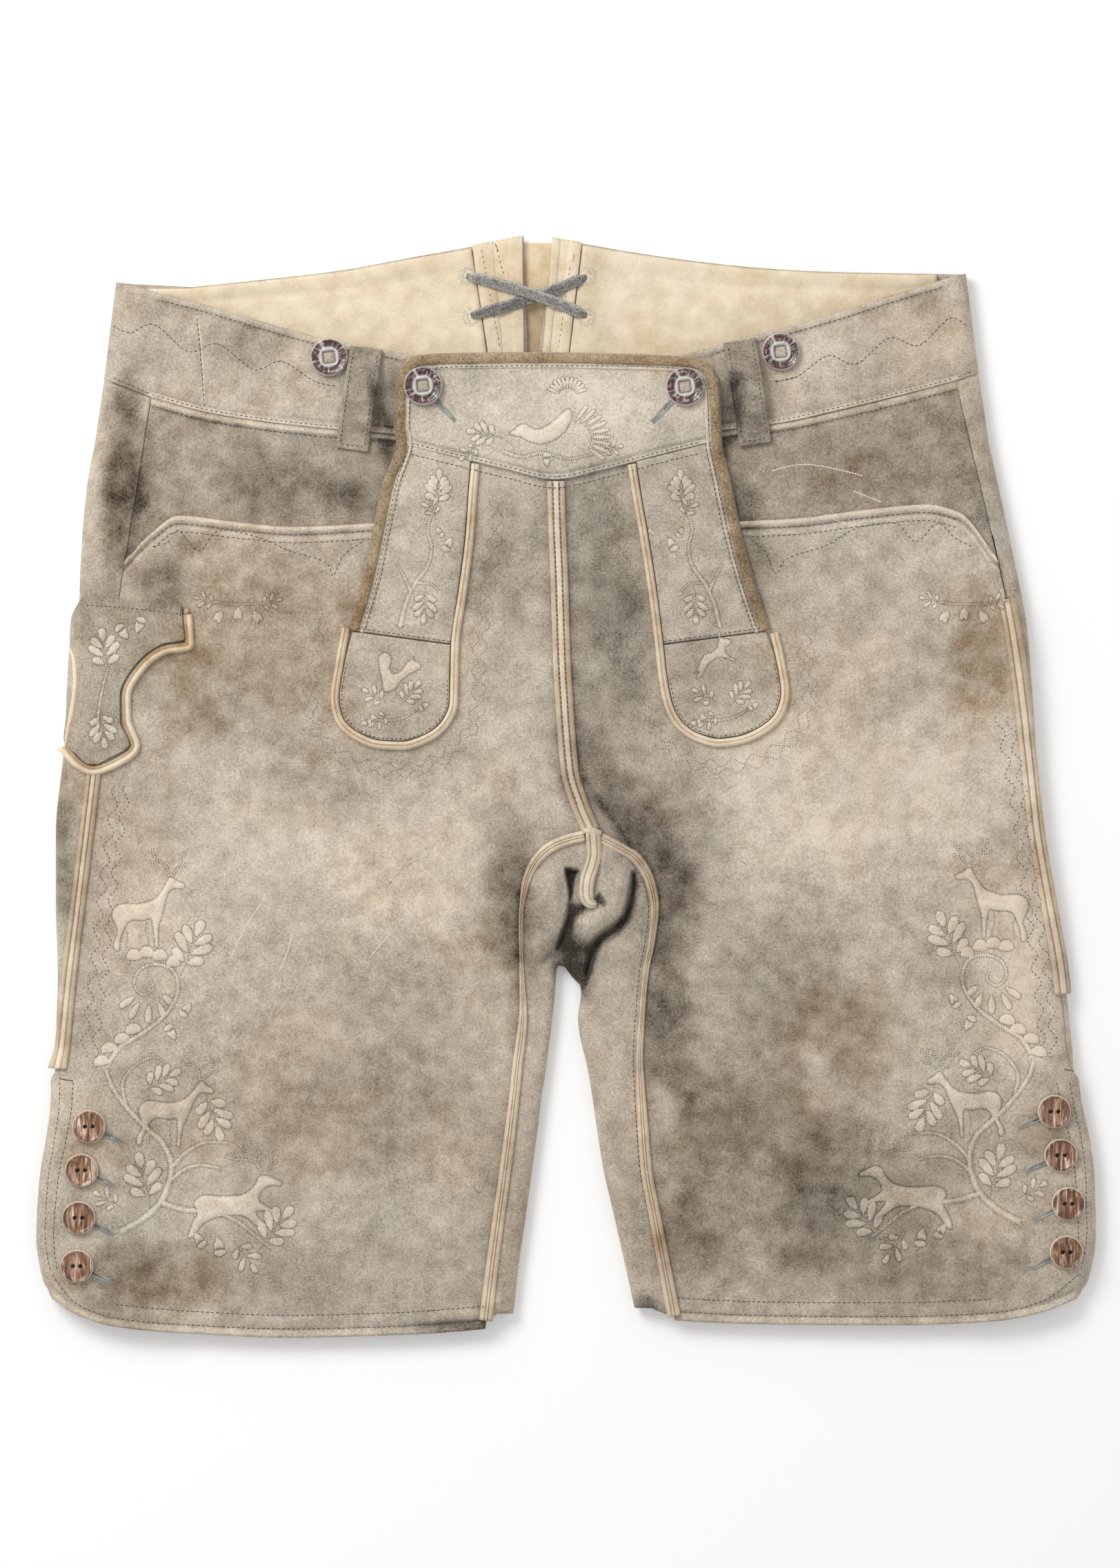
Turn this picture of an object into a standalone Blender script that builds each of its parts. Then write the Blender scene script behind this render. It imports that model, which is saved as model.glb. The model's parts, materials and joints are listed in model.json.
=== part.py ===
"""Leather shorts with a drop front (lederhosen), laid flat on their back.

Frame: +X to the wearer's left, +Y to the waist, +Z up from the floor that the shorts lie on.
The origin is on the floor, under the middle of the garment. Right and left are the wearer's.
Sizes are in millimetres until a mesh is made, and each piece is a wall of leather that is
thickened inwards from its outer face.
"""

import math

import bpy
import bmesh
from mathutils import Vector

MM = 0.001
NEARLY = 0.00001         # lengths nearer than this are the same

# Driving sizes
HIDE = 1.8               # main leather
SUEDE = 1.0              # facing and lacing bands
GUSSET = 1.5             # soft leather behind the lacing
STRIP = 1.3              # thin welt strips on the seams
WELT = 2.5               # piping round the drop front's strips and tongues
KNIFE_WELT = 2.2         # piping round the knife pocket
SEAM_GAP = 0.3           # between two pieces that meet
HALF_GAP = SEAM_GAP / 2
LAYER = HIDE + SEAM_GAP  # one hide lying on another
CLEAR = 0.1              # spare room under a piece that lies over a bend
STRIP_TOP = STRIP + SEAM_GAP + 2 * CLEAR  # outer face of a strip over the face that it lies on
CENTRE_STRIP_TOP_Y = 163.0
WAIST_HEIGHT = 12.0      # outer height of the laid garment at the waist
HEM_HEIGHT = 9.6         # and at the hems
WAIST_Y = 275.0
HEM_Y = -297.0
FOLD_REACH = 9.0         # how far a side fold rounds in from the outline
FOLD_ANGLES = (90, 60, 30, 0, -30, -60, -90)
CROTCH = Vector((14.5, -26.0))
CROTCH_RISE = 4.0
CROTCH_SPREAD = 46.0
POCKET_LAP_Y = 100.0     # above this line the front panels lie over the hip panels
HIP_SLANT = 0.06         # how the hip panels' hidden inner edges lean
HIP_TUCK = 15.0          # how far they reach below the last body row above the front panel
SLIT_Y = -155.0          # top of the buttoned slit at each side
SLIT_RAMP = 16.0         # length over which the front climbs onto the back there
SLIT_LAP = 42.0          # how far in from the fold the front lies on the back's underlap
SLIT_FADE = 35.0
SLIT_SPARE = 0.6         # extra room between the front and the underlap
SLIT_TUCK = 8.0          # how much less than SLIT_LAP the underlap reaches in
LACING_X = -15.0         # middle of the lacing at the centre back
RISE_REACH = 44.0        # how far out from it the waistband rises over the gusset
RISE_FADE = 20.0
RISE_Y = (201.0, 212.0)  # where that rise starts and is whole, from the lower seam up
LOOP_ARCH = 5.0          # room for a belt under a loop
LOOP_WIDTH = 17.5
PIPING_WIDTH = 4.8
KNIFE_PIPING_WIDTH = 4.2
CENTRE_STRIP_WIDTH = 9.5
INSEAM_STRIP_WIDTH = 4.6
SIDE_STRIP_WIDTH = 7.0
SEAT_STRIP_WIDTH = 6.8
THONG_WIDTH = 6.0
THONG_STEPS = 10
BUTTON_THICKNESS = 3.4
BUTTON_RIM = 0.9
SQUARE_HOLE = 3.4
THREAD_HOLE = 1.9
THREAD_HOLES_APART = 4.6
CUTTER_DEPTH = 14.0
CENTRE = Vector((0.34, -0.32))  # middle of the garment in the tables' own frame
SIGN = {"right": -1, "left": 1}

# Shares of a piece's height or width at which its rows or columns stand
WAIST_SHARES = (0.0, 0.18, 0.6, 1.0)
BAND_SHARES = (0.0, 0.35, 1.0)
PANEL_SHARES = (0.0, 0.18, 0.36, 0.56, 0.78)
SPLIT_SHARES = (0.33, 0.66)
INSEAM_RISE_SHARES = (0.25, 0.5, 0.75, 1.0)
KNIFE_SHARES = (0.25, 0.72, 0.9)

# Colours (linear), roughness
LOOKS = {
    "hide": ((0.30, 0.26, 0.21, 1.0), 0.9),
    "cream_welt": ((0.72, 0.60, 0.44, 1.0), 0.75),
    "cream_suede": ((0.76, 0.66, 0.47, 1.0), 0.9),
    "thong": ((0.16, 0.15, 0.14, 1.0), 0.85),
    "antler": ((0.20, 0.12, 0.08, 1.0), 0.3),
}


def table(columns, *rows):
    """Rows of numbers under named columns, kept as one list for each column."""
    names = columns.split()
    return {name: [row[place] for row in rows] for place, name in enumerate(names)}


# Outer folds (the outline) and side seams, from the hem up
SIDES = table(
    "y right_fold left_fold right_seam left_seam",
    (-274.0, -274.0, 273.0, -262.0, 260.0),
    (-262.0, -280.0, 280.0, -262.0, 262.0),
    (-240.0, -283.0, 283.5, -264.0, 265.0),
    (-212.0, -281.5, 283.0, -266.0, 267.0),
    (-190.0, -278.0, 280.5, -269.0, 269.0),
    (-172.0, -275.5, 276.5, -271.0, 270.0),
    (-156.0, -275.0, 274.0, -271.5, 270.5),
    (-138.0, -274.5, 272.5, -270.0, 269.3),
    (-101.0, -273.5, 268.5, -266.5, 265.8),
    (-63.0, -274.5, 264.0, -262.0, 259.5),
    (-26.0, -274.5, 258.5, -257.5, 253.2),
    (11.0, -271.0, 254.0, -253.0, 249.0),
    (48.0, -266.0, 251.5, -248.0, 244.8),
    (85.0, -262.5, 248.5, -242.3, 239.5),
    (122.0, -261.0, 241.5, -236.5, 232.0),
    (159.0, -258.0, 233.5, -230.5, 223.5),
    (197.0, -251.0, 225.5, -224.5, 214.5),
    (234.0, -246.5, 220.5, -219.0, 207.0),
    (271.0, -242.0, 216.0, -213.0, 201.0),
)

# The waistband's top and lower edges, from the centre front out to the side seam
WAIST_FRONT = {
    "right": table(
        "top_x top_y low_x low_y",
        (-5.5, 227.5, -5.5, 184.0),
        (-40.0, 228.5, -40.0, 185.2),
        (-76.0, 230.5, -76.0, 187.2),
        (-100.0, 234.8, -100.0, 189.5),
        (-130.0, 240.3, -130.0, 192.0),
        (-160.0, 248.5, -160.0, 195.3),
        (-192.0, 258.0, -192.0, 200.3),
        (-219.0, 265.0, -223.0, 208.7),
    ),
    "left": table(
        "top_x top_y low_x low_y",
        (-5.5, 227.5, -5.5, 184.0),
        (30.0, 228.5, 30.0, 185.5),
        (64.0, 232.0, 64.0, 188.2),
        (90.0, 239.2, 90.0, 191.5),
        (118.0, 246.2, 118.0, 195.3),
        (146.0, 254.3, 146.0, 201.5),
        (178.0, 264.5, 178.0, 209.2),
        (203.0, 272.0, 210.0, 217.5),
    ),
}

# The waistband's furthest points at the side folds
WAIST_FOLD = {
    "right": table("top_x top_y low_x low_y", (-242.0, 271.0, -248.5, 218.5)),
    "left": table("top_x top_y low_x low_y", (215.5, 275.5, 222.5, 221.5)),
}

# The waistband along the floor, from the side to the lacing at the centre back
WAIST_BACK = {
    "right": table(
        "top_x top_y low_x low_y",
        (-205.0, 268.3, -212.0, 210.0),
        (-165.0, 272.5, -170.0, 206.8),
        (-122.0, 277.5, -126.0, 204.0),
        (-85.0, 284.3, -88.0, 202.0),
        (-50.0, 290.5, -51.0, 200.3),
        (-22.5, 295.8, -19.2, 198.6),
    ),
    "left": table(
        "top_x top_y low_x low_y",
        (185.0, 276.0, 190.0, 213.5),
        (145.0, 276.8, 150.0, 209.0),
        (105.0, 279.0, 108.0, 206.0),
        (65.0, 283.3, 66.0, 203.0),
        (28.0, 288.8, 25.0, 200.8),
        (-6.5, 294.5, -19.2, 198.6),
    ),
}

# Body rows: where each meets the side seams, the centre-front seam and the centre-back seam
BODY = table(
    "side_y front_x front_y back_x back_y",
    (183.0, -5.2, 160.0, -18.5, 178.0),
    (159.0, -4.9, 150.0, -17.5, 155.0),
    (140.0, -4.5, 137.0, -16.5, 135.0),
    (121.5, -3.6, 117.0, -15.5, 115.0),
    (100.0, -2.8, 92.0, -14.0, 93.0),
    (75.0, -2.0, 67.0, -12.0, 67.0),
    (50.0, -0.8, 46.0, -9.5, 40.0),
    (25.0, 0.6, 26.0, -6.5, 12.0),
    (2.0, 2.5, 7.0, -3.0, -18.0),
    (-22.0, 7.5, -9.5, 1.0, -52.0),
)
PANEL_FROM_ROW = 4       # the first body row that the whole front panel crosses
SLIT_ROW = 5             # the row where the hidden slits beside the drop front end

# Leg rows, from the crotch down: the side seam, the inner fold with the way it faces, the inseam
LEG = {
    "right": table(
        "side_y fold_x fold_y facing fold_height seam_x seam_y",
        (-46.0, 8.0, -107.5, -75.0, 8.0, 14.5, -26.0),
        (-56.0, 3.5, -103.0, -58.0, 8.0, 3.0, -28.5),
        (-66.0, -1.5, -96.0, -35.0, 9.0, -8.0, -33.0),
        (-77.0, -4.6, -98.5, -8.0, 10.0, -17.0, -42.0),
        (-88.0, -5.3, -106.0, 0.0, 10.0, -22.0, -55.0),
        (-99.0, -5.8, -113.5, 0.0, 10.2, -24.0, -72.0),
        (-112.0, -6.8, -123.0, 0.0, 10.2, -23.7, -95.0),
        (-128.0, -8.5, -137.0, 0.0, 10.2, -22.8, -121.0),
        (-150.0, -11.3, -158.0, 0.0, 10.2, -26.0, -152.0),
        (-158.5, -12.7, -166.5, 0.0, 10.1, -27.0, -162.0),
        (-180.0, -14.8, -184.0, 0.0, 10.0, -29.3, -182.0),
        (-204.0, -17.8, -206.0, 0.0, 10.0, -32.3, -206.0),
        (-230.0, -21.2, -231.0, 0.0, 9.9, -35.8, -231.5),
        (-256.0, -25.0, -257.0, 0.0, 9.8, -39.3, -257.5),
        (-273.0, -28.0, -284.0, 0.0, 9.6, -43.0, -288.5),
    ),
    "left": table(
        "side_y fold_x fold_y facing fold_height seam_x seam_y",
        (-46.0, 8.0, -107.5, -75.0, 8.0, 14.5, -26.0),
        (-56.0, 8.3, -112.0, -110.0, 8.5, 25.5, -31.5),
        (-66.0, 7.8, -116.5, -150.0, 9.5, 38.0, -39.0),
        (-77.0, 7.0, -121.0, -172.0, 10.0, 45.5, -52.0),
        (-88.0, 6.6, -126.0, -180.0, 10.0, 48.0, -66.0),
        (-99.0, 7.4, -133.0, -180.0, 10.2, 46.5, -82.0),
        (-112.0, 9.2, -141.5, -180.0, 10.2, 43.2, -100.0),
        (-128.0, 11.4, -150.5, -180.0, 10.2, 41.2, -122.0),
        (-150.0, 13.8, -164.0, -180.0, 10.2, 39.8, -148.0),
        (-158.5, 14.8, -170.5, -180.0, 10.1, 40.2, -159.0),
        (-180.0, 17.0, -186.0, -180.0, 10.0, 41.4, -180.0),
        (-204.0, 20.5, -207.0, -180.0, 10.0, 43.4, -206.0),
        (-230.0, 26.0, -231.5, -180.0, 9.9, 48.0, -231.5),
        (-256.0, 31.8, -257.0, -180.0, 9.8, 53.0, -257.5),
        (-273.0, 37.0, -281.0, -180.0, 9.6, 58.5, -286.0),
    ),
}
SLIT_LEG_ROW = 9         # the first leg row below the top of the buttoned slit
LEFT_STRIP_LEG_ROWS = 7  # how many leg rows the left side strip runs down

# The seat seam from the fork fold up to the crotch, on top of the garment
SEAT_SEAM = table(
    "x y height",
    (8.6, -82.0, 11.5),
    (11.2, -64.5, 14.0),
    (15.2, -40.0, 14.8),
    (14.5, -26.0, 14.9),
)

# The hems' lower edge
HEM = {
    "right": table(
        "x y",
        (-274.0, -276.0),
        (-264.0, -283.5),
        (-243.0, -290.5),
        (-199.0, -294.8),
        (-149.0, -296.8),
        (-96.0, -295.6),
        (-43.0, -292.0),
        (-28.0, -285.0),
    ),
    "left": table(
        "x y",
        (37.0, -282.0),
        (58.5, -287.5),
        (104.0, -289.5),
        (141.0, -290.0),
        (182.0, -290.0),
        (230.0, -287.8),
        (256.0, -283.0),
        (273.0, -276.0),
    ),
}

# How much of the hem's curve each of the last rows follows, counted from the hem up
HEM_FOLLOW = ((1, 1.0), (2, 0.45), (3, 0.12))
HEM_MIDDLE = {"right": -291.0, "left": -287.5}

# The pocket's edge, from under the drop front out to the side seam
POCKET = {
    "right": table(
        "x y",
        (-80.5, 142.0),
        (-104.0, 141.0),
        (-147.0, 139.0),
        (-180.0, 142.0),
        (-208.0, 145.0),
        (-222.0, 136.0),
        (-236.4, 121.5),
    ),
    "left": table(
        "x y",
        (72.0, 141.5),
        (93.0, 142.0),
        (122.0, 143.3),
        (160.0, 148.0),
        (194.0, 151.0),
        (211.0, 147.0),
        (231.6, 122.5),
    ),
}

# The slit hidden under each side strip, from the band down
SLIT = {
    "right": table("x y", (-70.0, 184.5), (-75.0, 160.0), (-80.5, 141.0), (-85.0, 98.0)),
    "left": table("x y", (58.0, 184.0), (64.0, 160.0), (72.0, 141.0), (80.0, 98.0)),
}

# The drop front's band: its top edge and its shallow V below
BAND = table(
    "x top_y low_y",
    (-89.0, 222.0, 184.0),
    (-84.0, 229.0, 182.5),
    (-62.0, 231.5, 177.0),
    (-32.0, 232.0, 169.8),
    (-6.0, 232.0, 164.2),
    (20.0, 231.5, 169.4),
    (50.0, 230.5, 177.3),
    (74.0, 227.5, 183.2),
    (82.0, 218.0, 185.2),
)

# Side strips of the drop front: outer edge, and the welt's middle line along the inner edge
BIB_STRIP = {
    "right": table(
        "outer_x outer_y inner_x inner_y",
        (-89.2, 183.6, -48.5, 173.2),
        (-96.0, 163.0, -50.0, 155.0),
        (-101.0, 140.0, -51.5, 134.0),
        (-106.5, 113.0, -55.0, 106.0),
        (-115.0, 83.5, -59.3, 76.0),
    ),
    "left": table(
        "outer_x outer_y inner_x inner_y",
        (82.2, 184.8, 35.5, 173.2),
        (87.0, 162.0, 38.3, 155.0),
        (92.5, 136.0, 42.0, 134.0),
        (99.5, 110.0, 46.4, 106.0),
        (108.3, 83.5, 50.2, 76.0),
    ),
}

# Tongues: the middle line of the welt, down the outer side and up the inner one
TONGUE = {
    "right": table(
        "outer_x outer_y inner_x inner_y",
        (-118.0, 84.5, -59.4, 75.0),
        (-121.5, 65.0, -59.8, 58.0),
        (-124.0, 47.0, -60.2, 44.0),
        (-121.8, 36.0, -64.6, 33.5),
        (-113.0, 27.0, -74.5, 25.5),
        (-100.0, 22.0, -87.5, 21.5),
    ),
    "left": table(
        "outer_x outer_y inner_x inner_y",
        (112.0, 82.0, 50.4, 75.0),
        (115.5, 67.0, 52.2, 58.0),
        (118.0, 49.5, 55.2, 43.5),
        (115.0, 38.5, 60.8, 33.0),
        (105.5, 29.5, 70.5, 26.0),
        (93.0, 24.3, 82.0, 23.0),
    ),
}

# Knife pocket: its outline as rows from the top edge to the point; the piping runs outside it
KNIFE_POCKET = table(
    "outer_x outer_y inner_x inner_y",
    (-258.0, 101.5, -206.5, 97.0),
    (-262.5, 90.0, -204.5, 79.0),
    (-264.0, 76.0, -216.5, 76.0),
    (-264.5, 62.0, -231.5, 64.5),
    (-265.5, 48.0, -239.5, 48.0),
    (-266.5, 36.0, -239.5, 35.0),
    (-268.0, 25.0, -234.5, 22.5),
    (-261.0, 15.0, -246.0, 14.5),
)
KNIFE_PIPING = table(
    "x y",
    (-203.0, 96.5),
    (-201.8, 75.5),
    (-215.5, 72.6),
    (-229.0, 62.0),
    (-236.0, 47.5),
    (-235.8, 36.0),
    (-231.0, 21.5),
    (-244.0, 11.0),
    (-254.0, 8.0),
    (-262.0, 11.5),
    (-268.8, 20.5),
)

# Belt loops, from the waistband's top edge down over its lower seam
BELT_LOOP = {
    "right": table("top_x top_y low_x low_y", (-107.0, 235.0, -114.8, 180.5)),
    "left": table("top_x top_y low_x low_y", (93.5, 239.0, 102.0, 183.3)),
}
# How far along a loop each row stands, and how much of the arch it has there
LOOP_PROFILE = table(
    "share arch",
    (0.0, 0.0),
    (0.14, 0.0),
    (0.26, 1.0),
    (0.5, 1.0),
    (0.72, 1.0),
    (0.84, 0.0),
    (1.0, 0.0),
)

# Bands on the inside of the back waistband: where each ends, low and high, on the way inwards
FACING = table(
    "low_outer high_outer low_inner high_inner",
    (-228.0, -226.0, -39.0, -50.9),
    (204.0, 200.0, -0.5, 9.3),
)
LACING_BAND = table(
    "low_outer high_outer low_inner high_inner",
    (-38.4, -50.3, -22.0, -23.2),
    (-1.1, 8.7, -14.5, -7.2),
)
INSIDE_LOW = 0.1         # share of the waistband's height at which the bands start
INSIDE_HIGH = 0.99
INSIDE_SHARES = (0.0, 0.35, 0.7, 1.0)
INSIDE_COLUMNS = 6

BACK_GUSSET = table(
    "y middle_x half_width",
    (292.5, -14.5, 16.0),
    (262.0, -16.5, 13.5),
    (234.0, -18.0, 11.0),
    (215.0, -18.8, 8.0),
)

# Thongs, from eyelet to eyelet, and how far the upper one humps over the lower one
LACES = table(
    "start_x start_y end_x end_y hump",
    (-51.0, 253.0, 11.5, 274.0, 0.0),
    (-53.5, 274.5, 11.5, 253.0, 1.9),
)
LACE_NAMES = ("lace_under", "lace_over")

BUTTONS = table(
    "right_x right_y left_x left_y diameter",
    (-127.0, 230.0, 115.5, 233.0, 20.5),
    (-76.5, 214.5, 64.0, 214.0, 21.0),
    (-256.0, -183.0, 262.5, -175.0, 18.0),
    (-260.0, -206.5, 266.0, -198.5, 18.0),
    (-261.5, -232.0, 270.0, -224.5, 18.0),
    (-262.5, -258.0, 269.0, -250.5, 18.0),
)
BUTTON_NAMES = (
    "suspender_button_{}",
    "bib_button_{}",
    "hem_button_{}_1",
    "hem_button_{}_2",
    "hem_button_{}_3",
    "hem_button_{}_4",
)


def curve(knots, values, at):
    """A smooth reading between the knots that never passes its neighbours."""
    pairs = sorted(zip(knots, values))
    xs = [pair[0] for pair in pairs]
    ys = [pair[1] for pair in pairs]
    if at <= xs[0]:
        return ys[0]
    if at >= xs[-1]:
        return ys[-1]
    spans = [b - a for a, b in zip(xs, xs[1:])]
    rises = [(b - a) / span for a, b, span in zip(ys, ys[1:], spans)]
    slopes = [rises[0]]
    for before, after in zip(rises, rises[1:]):
        same_way = before * after > 0
        slopes.append(2 * before * after / (before + after) if same_way else 0.0)
    slopes.append(rises[-1])
    place = max(i for i in range(len(spans)) if xs[i] <= at)
    t = (at - xs[place]) / spans[place]
    span = spans[place]
    return (
        ys[place] * (2 * t**3 - 3 * t**2 + 1)
        + slopes[place] * span * (t**3 - 2 * t**2 + t)
        + ys[place + 1] * (3 * t**2 - 2 * t**3)
        + slopes[place + 1] * span * (t**3 - t**2)
    )


def between(start, end, share):
    return start + (end - start) * share


def ramp(value, start, end):
    """0 before start, 1 after end, and an even climb between."""
    share = min(max((value - start) / (end - start), 0.0), 1.0)
    return share * share * (3 - 2 * share)


def fold_x(side, y):
    return curve(SIDES["y"], SIDES[side + "_fold"], y)


def seam_x(side, y):
    return curve(SIDES["y"], SIDES[side + "_seam"], y)


def laid_height(x, y):
    """Outer height of the laid garment, away from its folds."""
    height = between(HEM_HEIGHT, WAIST_HEIGHT, (y - HEM_Y) / (WAIST_Y - HEM_Y))
    away = (Vector((x, y)) - CROTCH).length / CROTCH_SPREAD
    return height + CROTCH_RISE * math.exp(-away * away)


def front_lift(y):
    """How far the front panels are raised by the hip panels under them."""
    return LAYER * ramp(y, 0.0, POCKET_LAP_Y)


def slit_lift(x, y):
    """How far the front panels climb onto the underlap beside the buttoned slit."""
    depth = min(x - fold_x("right", y), fold_x("left", y) - x)
    along = 1.0 - ramp(y, SLIT_Y, SLIT_Y + SLIT_RAMP)
    across = 1.0 - ramp(depth, SLIT_LAP, SLIT_LAP + SLIT_FADE)
    return (LAYER + SLIT_SPARE) * along * across


def panel_lift(point):
    """Lift of a front panel's outer face over the laid top."""
    return front_lift(point.y) + slit_lift(point.x, point.y)


def drop_lift(y):
    """Lift of the drop front's strips and tongues, which lie on the front panels."""
    return front_lift(y) + LAYER + CLEAR


def on_top(x, y, lift):
    """A point above the laid top at (x, y), moved out square to the side folds."""
    right_depth = x - fold_x("right", y)
    left_depth = fold_x("left", y) - x
    side = -1 if right_depth < left_depth else 1
    depth = max(min(right_depth, left_depth), 0.0)
    height = laid_height(x, y)
    if depth >= FOLD_REACH:
        return Vector((x, y, height + lift))
    sine = 1.0 - depth / FOLD_REACH
    cosine = math.sqrt(1.0 - sine * sine)
    out = Vector((side * sine / FOLD_REACH, 0.0, cosine * 2.0 / height)).normalized()
    base = Vector((x, y, height / 2 * (1.0 + cosine)))
    return base + out * lift


def round_fold(edge, heading, height, angles, depth):
    """Points of a fold, depth below its outer face, from above (90) to the floor (-90)."""
    points = []
    ahead = Vector((*heading, 0.0))
    up = Vector((0.0, 0.0, 1.0))
    for angle in angles:
        cosine = math.cos(math.radians(angle))
        sine = math.sin(math.radians(angle))
        out = (ahead * cosine / FOLD_REACH + up * sine * 2.0 / height).normalized()
        round_point = Vector((*edge, height / 2)) - ahead * FOLD_REACH * (1.0 - cosine)
        points.append(round_point + up * sine * height / 2 - out * depth)
    return points


def beside(points, distance):
    """A plan line moved sideways, to its right as it runs."""
    moved = []
    for place, point in enumerate(points):
        before = points[max(place - 1, 0)]
        after = points[min(place + 1, len(points) - 1)]
        run = (after - before).normalized()
        moved.append(point + Vector((run.y, -run.x)) * distance)
    return moved


def material(look):
    found = bpy.data.materials.get(look)
    if found:
        return found
    colour, roughness = LOOKS[look]
    made = bpy.data.materials.new(look)
    made.use_nodes = True
    shader = made.node_tree.nodes["Principled BSDF"]
    shader.inputs["Base Color"].default_value = colour
    shader.inputs["Roughness"].default_value = roughness
    shader.inputs["Metallic"].default_value = 0.0
    made.diffuse_color = colour
    return made


def collection(name):
    made = bpy.data.collections.new(name)
    bpy.context.scene.collection.children.link(made)
    return made


def in_metres(point):
    """A point of the tables' frame in the part's own frame."""
    return (point - Vector((*CENTRE, 0.0))) * MM


def faces_between(made, rows):
    """Adds the faces between rows of corners, the first of which faces up."""
    faces = []
    for row, below in zip(rows, rows[1:]):
        for place in range(len(row) - 1):
            corners = (row[place], row[place + 1], below[place + 1], below[place])
            faces.append(made.faces.new(corners))
    made.normal_update()
    if faces[0].normal.z < 0:
        bmesh.ops.reverse_faces(made, faces=faces)


def finish(name, made, look):
    mesh = bpy.data.meshes.new(name)
    made.to_mesh(mesh)
    made.free()
    mesh.materials.append(material(look))
    obj = bpy.data.objects.new(name, mesh)
    garment.objects.link(obj)
    return obj


def piece(name, rows, thickness, look):
    """A flat piece from rows of outer-face points, thickened downwards."""
    made = bmesh.new()
    faces_between(made, [[made.verts.new(in_metres(point)) for point in row] for row in rows])
    obj = finish(name, made, look)
    wall = obj.modifiers.new("wall", "SOLIDIFY")
    wall.thickness = thickness * MM
    wall.offset = -1.0
    wall.use_even_offset = True
    wall.use_quality_normals = True
    return obj


def lofted_wall(name, outer_blocks, inner_blocks, look):
    """A wall lofted between the outer and the inner rows of a piece that bends round a fold.
    Blocks that share a row are joined along it."""
    made = bmesh.new()
    corners = {}
    inside = {}
    for outer_rows, inner_rows in zip(outer_blocks, inner_blocks):
        rows = []
        for outer_row, inner_row in zip(outer_rows, inner_rows):
            row = []
            for outer, inner in zip(outer_row, inner_row):
                place = tuple(outer)
                if place not in corners:
                    corners[place] = made.verts.new(in_metres(outer))
                    inside[corners[place]] = in_metres(inner)
                row.append(corners[place])
            rows.append(row)
        faces_between(made, rows)
    outer_faces = list(made.faces)
    rim = [edge for edge in made.edges if edge.is_boundary]
    for corner in inside:
        inside[corner] = made.verts.new(inside[corner])
    for face in outer_faces:
        made.faces.new([inside[corner] for corner in reversed(face.verts)])
    for edge in rim:
        loop = edge.link_loops[0]
        start, end = loop.vert, loop.link_loop_next.vert
        made.faces.new((end, start, inside[start], inside[end]))
    return finish(name, made, look)


def ribbon(name, middle, width, lift, thickness, look):
    """A strip along a plan line, lying on the laid top; lift(point) is its outer face's height."""
    right = beside(middle, width / 2)
    left = beside(middle, -width / 2)
    rows = []
    for a, m, b in zip(left, middle, right):
        rows.append([on_top(p.x, p.y, lift(p)) for p in (a, m, b)])
    return piece(name, rows, thickness, look)


def plan(points_table, x="x", y="y"):
    return [Vector(pair) for pair in zip(points_table[x], points_table[y])]


# Rows that the panels share at the side seams, the centre seams and the inseams

def body_side(side, row):
    y = BODY["side_y"][row]
    return Vector((seam_x(side, y), y))


def leg_side(side, row):
    y = LEG[side]["side_y"][row]
    return Vector((seam_x(side, y), y))


def inseam(side, share):
    """The inseam's plan line, moved by share of the seam gap towards the front panel."""
    middle = plan(LEG[side], "seam_x", "seam_y")
    moved = beside(middle, -SIGN[side] * share * SEAM_GAP)
    moved[0] = middle[0] + Vector((SIGN[side], 1.0 if share > 0 else -1.0)) * SEAM_GAP
    return moved


def panel_row(side, inner, outer, split_x=None):
    """Plan points from the centre out to the side, with one on the hidden slit's line if asked."""
    depth = abs(fold_x(side, outer.y) - outer.x)
    rim = outer - Vector((SIGN[side] * max(FOLD_REACH - depth, FOLD_REACH * 2 / 3), 0.0))
    round_point = between(outer, rim, 0.3)
    points = [between(inner, rim, share) for share in PANEL_SHARES]
    if split_x is not None:
        points[2].x = split_x
        points[1] = between(points[0], points[2], 0.5)
        points[3:] = [between(points[2], rim, share) for share in SPLIT_SHARES]
    return points + [rim, round_point, outer]


def front_centre(side, row):
    """A front panel's edge at the centre-front seam."""
    return Vector((BODY["front_x"][row] + SIGN[side] * HALF_GAP, BODY["front_y"][row]))


def panel_body_rows(side):
    """Plan rows of a front panel from the end of the hidden slit down to the hem."""
    sign = SIGN[side]
    half_gap = Vector((sign * HALF_GAP, 0.0))
    rows = []
    for row in range(SLIT_ROW, len(BODY["side_y"])):
        split = SLIT[side]["x"][-1] + sign * 3.0 if row == SLIT_ROW else None
        rows.append(panel_row(side, front_centre(side, row), body_side(side, row) - half_gap, split))
    inner_line = inseam(side, 0.5)
    for row in range(len(LEG[side]["side_y"])):
        outer = leg_side(side, row) - half_gap
        if row >= SLIT_LEG_ROW:
            outer = Vector((fold_x(side, outer.y) - sign * 0.5, outer.y))
        rows.append(panel_row(side, inner_line[row], outer))
    hem = HEM[side]
    for back, follow in HEM_FOLLOW:
        for point in rows[-back][1:-1]:
            hem_y = curve(hem["x"], hem["y"], point.x)
            point.y = hem_y if back == 1 else point.y + (hem_y - HEM_MIDDLE[side]) * follow
    return rows


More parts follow.
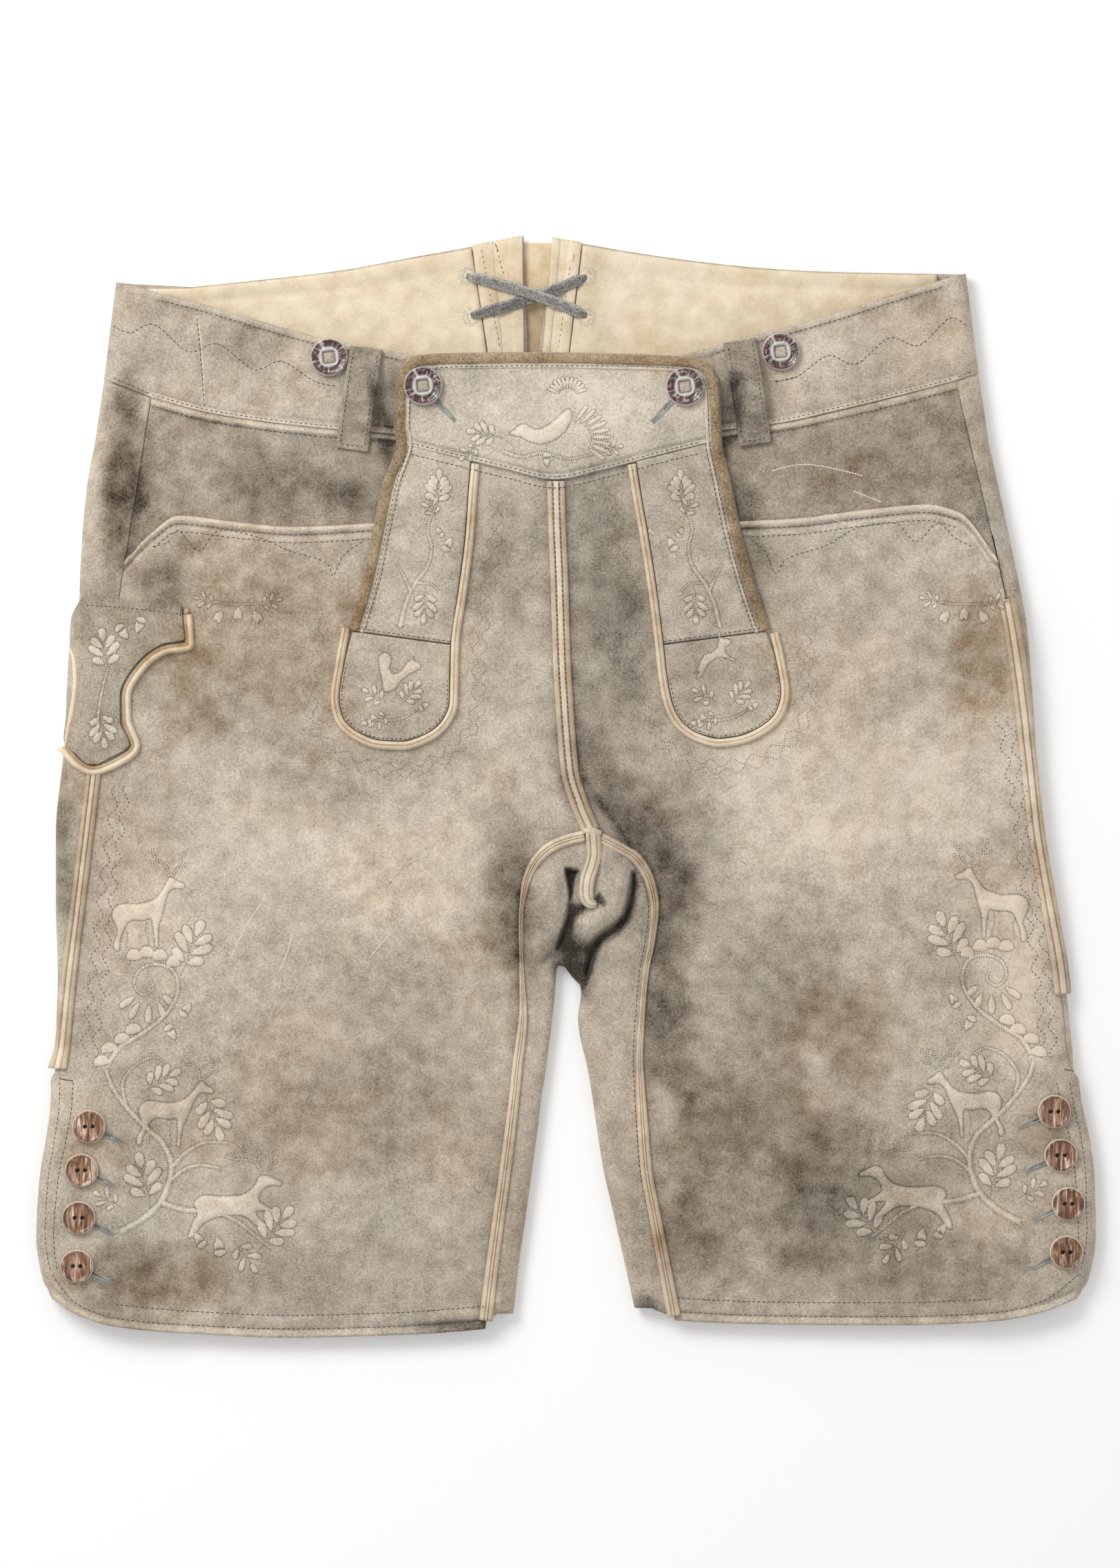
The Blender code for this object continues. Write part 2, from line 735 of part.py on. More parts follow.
def front_panel(side):
    """The panel below the drop front, with an arm on each side of the hidden slit."""
    half_gap = Vector((SIGN[side] * HALF_GAP, 0.0))
    rows = panel_body_rows(side)
    slit_bottom = rows[0]
    slit = plan(SLIT[side])

    under_band = []
    for row, at in ((0, 0), (1, 1), (2, 2), (4, 3)):
        inner = front_centre(side, row)
        edge = slit[at] - half_gap
        under_band.append([inner, between(inner, edge, 0.5), edge])
    for point in under_band[0][:2]:
        point.y = curve(BAND["x"], BAND["low_y"], point.x) + 6.0
    under_band.append(slit_bottom[:3])

    pocket = plan(POCKET[side])
    top = [pocket[0] + half_gap] + pocket[1:-1] + [pocket[-1] - half_gap]
    middle = panel_row(side, slit[-1] + half_gap, body_side(side, PANEL_FROM_ROW) - half_gap)
    del middle[1]
    below = slit_bottom[2:]
    to_pocket = [respaced(top, below), respaced(middle, below), below]

    def face(depth):
        blocks = []
        for block in (rows, under_band, to_pocket):
            blocks.append([[on_top(p.x, p.y, panel_lift(p) - depth) for p in row] for row in block])
        return blocks

    return lofted_wall("front_panel_" + side, face(0.0), face(HIDE), "hide")


def respaced(points, like):
    """The points on their own line, with as many points as another row, evenly by length."""
    lengths = [0.0]
    for a, b in zip(points, points[1:]):
        lengths.append(lengths[-1] + (b - a).length)
    goal = [0.0]
    for a, b in zip(like, like[1:]):
        goal.append(goal[-1] + (b - a).length)
    found = []
    for distance in goal:
        at = distance / goal[-1] * lengths[-1]
        reached = [i for i in range(len(lengths)) if lengths[i] <= at + NEARLY]
        place = min(reached[-1], len(points) - 2)
        share = (at - lengths[place]) / (lengths[place + 1] - lengths[place])
        found.append(between(points[place], points[place + 1], share))
    return found


def hip_panel(side):
    """The pocket's back, from the waistband down to where it is tucked under the front panel."""
    sign = SIGN[side]
    waist = plan(WAIST_FRONT[side], "low_x", "low_y")[2:]
    top = [point - Vector((0.0, HALF_GAP)) for point in waist]
    top[-1].x -= sign * HALF_GAP
    rows = [top]
    for row in range(PANEL_FROM_ROW):
        y = BODY["side_y"][row]
        outer = body_side(side, row) - Vector((sign * HALF_GAP, 0.0))
        inner = Vector((top[0].x - sign * HIP_SLANT * (y - top[0].y), y))
        rows.append([between(inner, outer, k / (len(top) - 1)) for k in range(len(top))])
    last = [point - Vector((0.0, HIP_TUCK)) for point in rows[-1]]
    last[-1].x = seam_x(side, last[-1].y) - sign * HALF_GAP
    rows.append(last)
    outer_face = [[on_top(p.x, p.y, 0.0) for p in row] for row in rows]
    inner_face = [[on_top(p.x, p.y, -HIDE) for p in row] for row in rows]
    return lofted_wall("hip_panel_" + side, [outer_face], [inner_face], "hide")


def fold_angles(side, start, fold):
    """Angles round an outer fold, from a side seam that may itself lie on the round."""
    depth = abs(start.x - fold)
    if depth >= FOLD_REACH + 1.0:
        return FOLD_ANGLES
    first = math.degrees(math.acos(max(1.0 - depth / FOLD_REACH, 0.0)))
    steps = len(FOLD_ANGLES)
    return [between(first, -90, step / steps) for step in range(1, steps + 1)]


def outer_wrap(side, start, depth):
    """From the side seam round the outer fold to the floor."""
    sign = SIGN[side]
    y = start.y
    edge = Vector((fold_x(side, y), y))
    inward = Vector((edge.x - sign * FOLD_REACH, y))
    angles = fold_angles(side, start, edge.x)
    height = laid_height(inward.x, y)
    heading = Vector((sign, 0.0))
    return [on_top(start.x, y, -depth)] + round_fold(edge, heading, height, angles, depth)


def back_panel(side):
    """Round the side fold, along the floor and, on the leg, round the inner fold to the inseam."""
    return lofted_wall("back_panel_" + side, back_rows(side, 0.0), back_rows(side, HIDE), "hide")


def along_floor(start, end, spans):
    return [between(start, end, k / spans) for k in range(1, spans)]


def back_rows(side, depth):
    """Rows of the back panel, depth below its outer face: the body's, then the leg's."""
    half_gap = Vector((SIGN[side] * HALF_GAP, 0.0, 0.0))
    spans = len(WAIST_BACK[side]["low_x"])
    first = len(WAIST_FRONT[side]["low_x"]) - 1
    waist = waist_rows(side, (0.0,), depth)[0]
    top = [point - Vector((0.0, SEAM_GAP, 0.0)) for point in waist[first:]]
    top[0] += half_gap
    body = [top]
    for row in range(len(BODY["side_y"])):
        wrap = outer_wrap(side, body_side(side, row) + half_gap.xy, depth)
        centre = Vector((BODY["back_x"][row], BODY["back_y"][row], depth)) + half_gap
        body.append(wrap + along_floor(wrap[-1], centre, spans) + [centre])

    legs = []
    leg = LEG[side]
    seams = inseam(side, -0.5)
    for row in range(len(leg["side_y"])):
        start = leg_side(side, row) + half_gap.xy
        if row >= SLIT_LEG_ROW:
            start.x = fold_x(side, start.y) - SIGN[side] * (SLIT_LAP - SLIT_TUCK)
        wrap = outer_wrap(side, start, depth)
        turn = math.radians(leg["facing"][row])
        heading = Vector((math.cos(turn), math.sin(turn)))
        edge = Vector((leg["fold_x"][row], leg["fold_y"][row]))
        if row == 0:
            edge += half_gap.xy
        inner = round_fold(edge, heading, leg["fold_height"][row], FOLD_ANGLES[::-1], depth)
        if row == 0:
            seat = zip(SEAT_SEAM["x"], SEAT_SEAM["y"], SEAT_SEAM["height"])
            rise = [Vector(point) + half_gap - Vector((0.0, 0.0, depth)) for point in seat]
            rise[-1] = Vector((*seams[0], laid_height(*seams[0]) - depth))
        else:
            end = on_top(seams[row].x, seams[row].y, -depth)
            rise = [between(inner[-1], end, share) for share in INSEAM_RISE_SHARES]
        legs.append(wrap + along_floor(wrap[-1], inner[0], spans) + inner + rise)
    body.append(legs[0][: len(top)])
    return [body, legs]


def floor_rise(x, y):
    """How far the waistband's ends rise over the gusset at the centre back."""
    beside_lacing = ramp(RISE_REACH - abs(x - LACING_X), 0.0, RISE_FADE)
    return LAYER * beside_lacing * ramp(y, *RISE_Y)


def waist_rows(side, shares, depth):
    """Rows of the waistband, depth below its outer face, from the lower seam up; each runs from
    the centre front round the side fold to the centre back."""
    sign = SIGN[side]
    front, fold, back = WAIST_FRONT[side], WAIST_FOLD[side], WAIST_BACK[side]
    rows = []
    for share in shares:

        def at(stations, place):
            x = between(stations["low_x"][place], stations["top_x"][place], share)
            y = between(stations["low_y"][place], stations["top_y"][place], share)
            return Vector((x, y))

        ahead = [at(front, k) for k in range(len(front["low_x"]))]
        ahead[0].x += sign * HALF_GAP
        edge = at(fold, 0)
        behind = [at(back, k) for k in range(len(back["low_x"]))]
        behind[-1].x += sign * HALF_GAP
        row = [Vector((p.x, p.y, laid_height(p.x, p.y) - depth)) for p in ahead]
        angles = fold_angles(side, ahead[-1], edge.x)
        height = laid_height(edge.x, edge.y)
        fold_points = round_fold(edge, Vector((sign, 0.0)), height, angles, depth)
        for angle, point in zip(angles, fold_points):
            other = ahead[-1] if angle > 0 else behind[0]
            near = (point.x - edge.x) / (other.x - edge.x)
            point.y = between(edge.y, other.y, near)
            row.append(point)
        row += [Vector((p.x, p.y, floor_rise(p.x, p.y) + depth)) for p in behind]
        if share == 0.0:
            for point in row:
                point.y += HALF_GAP
        rows.append(row)
    return rows


def waistband(side):
    outer_face = waist_rows(side, WAIST_SHARES, 0.0)
    inner_face = waist_rows(side, WAIST_SHARES, HIDE)
    return lofted_wall("waistband_" + side, [outer_face], [inner_face], "hide")


def inside_waist(side, ends):
    """Rows of a band on the inner face of the back waistband; ends is a row of its table."""
    low_outer, high_outer, low_inner, high_inner = ends
    back = WAIST_BACK[side]
    rows = []
    for step in INSIDE_SHARES:
        share = between(INSIDE_LOW, INSIDE_HIGH, step)
        start = between(low_outer, high_outer, step)
        end = between(low_inner, high_inner, step)
        row = []
        for k in range(INSIDE_COLUMNS):
            x = between(start, end, k / (INSIDE_COLUMNS - 1))
            low = curve(back["low_x"], back["low_y"], x)
            high = curve(back["top_x"], back["top_y"], x)
            y = between(low, high, share)
            row.append(Vector((x, y, floor_rise(x, y) + LAYER + SUEDE)))
        rows.append(row)
    return rows


def facings():
    """The cream facing inside the back waistband, and the band with the eyelets at each end."""
    for place, side in enumerate(SIGN):
        for name, bands in (("waist_facing_", FACING), ("lacing_band_", LACING_BAND)):
            ends = [bands[column][place] for column in bands]
            piece(name + side, inside_waist(side, ends), SUEDE, "cream_suede")


def gusset():
    """The tongue of soft leather that lies on the floor behind the lacing."""
    rows = []
    for y, middle, half in zip(*BACK_GUSSET.values()):
        rows.append([Vector((middle + half * way, y, GUSSET)) for way in (-1, 0, 1)])
    piece("back_gusset", rows, GUSSET, "cream_suede")


def laces():
    """Two thongs that cross once over the gusset, from eyelet to eyelet."""
    low = LAYER + LAYER + SUEDE + 2 * SEAM_GAP + STRIP
    for place, name in enumerate(LACE_NAMES):
        start = Vector((LACES["start_x"][place], LACES["start_y"][place]))
        end = Vector((LACES["end_x"][place], LACES["end_y"][place]))
        square = (end - start).normalized().orthogonal() * THONG_WIDTH / 2
        rows = []
        for k in range(THONG_STEPS + 1):
            middle = between(start, end, k / THONG_STEPS)
            from_end = min(k, THONG_STEPS - k)
            height = low + LACES["hump"][place] * (1.0 - ramp(THONG_STEPS / 2 - from_end, 2.0, 4.0))
            rows.append([Vector((*(middle + square * way), height)) for way in (-1, 0, 1)])
        piece(name, rows, STRIP, "thong")


def band_low(x):
    return curve(BAND["x"], BAND["low_y"], x)


def bib_band():
    """The band across the top of the drop front."""
    lift = drop_lift(POCKET_LAP_Y)
    tops = plan(BAND, "x", "top_y")
    lows = [point + Vector((0.0, HALF_GAP)) for point in plan(BAND, "x", "low_y")]
    rows = []
    for share in BAND_SHARES:
        row = [between(a, b, share) for a, b in zip(tops, lows)]
        rows.append([on_top(p.x, p.y, lift) for p in row])
    piece("bib_band", rows, HIDE, "hide")


def drop_side(side):
    """One side strip of the drop front, its round tongue below, and the piping round both."""
    sign = SIGN[side]
    welt_edge = PIPING_WIDTH / 2 + SEAM_GAP

    def dressed(ins, outs):
        rows = [[between(a, b, k / 3) for k in range(4)] for a, b in zip(ins, outs)]
        return [[on_top(p.x, p.y, drop_lift(p.y)) for p in row] for row in rows]

    strip = BIB_STRIP[side]
    strip_welt = plan(strip, "inner_x", "inner_y")
    inner = beside(strip_welt, -sign * welt_edge)
    outer = plan(strip, "outer_x", "outer_y")
    for line in (inner, outer):
        line[0].y = band_low(line[0].x) - HALF_GAP
    piece("bib_strip_" + side, dressed(inner, outer), HIDE, "hide")

    tongue = TONGUE[side]
    welt_out = plan(tongue, "outer_x", "outer_y")
    welt_in = plan(tongue, "inner_x", "inner_y")
    shape = beside(welt_out + welt_in[::-1], sign * welt_edge)
    shape[0] = outer[-1] + Vector((-sign * 2 * SEAM_GAP, -3 * SEAM_GAP))
    shape[-1] = inner[-1] + Vector((0.0, -3 * SEAM_GAP))
    half = len(welt_out)
    piece("tongue_" + side, dressed(shape[half:][::-1], shape[:half]), HIDE, "hide")

    line = without_repeats(strip_welt + welt_in + welt_out[::-1])
    line[0].y = band_low(line[0].x) - 3 * SEAM_GAP

    def over_panel(point):
        return front_lift(point.y) + 2 * SEAM_GAP + WELT

    ribbon("bib_piping_" + side, line, PIPING_WIDTH, over_panel, WELT, "cream_welt")


def without_repeats(points):
    """The points less any that nearly repeat the one before."""
    kept = [points[0]]
    for point in points[1:]:
        if (point - kept[-1]).length > 2.0:
            kept.append(point)
    return kept


def strip_over_seam(point):
    """Lift of a side strip's outer face, over the front panel's edge."""
    return panel_lift(point) + STRIP_TOP + 2 * SEAM_GAP


def seam_strips():
    """The welt strips that cover the centre, inner, side and seat seams."""
    line = plan(BODY, "front_x", "front_y")
    line[0].y = CENTRE_STRIP_TOP_Y
    line.append(between(line[-1], CROTCH, 0.55))
    strip_lift = lambda point: front_lift(point.y) + STRIP_TOP
    ribbon("centre_strip", line, CENTRE_STRIP_WIDTH, strip_lift, STRIP, "cream_welt")
    for side in SIGN:
        line = plan(LEG[side], "seam_x", "seam_y")[1:]
        line[0] = between(line[0], line[1], 0.15)
        line[-1] = between(line[-2], line[-1], 0.97)
        strip_lift = lambda point: STRIP_TOP + CLEAR
        ribbon("inseam_strip_" + side, line, INSEAM_STRIP_WIDTH, strip_lift, STRIP, "cream_welt")

    body_rows = range(len(BODY["side_y"]))
    right = [body_side("right", row) for row in body_rows[-2:]]
    right += [leg_side("right", row) for row in range(SLIT_LEG_ROW)]
    right[-1].y = SLIT_Y + 3.0
    ribbon("side_strip_right", right, SIDE_STRIP_WIDTH, strip_over_seam, STRIP, "cream_welt")
    left = [body_side("left", row) for row in body_rows[PANEL_FROM_ROW:]]
    left += [leg_side("left", row) for row in range(LEFT_STRIP_LEG_ROWS)]
    ribbon("side_strip_left", left, SIDE_STRIP_WIDTH, strip_over_seam, STRIP, "cream_welt")

    seam = [Vector(row) for row in zip(*SEAT_SEAM.values())]
    rows = []
    for point in seam[1:3] + [between(seam[2], seam[3], 0.45)]:
        half = SEAT_STRIP_WIDTH / 2
        rows.append([point + Vector((way * half, 0.0, STRIP_TOP)) for way in (-1, 0, 1)])
    piece("seat_strip", rows, STRIP, "cream_welt")


def knife_pocket():
    """The pointed pocket for a knife on the right side, and its piping."""
    outs = plan(KNIFE_POCKET, "outer_x", "outer_y")
    ins = plan(KNIFE_POCKET, "inner_x", "inner_y")
    lift = drop_lift(POCKET_LAP_Y) + CLEAR
    rows = []
    for start, end in zip(ins, outs):
        end.x = max(end.x, fold_x("right", end.y) + SEAM_GAP)
        row = [start] + [between(start, end, share) for share in KNIFE_SHARES] + [end]
        rows.append([on_top(p.x, p.y, lift) for p in row])
    piece("knife_pocket", rows, HIDE, "hide")
    piping_lift = lambda point: lift + 2 * SEAM_GAP + CLEAR
    line = plan(KNIFE_PIPING)
    ribbon("knife_pocket_piping", line, KNIFE_PIPING_WIDTH, piping_lift, KNIFE_WELT, "cream_welt")


def belt_loops():
    """A loop on each side of the drop front, arched for a belt between its two sewn ends."""
    for side, line in BELT_LOOP.items():
        top = Vector((line["top_x"][0], line["top_y"][0]))
        low = Vector((line["low_x"][0], line["low_y"][0]))
        square = (low - top).normalized().orthogonal() * LOOP_WIDTH / 2
        rows = []
        for share, arch in zip(*LOOP_PROFILE.values()):
            middle = between(top, low, share)
            lift = LAYER + 2 * CLEAR + LOOP_ARCH * arch
            rows.append([on_top(*(middle + square * way), lift) for way in (-1, 0, 1)])
        piece("belt_loop_" + side, rows, HIDE, "hide")


def hole_cutter(name, place, square):
    """A square bar, or a round pin, through a button at place (metres)."""
    if square:
        bpy.ops.mesh.primitive_cube_add(size=SQUARE_HOLE * MM, location=place)
        bpy.context.object.scale.z = CUTTER_DEPTH / SQUARE_HOLE
    else:
        bpy.ops.mesh.primitive_cylinder_add(
            vertices=8,
            radius=THREAD_HOLE / 2 * MM,
            depth=CUTTER_DEPTH * MM,
            location=place,
        )
    cutter = bpy.context.object
    cutter.name = name
    cutter.hide_render = True
    cutter.display_type = "WIRE"
    move_to(cutter, cutters)
    return cutter


def button(name, centre, diameter, square):
    """An antler disc with one square hole, or two round ones for thread."""
    bpy.ops.mesh.primitive_cylinder_add(
        vertices=20,
        radius=diameter / 2 * MM,
        depth=BUTTON_THICKNESS * MM,
        location=in_metres(centre),
    )
    obj = bpy.context.object
    obj.name = name
    obj.data.materials.append(material("antler"))
    edge = obj.modifiers.new("rounded rim", "BEVEL")
    edge.width = BUTTON_RIM * MM
    edge.segments = 2
    edge.limit_method = "ANGLE"
    move_to(obj, garment)
    offsets = (0.0,) if square else (-THREAD_HOLES_APART / 2, THREAD_HOLES_APART / 2)
    for offset in offsets:
        place = in_metres(centre + Vector((offset, 0.0, 0.0)))
        cut = obj.modifiers.new("hole", "BOOLEAN")
        cut.object = hole_cutter(name + "_hole", place, square)
        cut.operation = "DIFFERENCE"
        cut.solver = "EXACT"


def move_to(obj, group):
    for held in obj.users_collection:
        held.objects.unlink(obj)
    group.objects.link(obj)


def buttons():
    """Suspender buttons on the waistband, two on the drop front and four beside each hem slit."""
    for side in SIGN:
        for row, name in enumerate(BUTTON_NAMES):
            x = BUTTONS[side + "_x"][row]
            y = BUTTONS[side + "_y"][row]
            at_hem = name.startswith("hem")
            height = laid_height(x, y) + SEAM_GAP + CLEAR + BUTTON_THICKNESS / 2
            if name.startswith("bib"):
                height += drop_lift(POCKET_LAP_Y)
            if at_hem:
                height += slit_lift(x, y)
            button(name.format(side), Vector((x, y, height)), BUTTONS["diameter"][row], not at_hem)


for old in list(bpy.data.objects):
    bpy.data.objects.remove(old, do_unlink=True)

garment = collection("lederhosen")
cutters = collection("cutters")
for side_name in SIGN:
    front_panel(side_name)
    hip_panel(side_name)
    back_panel(side_name)
    waistband(side_name)
facings()
gusset()
laces()
bib_band()
for side_name in SIGN:
    drop_side(side_name)
seam_strips()
knife_pocket()
belt_loops()
buttons()
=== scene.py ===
"""Lederhosen laid flat: deer-leather breeches with a buttoned drop front, embroidery, cream
piping and antler buttons. Tables are in millimetres in the maker's own frame: +X to the wearer's
left, +Y to the waist, +Z up from the floor. Right and left are the wearer's."""

import json
import math

import bmesh
import bpy
import numpy as np
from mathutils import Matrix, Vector
from mathutils.bvhtree import BVHTree
from mathutils.geometry import delaunay_2d_cdt
from mathutils.kdtree import KDTree

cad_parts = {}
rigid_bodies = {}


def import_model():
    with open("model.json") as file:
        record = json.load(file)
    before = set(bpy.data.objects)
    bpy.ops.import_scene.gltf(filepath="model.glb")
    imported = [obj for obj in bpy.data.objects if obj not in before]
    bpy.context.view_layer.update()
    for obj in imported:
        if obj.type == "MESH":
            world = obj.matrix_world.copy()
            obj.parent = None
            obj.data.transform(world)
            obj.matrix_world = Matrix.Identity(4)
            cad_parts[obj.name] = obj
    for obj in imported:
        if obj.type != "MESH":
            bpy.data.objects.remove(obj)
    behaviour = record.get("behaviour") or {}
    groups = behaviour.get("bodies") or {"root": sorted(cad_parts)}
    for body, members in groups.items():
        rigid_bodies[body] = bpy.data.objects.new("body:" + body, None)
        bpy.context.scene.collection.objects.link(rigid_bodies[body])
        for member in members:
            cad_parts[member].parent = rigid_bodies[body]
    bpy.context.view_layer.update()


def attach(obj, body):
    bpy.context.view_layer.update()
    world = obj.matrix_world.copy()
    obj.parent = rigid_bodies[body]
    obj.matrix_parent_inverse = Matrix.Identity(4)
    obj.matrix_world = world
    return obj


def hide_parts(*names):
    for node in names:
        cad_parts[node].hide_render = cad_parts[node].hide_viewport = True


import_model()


# ---------------------------------------------------------------------------------------------
# Camera, floor and light. The breeches lie on a pale floor and are looked at from straight
# above through a long lens. One wide soft lamp stands up and to the left, and the rest is the
# even light of a white room.

MM = 0.001
MIDDLE = np.array((0.34, -0.32, 0.0))     # the tables' point over the part's origin
VIEW_MIDDLE = (-3, 0.9)
VIEW_LENGTH = 845.556                     # how much of the floor is seen, top to bottom
CAMERA_HEIGHT = 3.2                       # metres


def in_metres(points):
    return (np.asarray(points, float) - MIDDLE) * MM


lens = bpy.data.cameras.new("camera")
camera = bpy.data.objects.new("camera", lens)
bpy.context.scene.collection.objects.link(camera)
camera.location = in_metres((*VIEW_MIDDLE, CAMERA_HEIGHT / MM))
lens.sensor_fit = "VERTICAL"
lens.angle = 2 * math.atan(VIEW_LENGTH * MM / 2 / CAMERA_HEIGHT)
lens.clip_end = 20.0
bpy.context.scene.camera = camera

floor_mesh = bpy.data.meshes.new("floor")
floor_mesh.from_pydata([(-4, -4, 0), (4, -4, 0), (4, 4, 0), (-4, 4, 0)], [], [(0, 1, 2, 3)])
floor = bpy.data.objects.new("floor", floor_mesh)
bpy.context.scene.collection.objects.link(floor)
floor.location.z = -0.0005
paint = bpy.data.materials.new("floor_paint")
paint.use_nodes = True
painted = paint.node_tree.nodes["Principled BSDF"].inputs
painted["Base Color"].default_value = (0.98, 0.98, 0.98, 1)
painted["Roughness"].default_value = 0.9
painted["Specular IOR Level"].default_value = 0.2
painted["Emission Color"].default_value = (1, 1, 1, 1)
painted["Emission Strength"].default_value = 0.10
floor_mesh.materials.append(paint)

lamp = bpy.data.lights.new("softbox", "AREA")
lamp.shape = "RECTANGLE"
lamp.size = 1.3
lamp.size_y = 1.0
lamp.energy = 34.0
softbox = bpy.data.objects.new("softbox", lamp)
bpy.context.scene.collection.objects.link(softbox)
softbox.location = (-1.25, 1.35, 1.75)
softbox.rotation_euler = (-softbox.location).to_track_quat("-Z", "Y").to_euler()

room = bpy.data.worlds.new("room")
bpy.context.scene.world = room
room.use_nodes = True
background = room.node_tree.nodes["Background"].inputs
background["Color"].default_value = (1, 1, 1, 1)
background["Strength"].default_value = 0.62
bpy.context.scene.view_settings.view_transform = "Standard"


# ---------------------------------------------------------------------------------------------
# Back panels. Each is one piece of deer hide that starts at the side seam, wraps the side fold,
# lies along the floor to the centre-back seam, and on the leg comes up round the inner fold to
# the inseam. The hide is stained by wear and carries painted shadow in the crotch's folds, and
# its nap is fine and speckled.

HIDE = 1.8                # how thick the leather is
SEAM_GAP = 0.3            # between two leathers, side by side or one on the other
LAYER = HIDE + SEAM_GAP
WAIST_HEIGHT = 12.0
HEM_HEIGHT = 9.6
WAIST_Y = 275.0
HEM_Y = -297.0
FOLD_REACH = 9.0          # how far in from its edge a fold rounds off
CROTCH = (14.5, -26)
CROTCH_RISE = 4.0
CROTCH_SPREAD = 46.0
POCKET_LAP_Y = 100.0      # where the hip panels end, under the front panels
SLIT_Y = -155.0
SLIT_LEG_ROW = 9          # the row of the leg's table where its slit starts
SLIT_LAP = 42.0           # how far the slit's underlap reaches in
SLIT_LAP_END = 77.0
SLIT_HEM_Y = -262.0       # where the slit's rows turn into the hem's
SEAT_Y = 0.0              # where the front panels lie down on the back
SIGN = {"right": -1, "left": 1}


def table(columns, *rows):
    return {name: np.array(column, float) for name, column in zip(columns.split(), zip(*rows))}


def each_side(columns, right, left):
    return {"right": table(columns, *right), "left": table(columns, *left)}


SIDES = table(
    "y right_fold left_fold right_seam left_seam",
    (-274, -274, 273, -262, 260), (-262, -280, 280, -262, 262), (-240, -283, 283.5, -264, 265),
    (-212, -281.5, 283, -266, 267), (-190, -278, 280.5, -269, 269), (-172, -275.5, 276.5, -271, 270),
    (-156, -275, 274, -271.5, 270.5), (-138, -274.5, 272.5, -270, 269.3),
    (-101, -273.5, 268.5, -266.5, 265.8), (-63, -274.5, 264, -262, 259.5),
    (-26, -274.5, 258.5, -257.5, 253.2), (11, -271, 254, -253, 249), (48, -266, 251.5, -248, 244.8),
    (85, -262.5, 248.5, -242.3, 239.5), (122, -261, 241.5, -236.5, 232),
    (159, -258, 233.5, -230.5, 223.5), (197, -251, 225.5, -224.5, 214.5),
    (234, -246.5, 220.5, -219, 207), (271, -242, 216, -213, 201),
)

BODY = table(
    "side_y front_x front_y back_x back_y",
    (183, -5.2, 160, -18.5, 178), (159, -4.9, 150, -17.5, 155), (140, -4.5, 137, -16.5, 135),
    (121.5, -3.6, 117, -15.5, 115), (100, -2.8, 92, -14, 93), (75, -2, 67, -12, 67),
    (50, -0.8, 46, -9.5, 40), (25, 0.6, 26, -6.5, 12), (2, 2.5, 7, -3, -18), (-22, 7.5, -9.5, 1, -52),
)

LEG = each_side(
    "side_y fold_x fold_y facing fold_height seam_x seam_y",
    (
        (-46, 8, -107.5, -75, 8, 14.5, -26), (-56, 3.5, -103, -58, 8, 3, -28.5),
        (-66, -1.5, -96, -35, 9, -8, -33), (-77, -4.6, -98.5, -8, 10, -17, -42),
        (-88, -5.3, -106, 0, 10, -22, -55), (-99, -5.8, -113.5, 0, 10.2, -24, -72),
        (-112, -6.8, -123, 0, 10.2, -23.7, -95), (-128, -8.5, -137, 0, 10.2, -22.8, -121),
        (-150, -11.3, -158, 0, 10.2, -26, -152), (-158.5, -12.7, -166.5, 0, 10.1, -27, -162),
        (-180, -14.8, -184, 0, 10, -29.3, -182), (-204, -17.8, -206, 0, 10, -32.3, -206),
        (-230, -21.2, -231, 0, 9.9, -35.8, -231.5), (-256, -25, -257, 0, 9.8, -39.3, -257.5),
        (-273, -28, -284, 0, 9.6, -43, -288.5),
    ), (
        (-46, 8, -107.5, -75, 8, 14.5, -26), (-56, 8.3, -112, -110, 8.5, 25.5, -31.5),
        (-66, 7.8, -116.5, -150, 9.5, 38, -39), (-77, 7, -121, -172, 10, 45.5, -52),
        (-88, 6.6, -126, -180, 10, 48, -66), (-99, 7.4, -133, -180, 10.2, 46.5, -82),
        (-112, 9.2, -141.5, -180, 10.2, 43.2, -100), (-128, 11.4, -150.5, -180, 10.2, 41.2, -122),
        (-150, 13.8, -164, -180, 10.2, 39.8, -148), (-158.5, 14.8, -170.5, -180, 10.1, 40.2, -159),
        (-180, 17, -186, -180, 10, 41.4, -180), (-204, 20.5, -207, -180, 10, 43.4, -206),
        (-230, 26, -231.5, -180, 9.9, 48, -231.5), (-256, 31.8, -257, -180, 9.8, 53, -257.5),
        (-273, 37, -281, -180, 9.6, 58.5, -286),
    ),
)

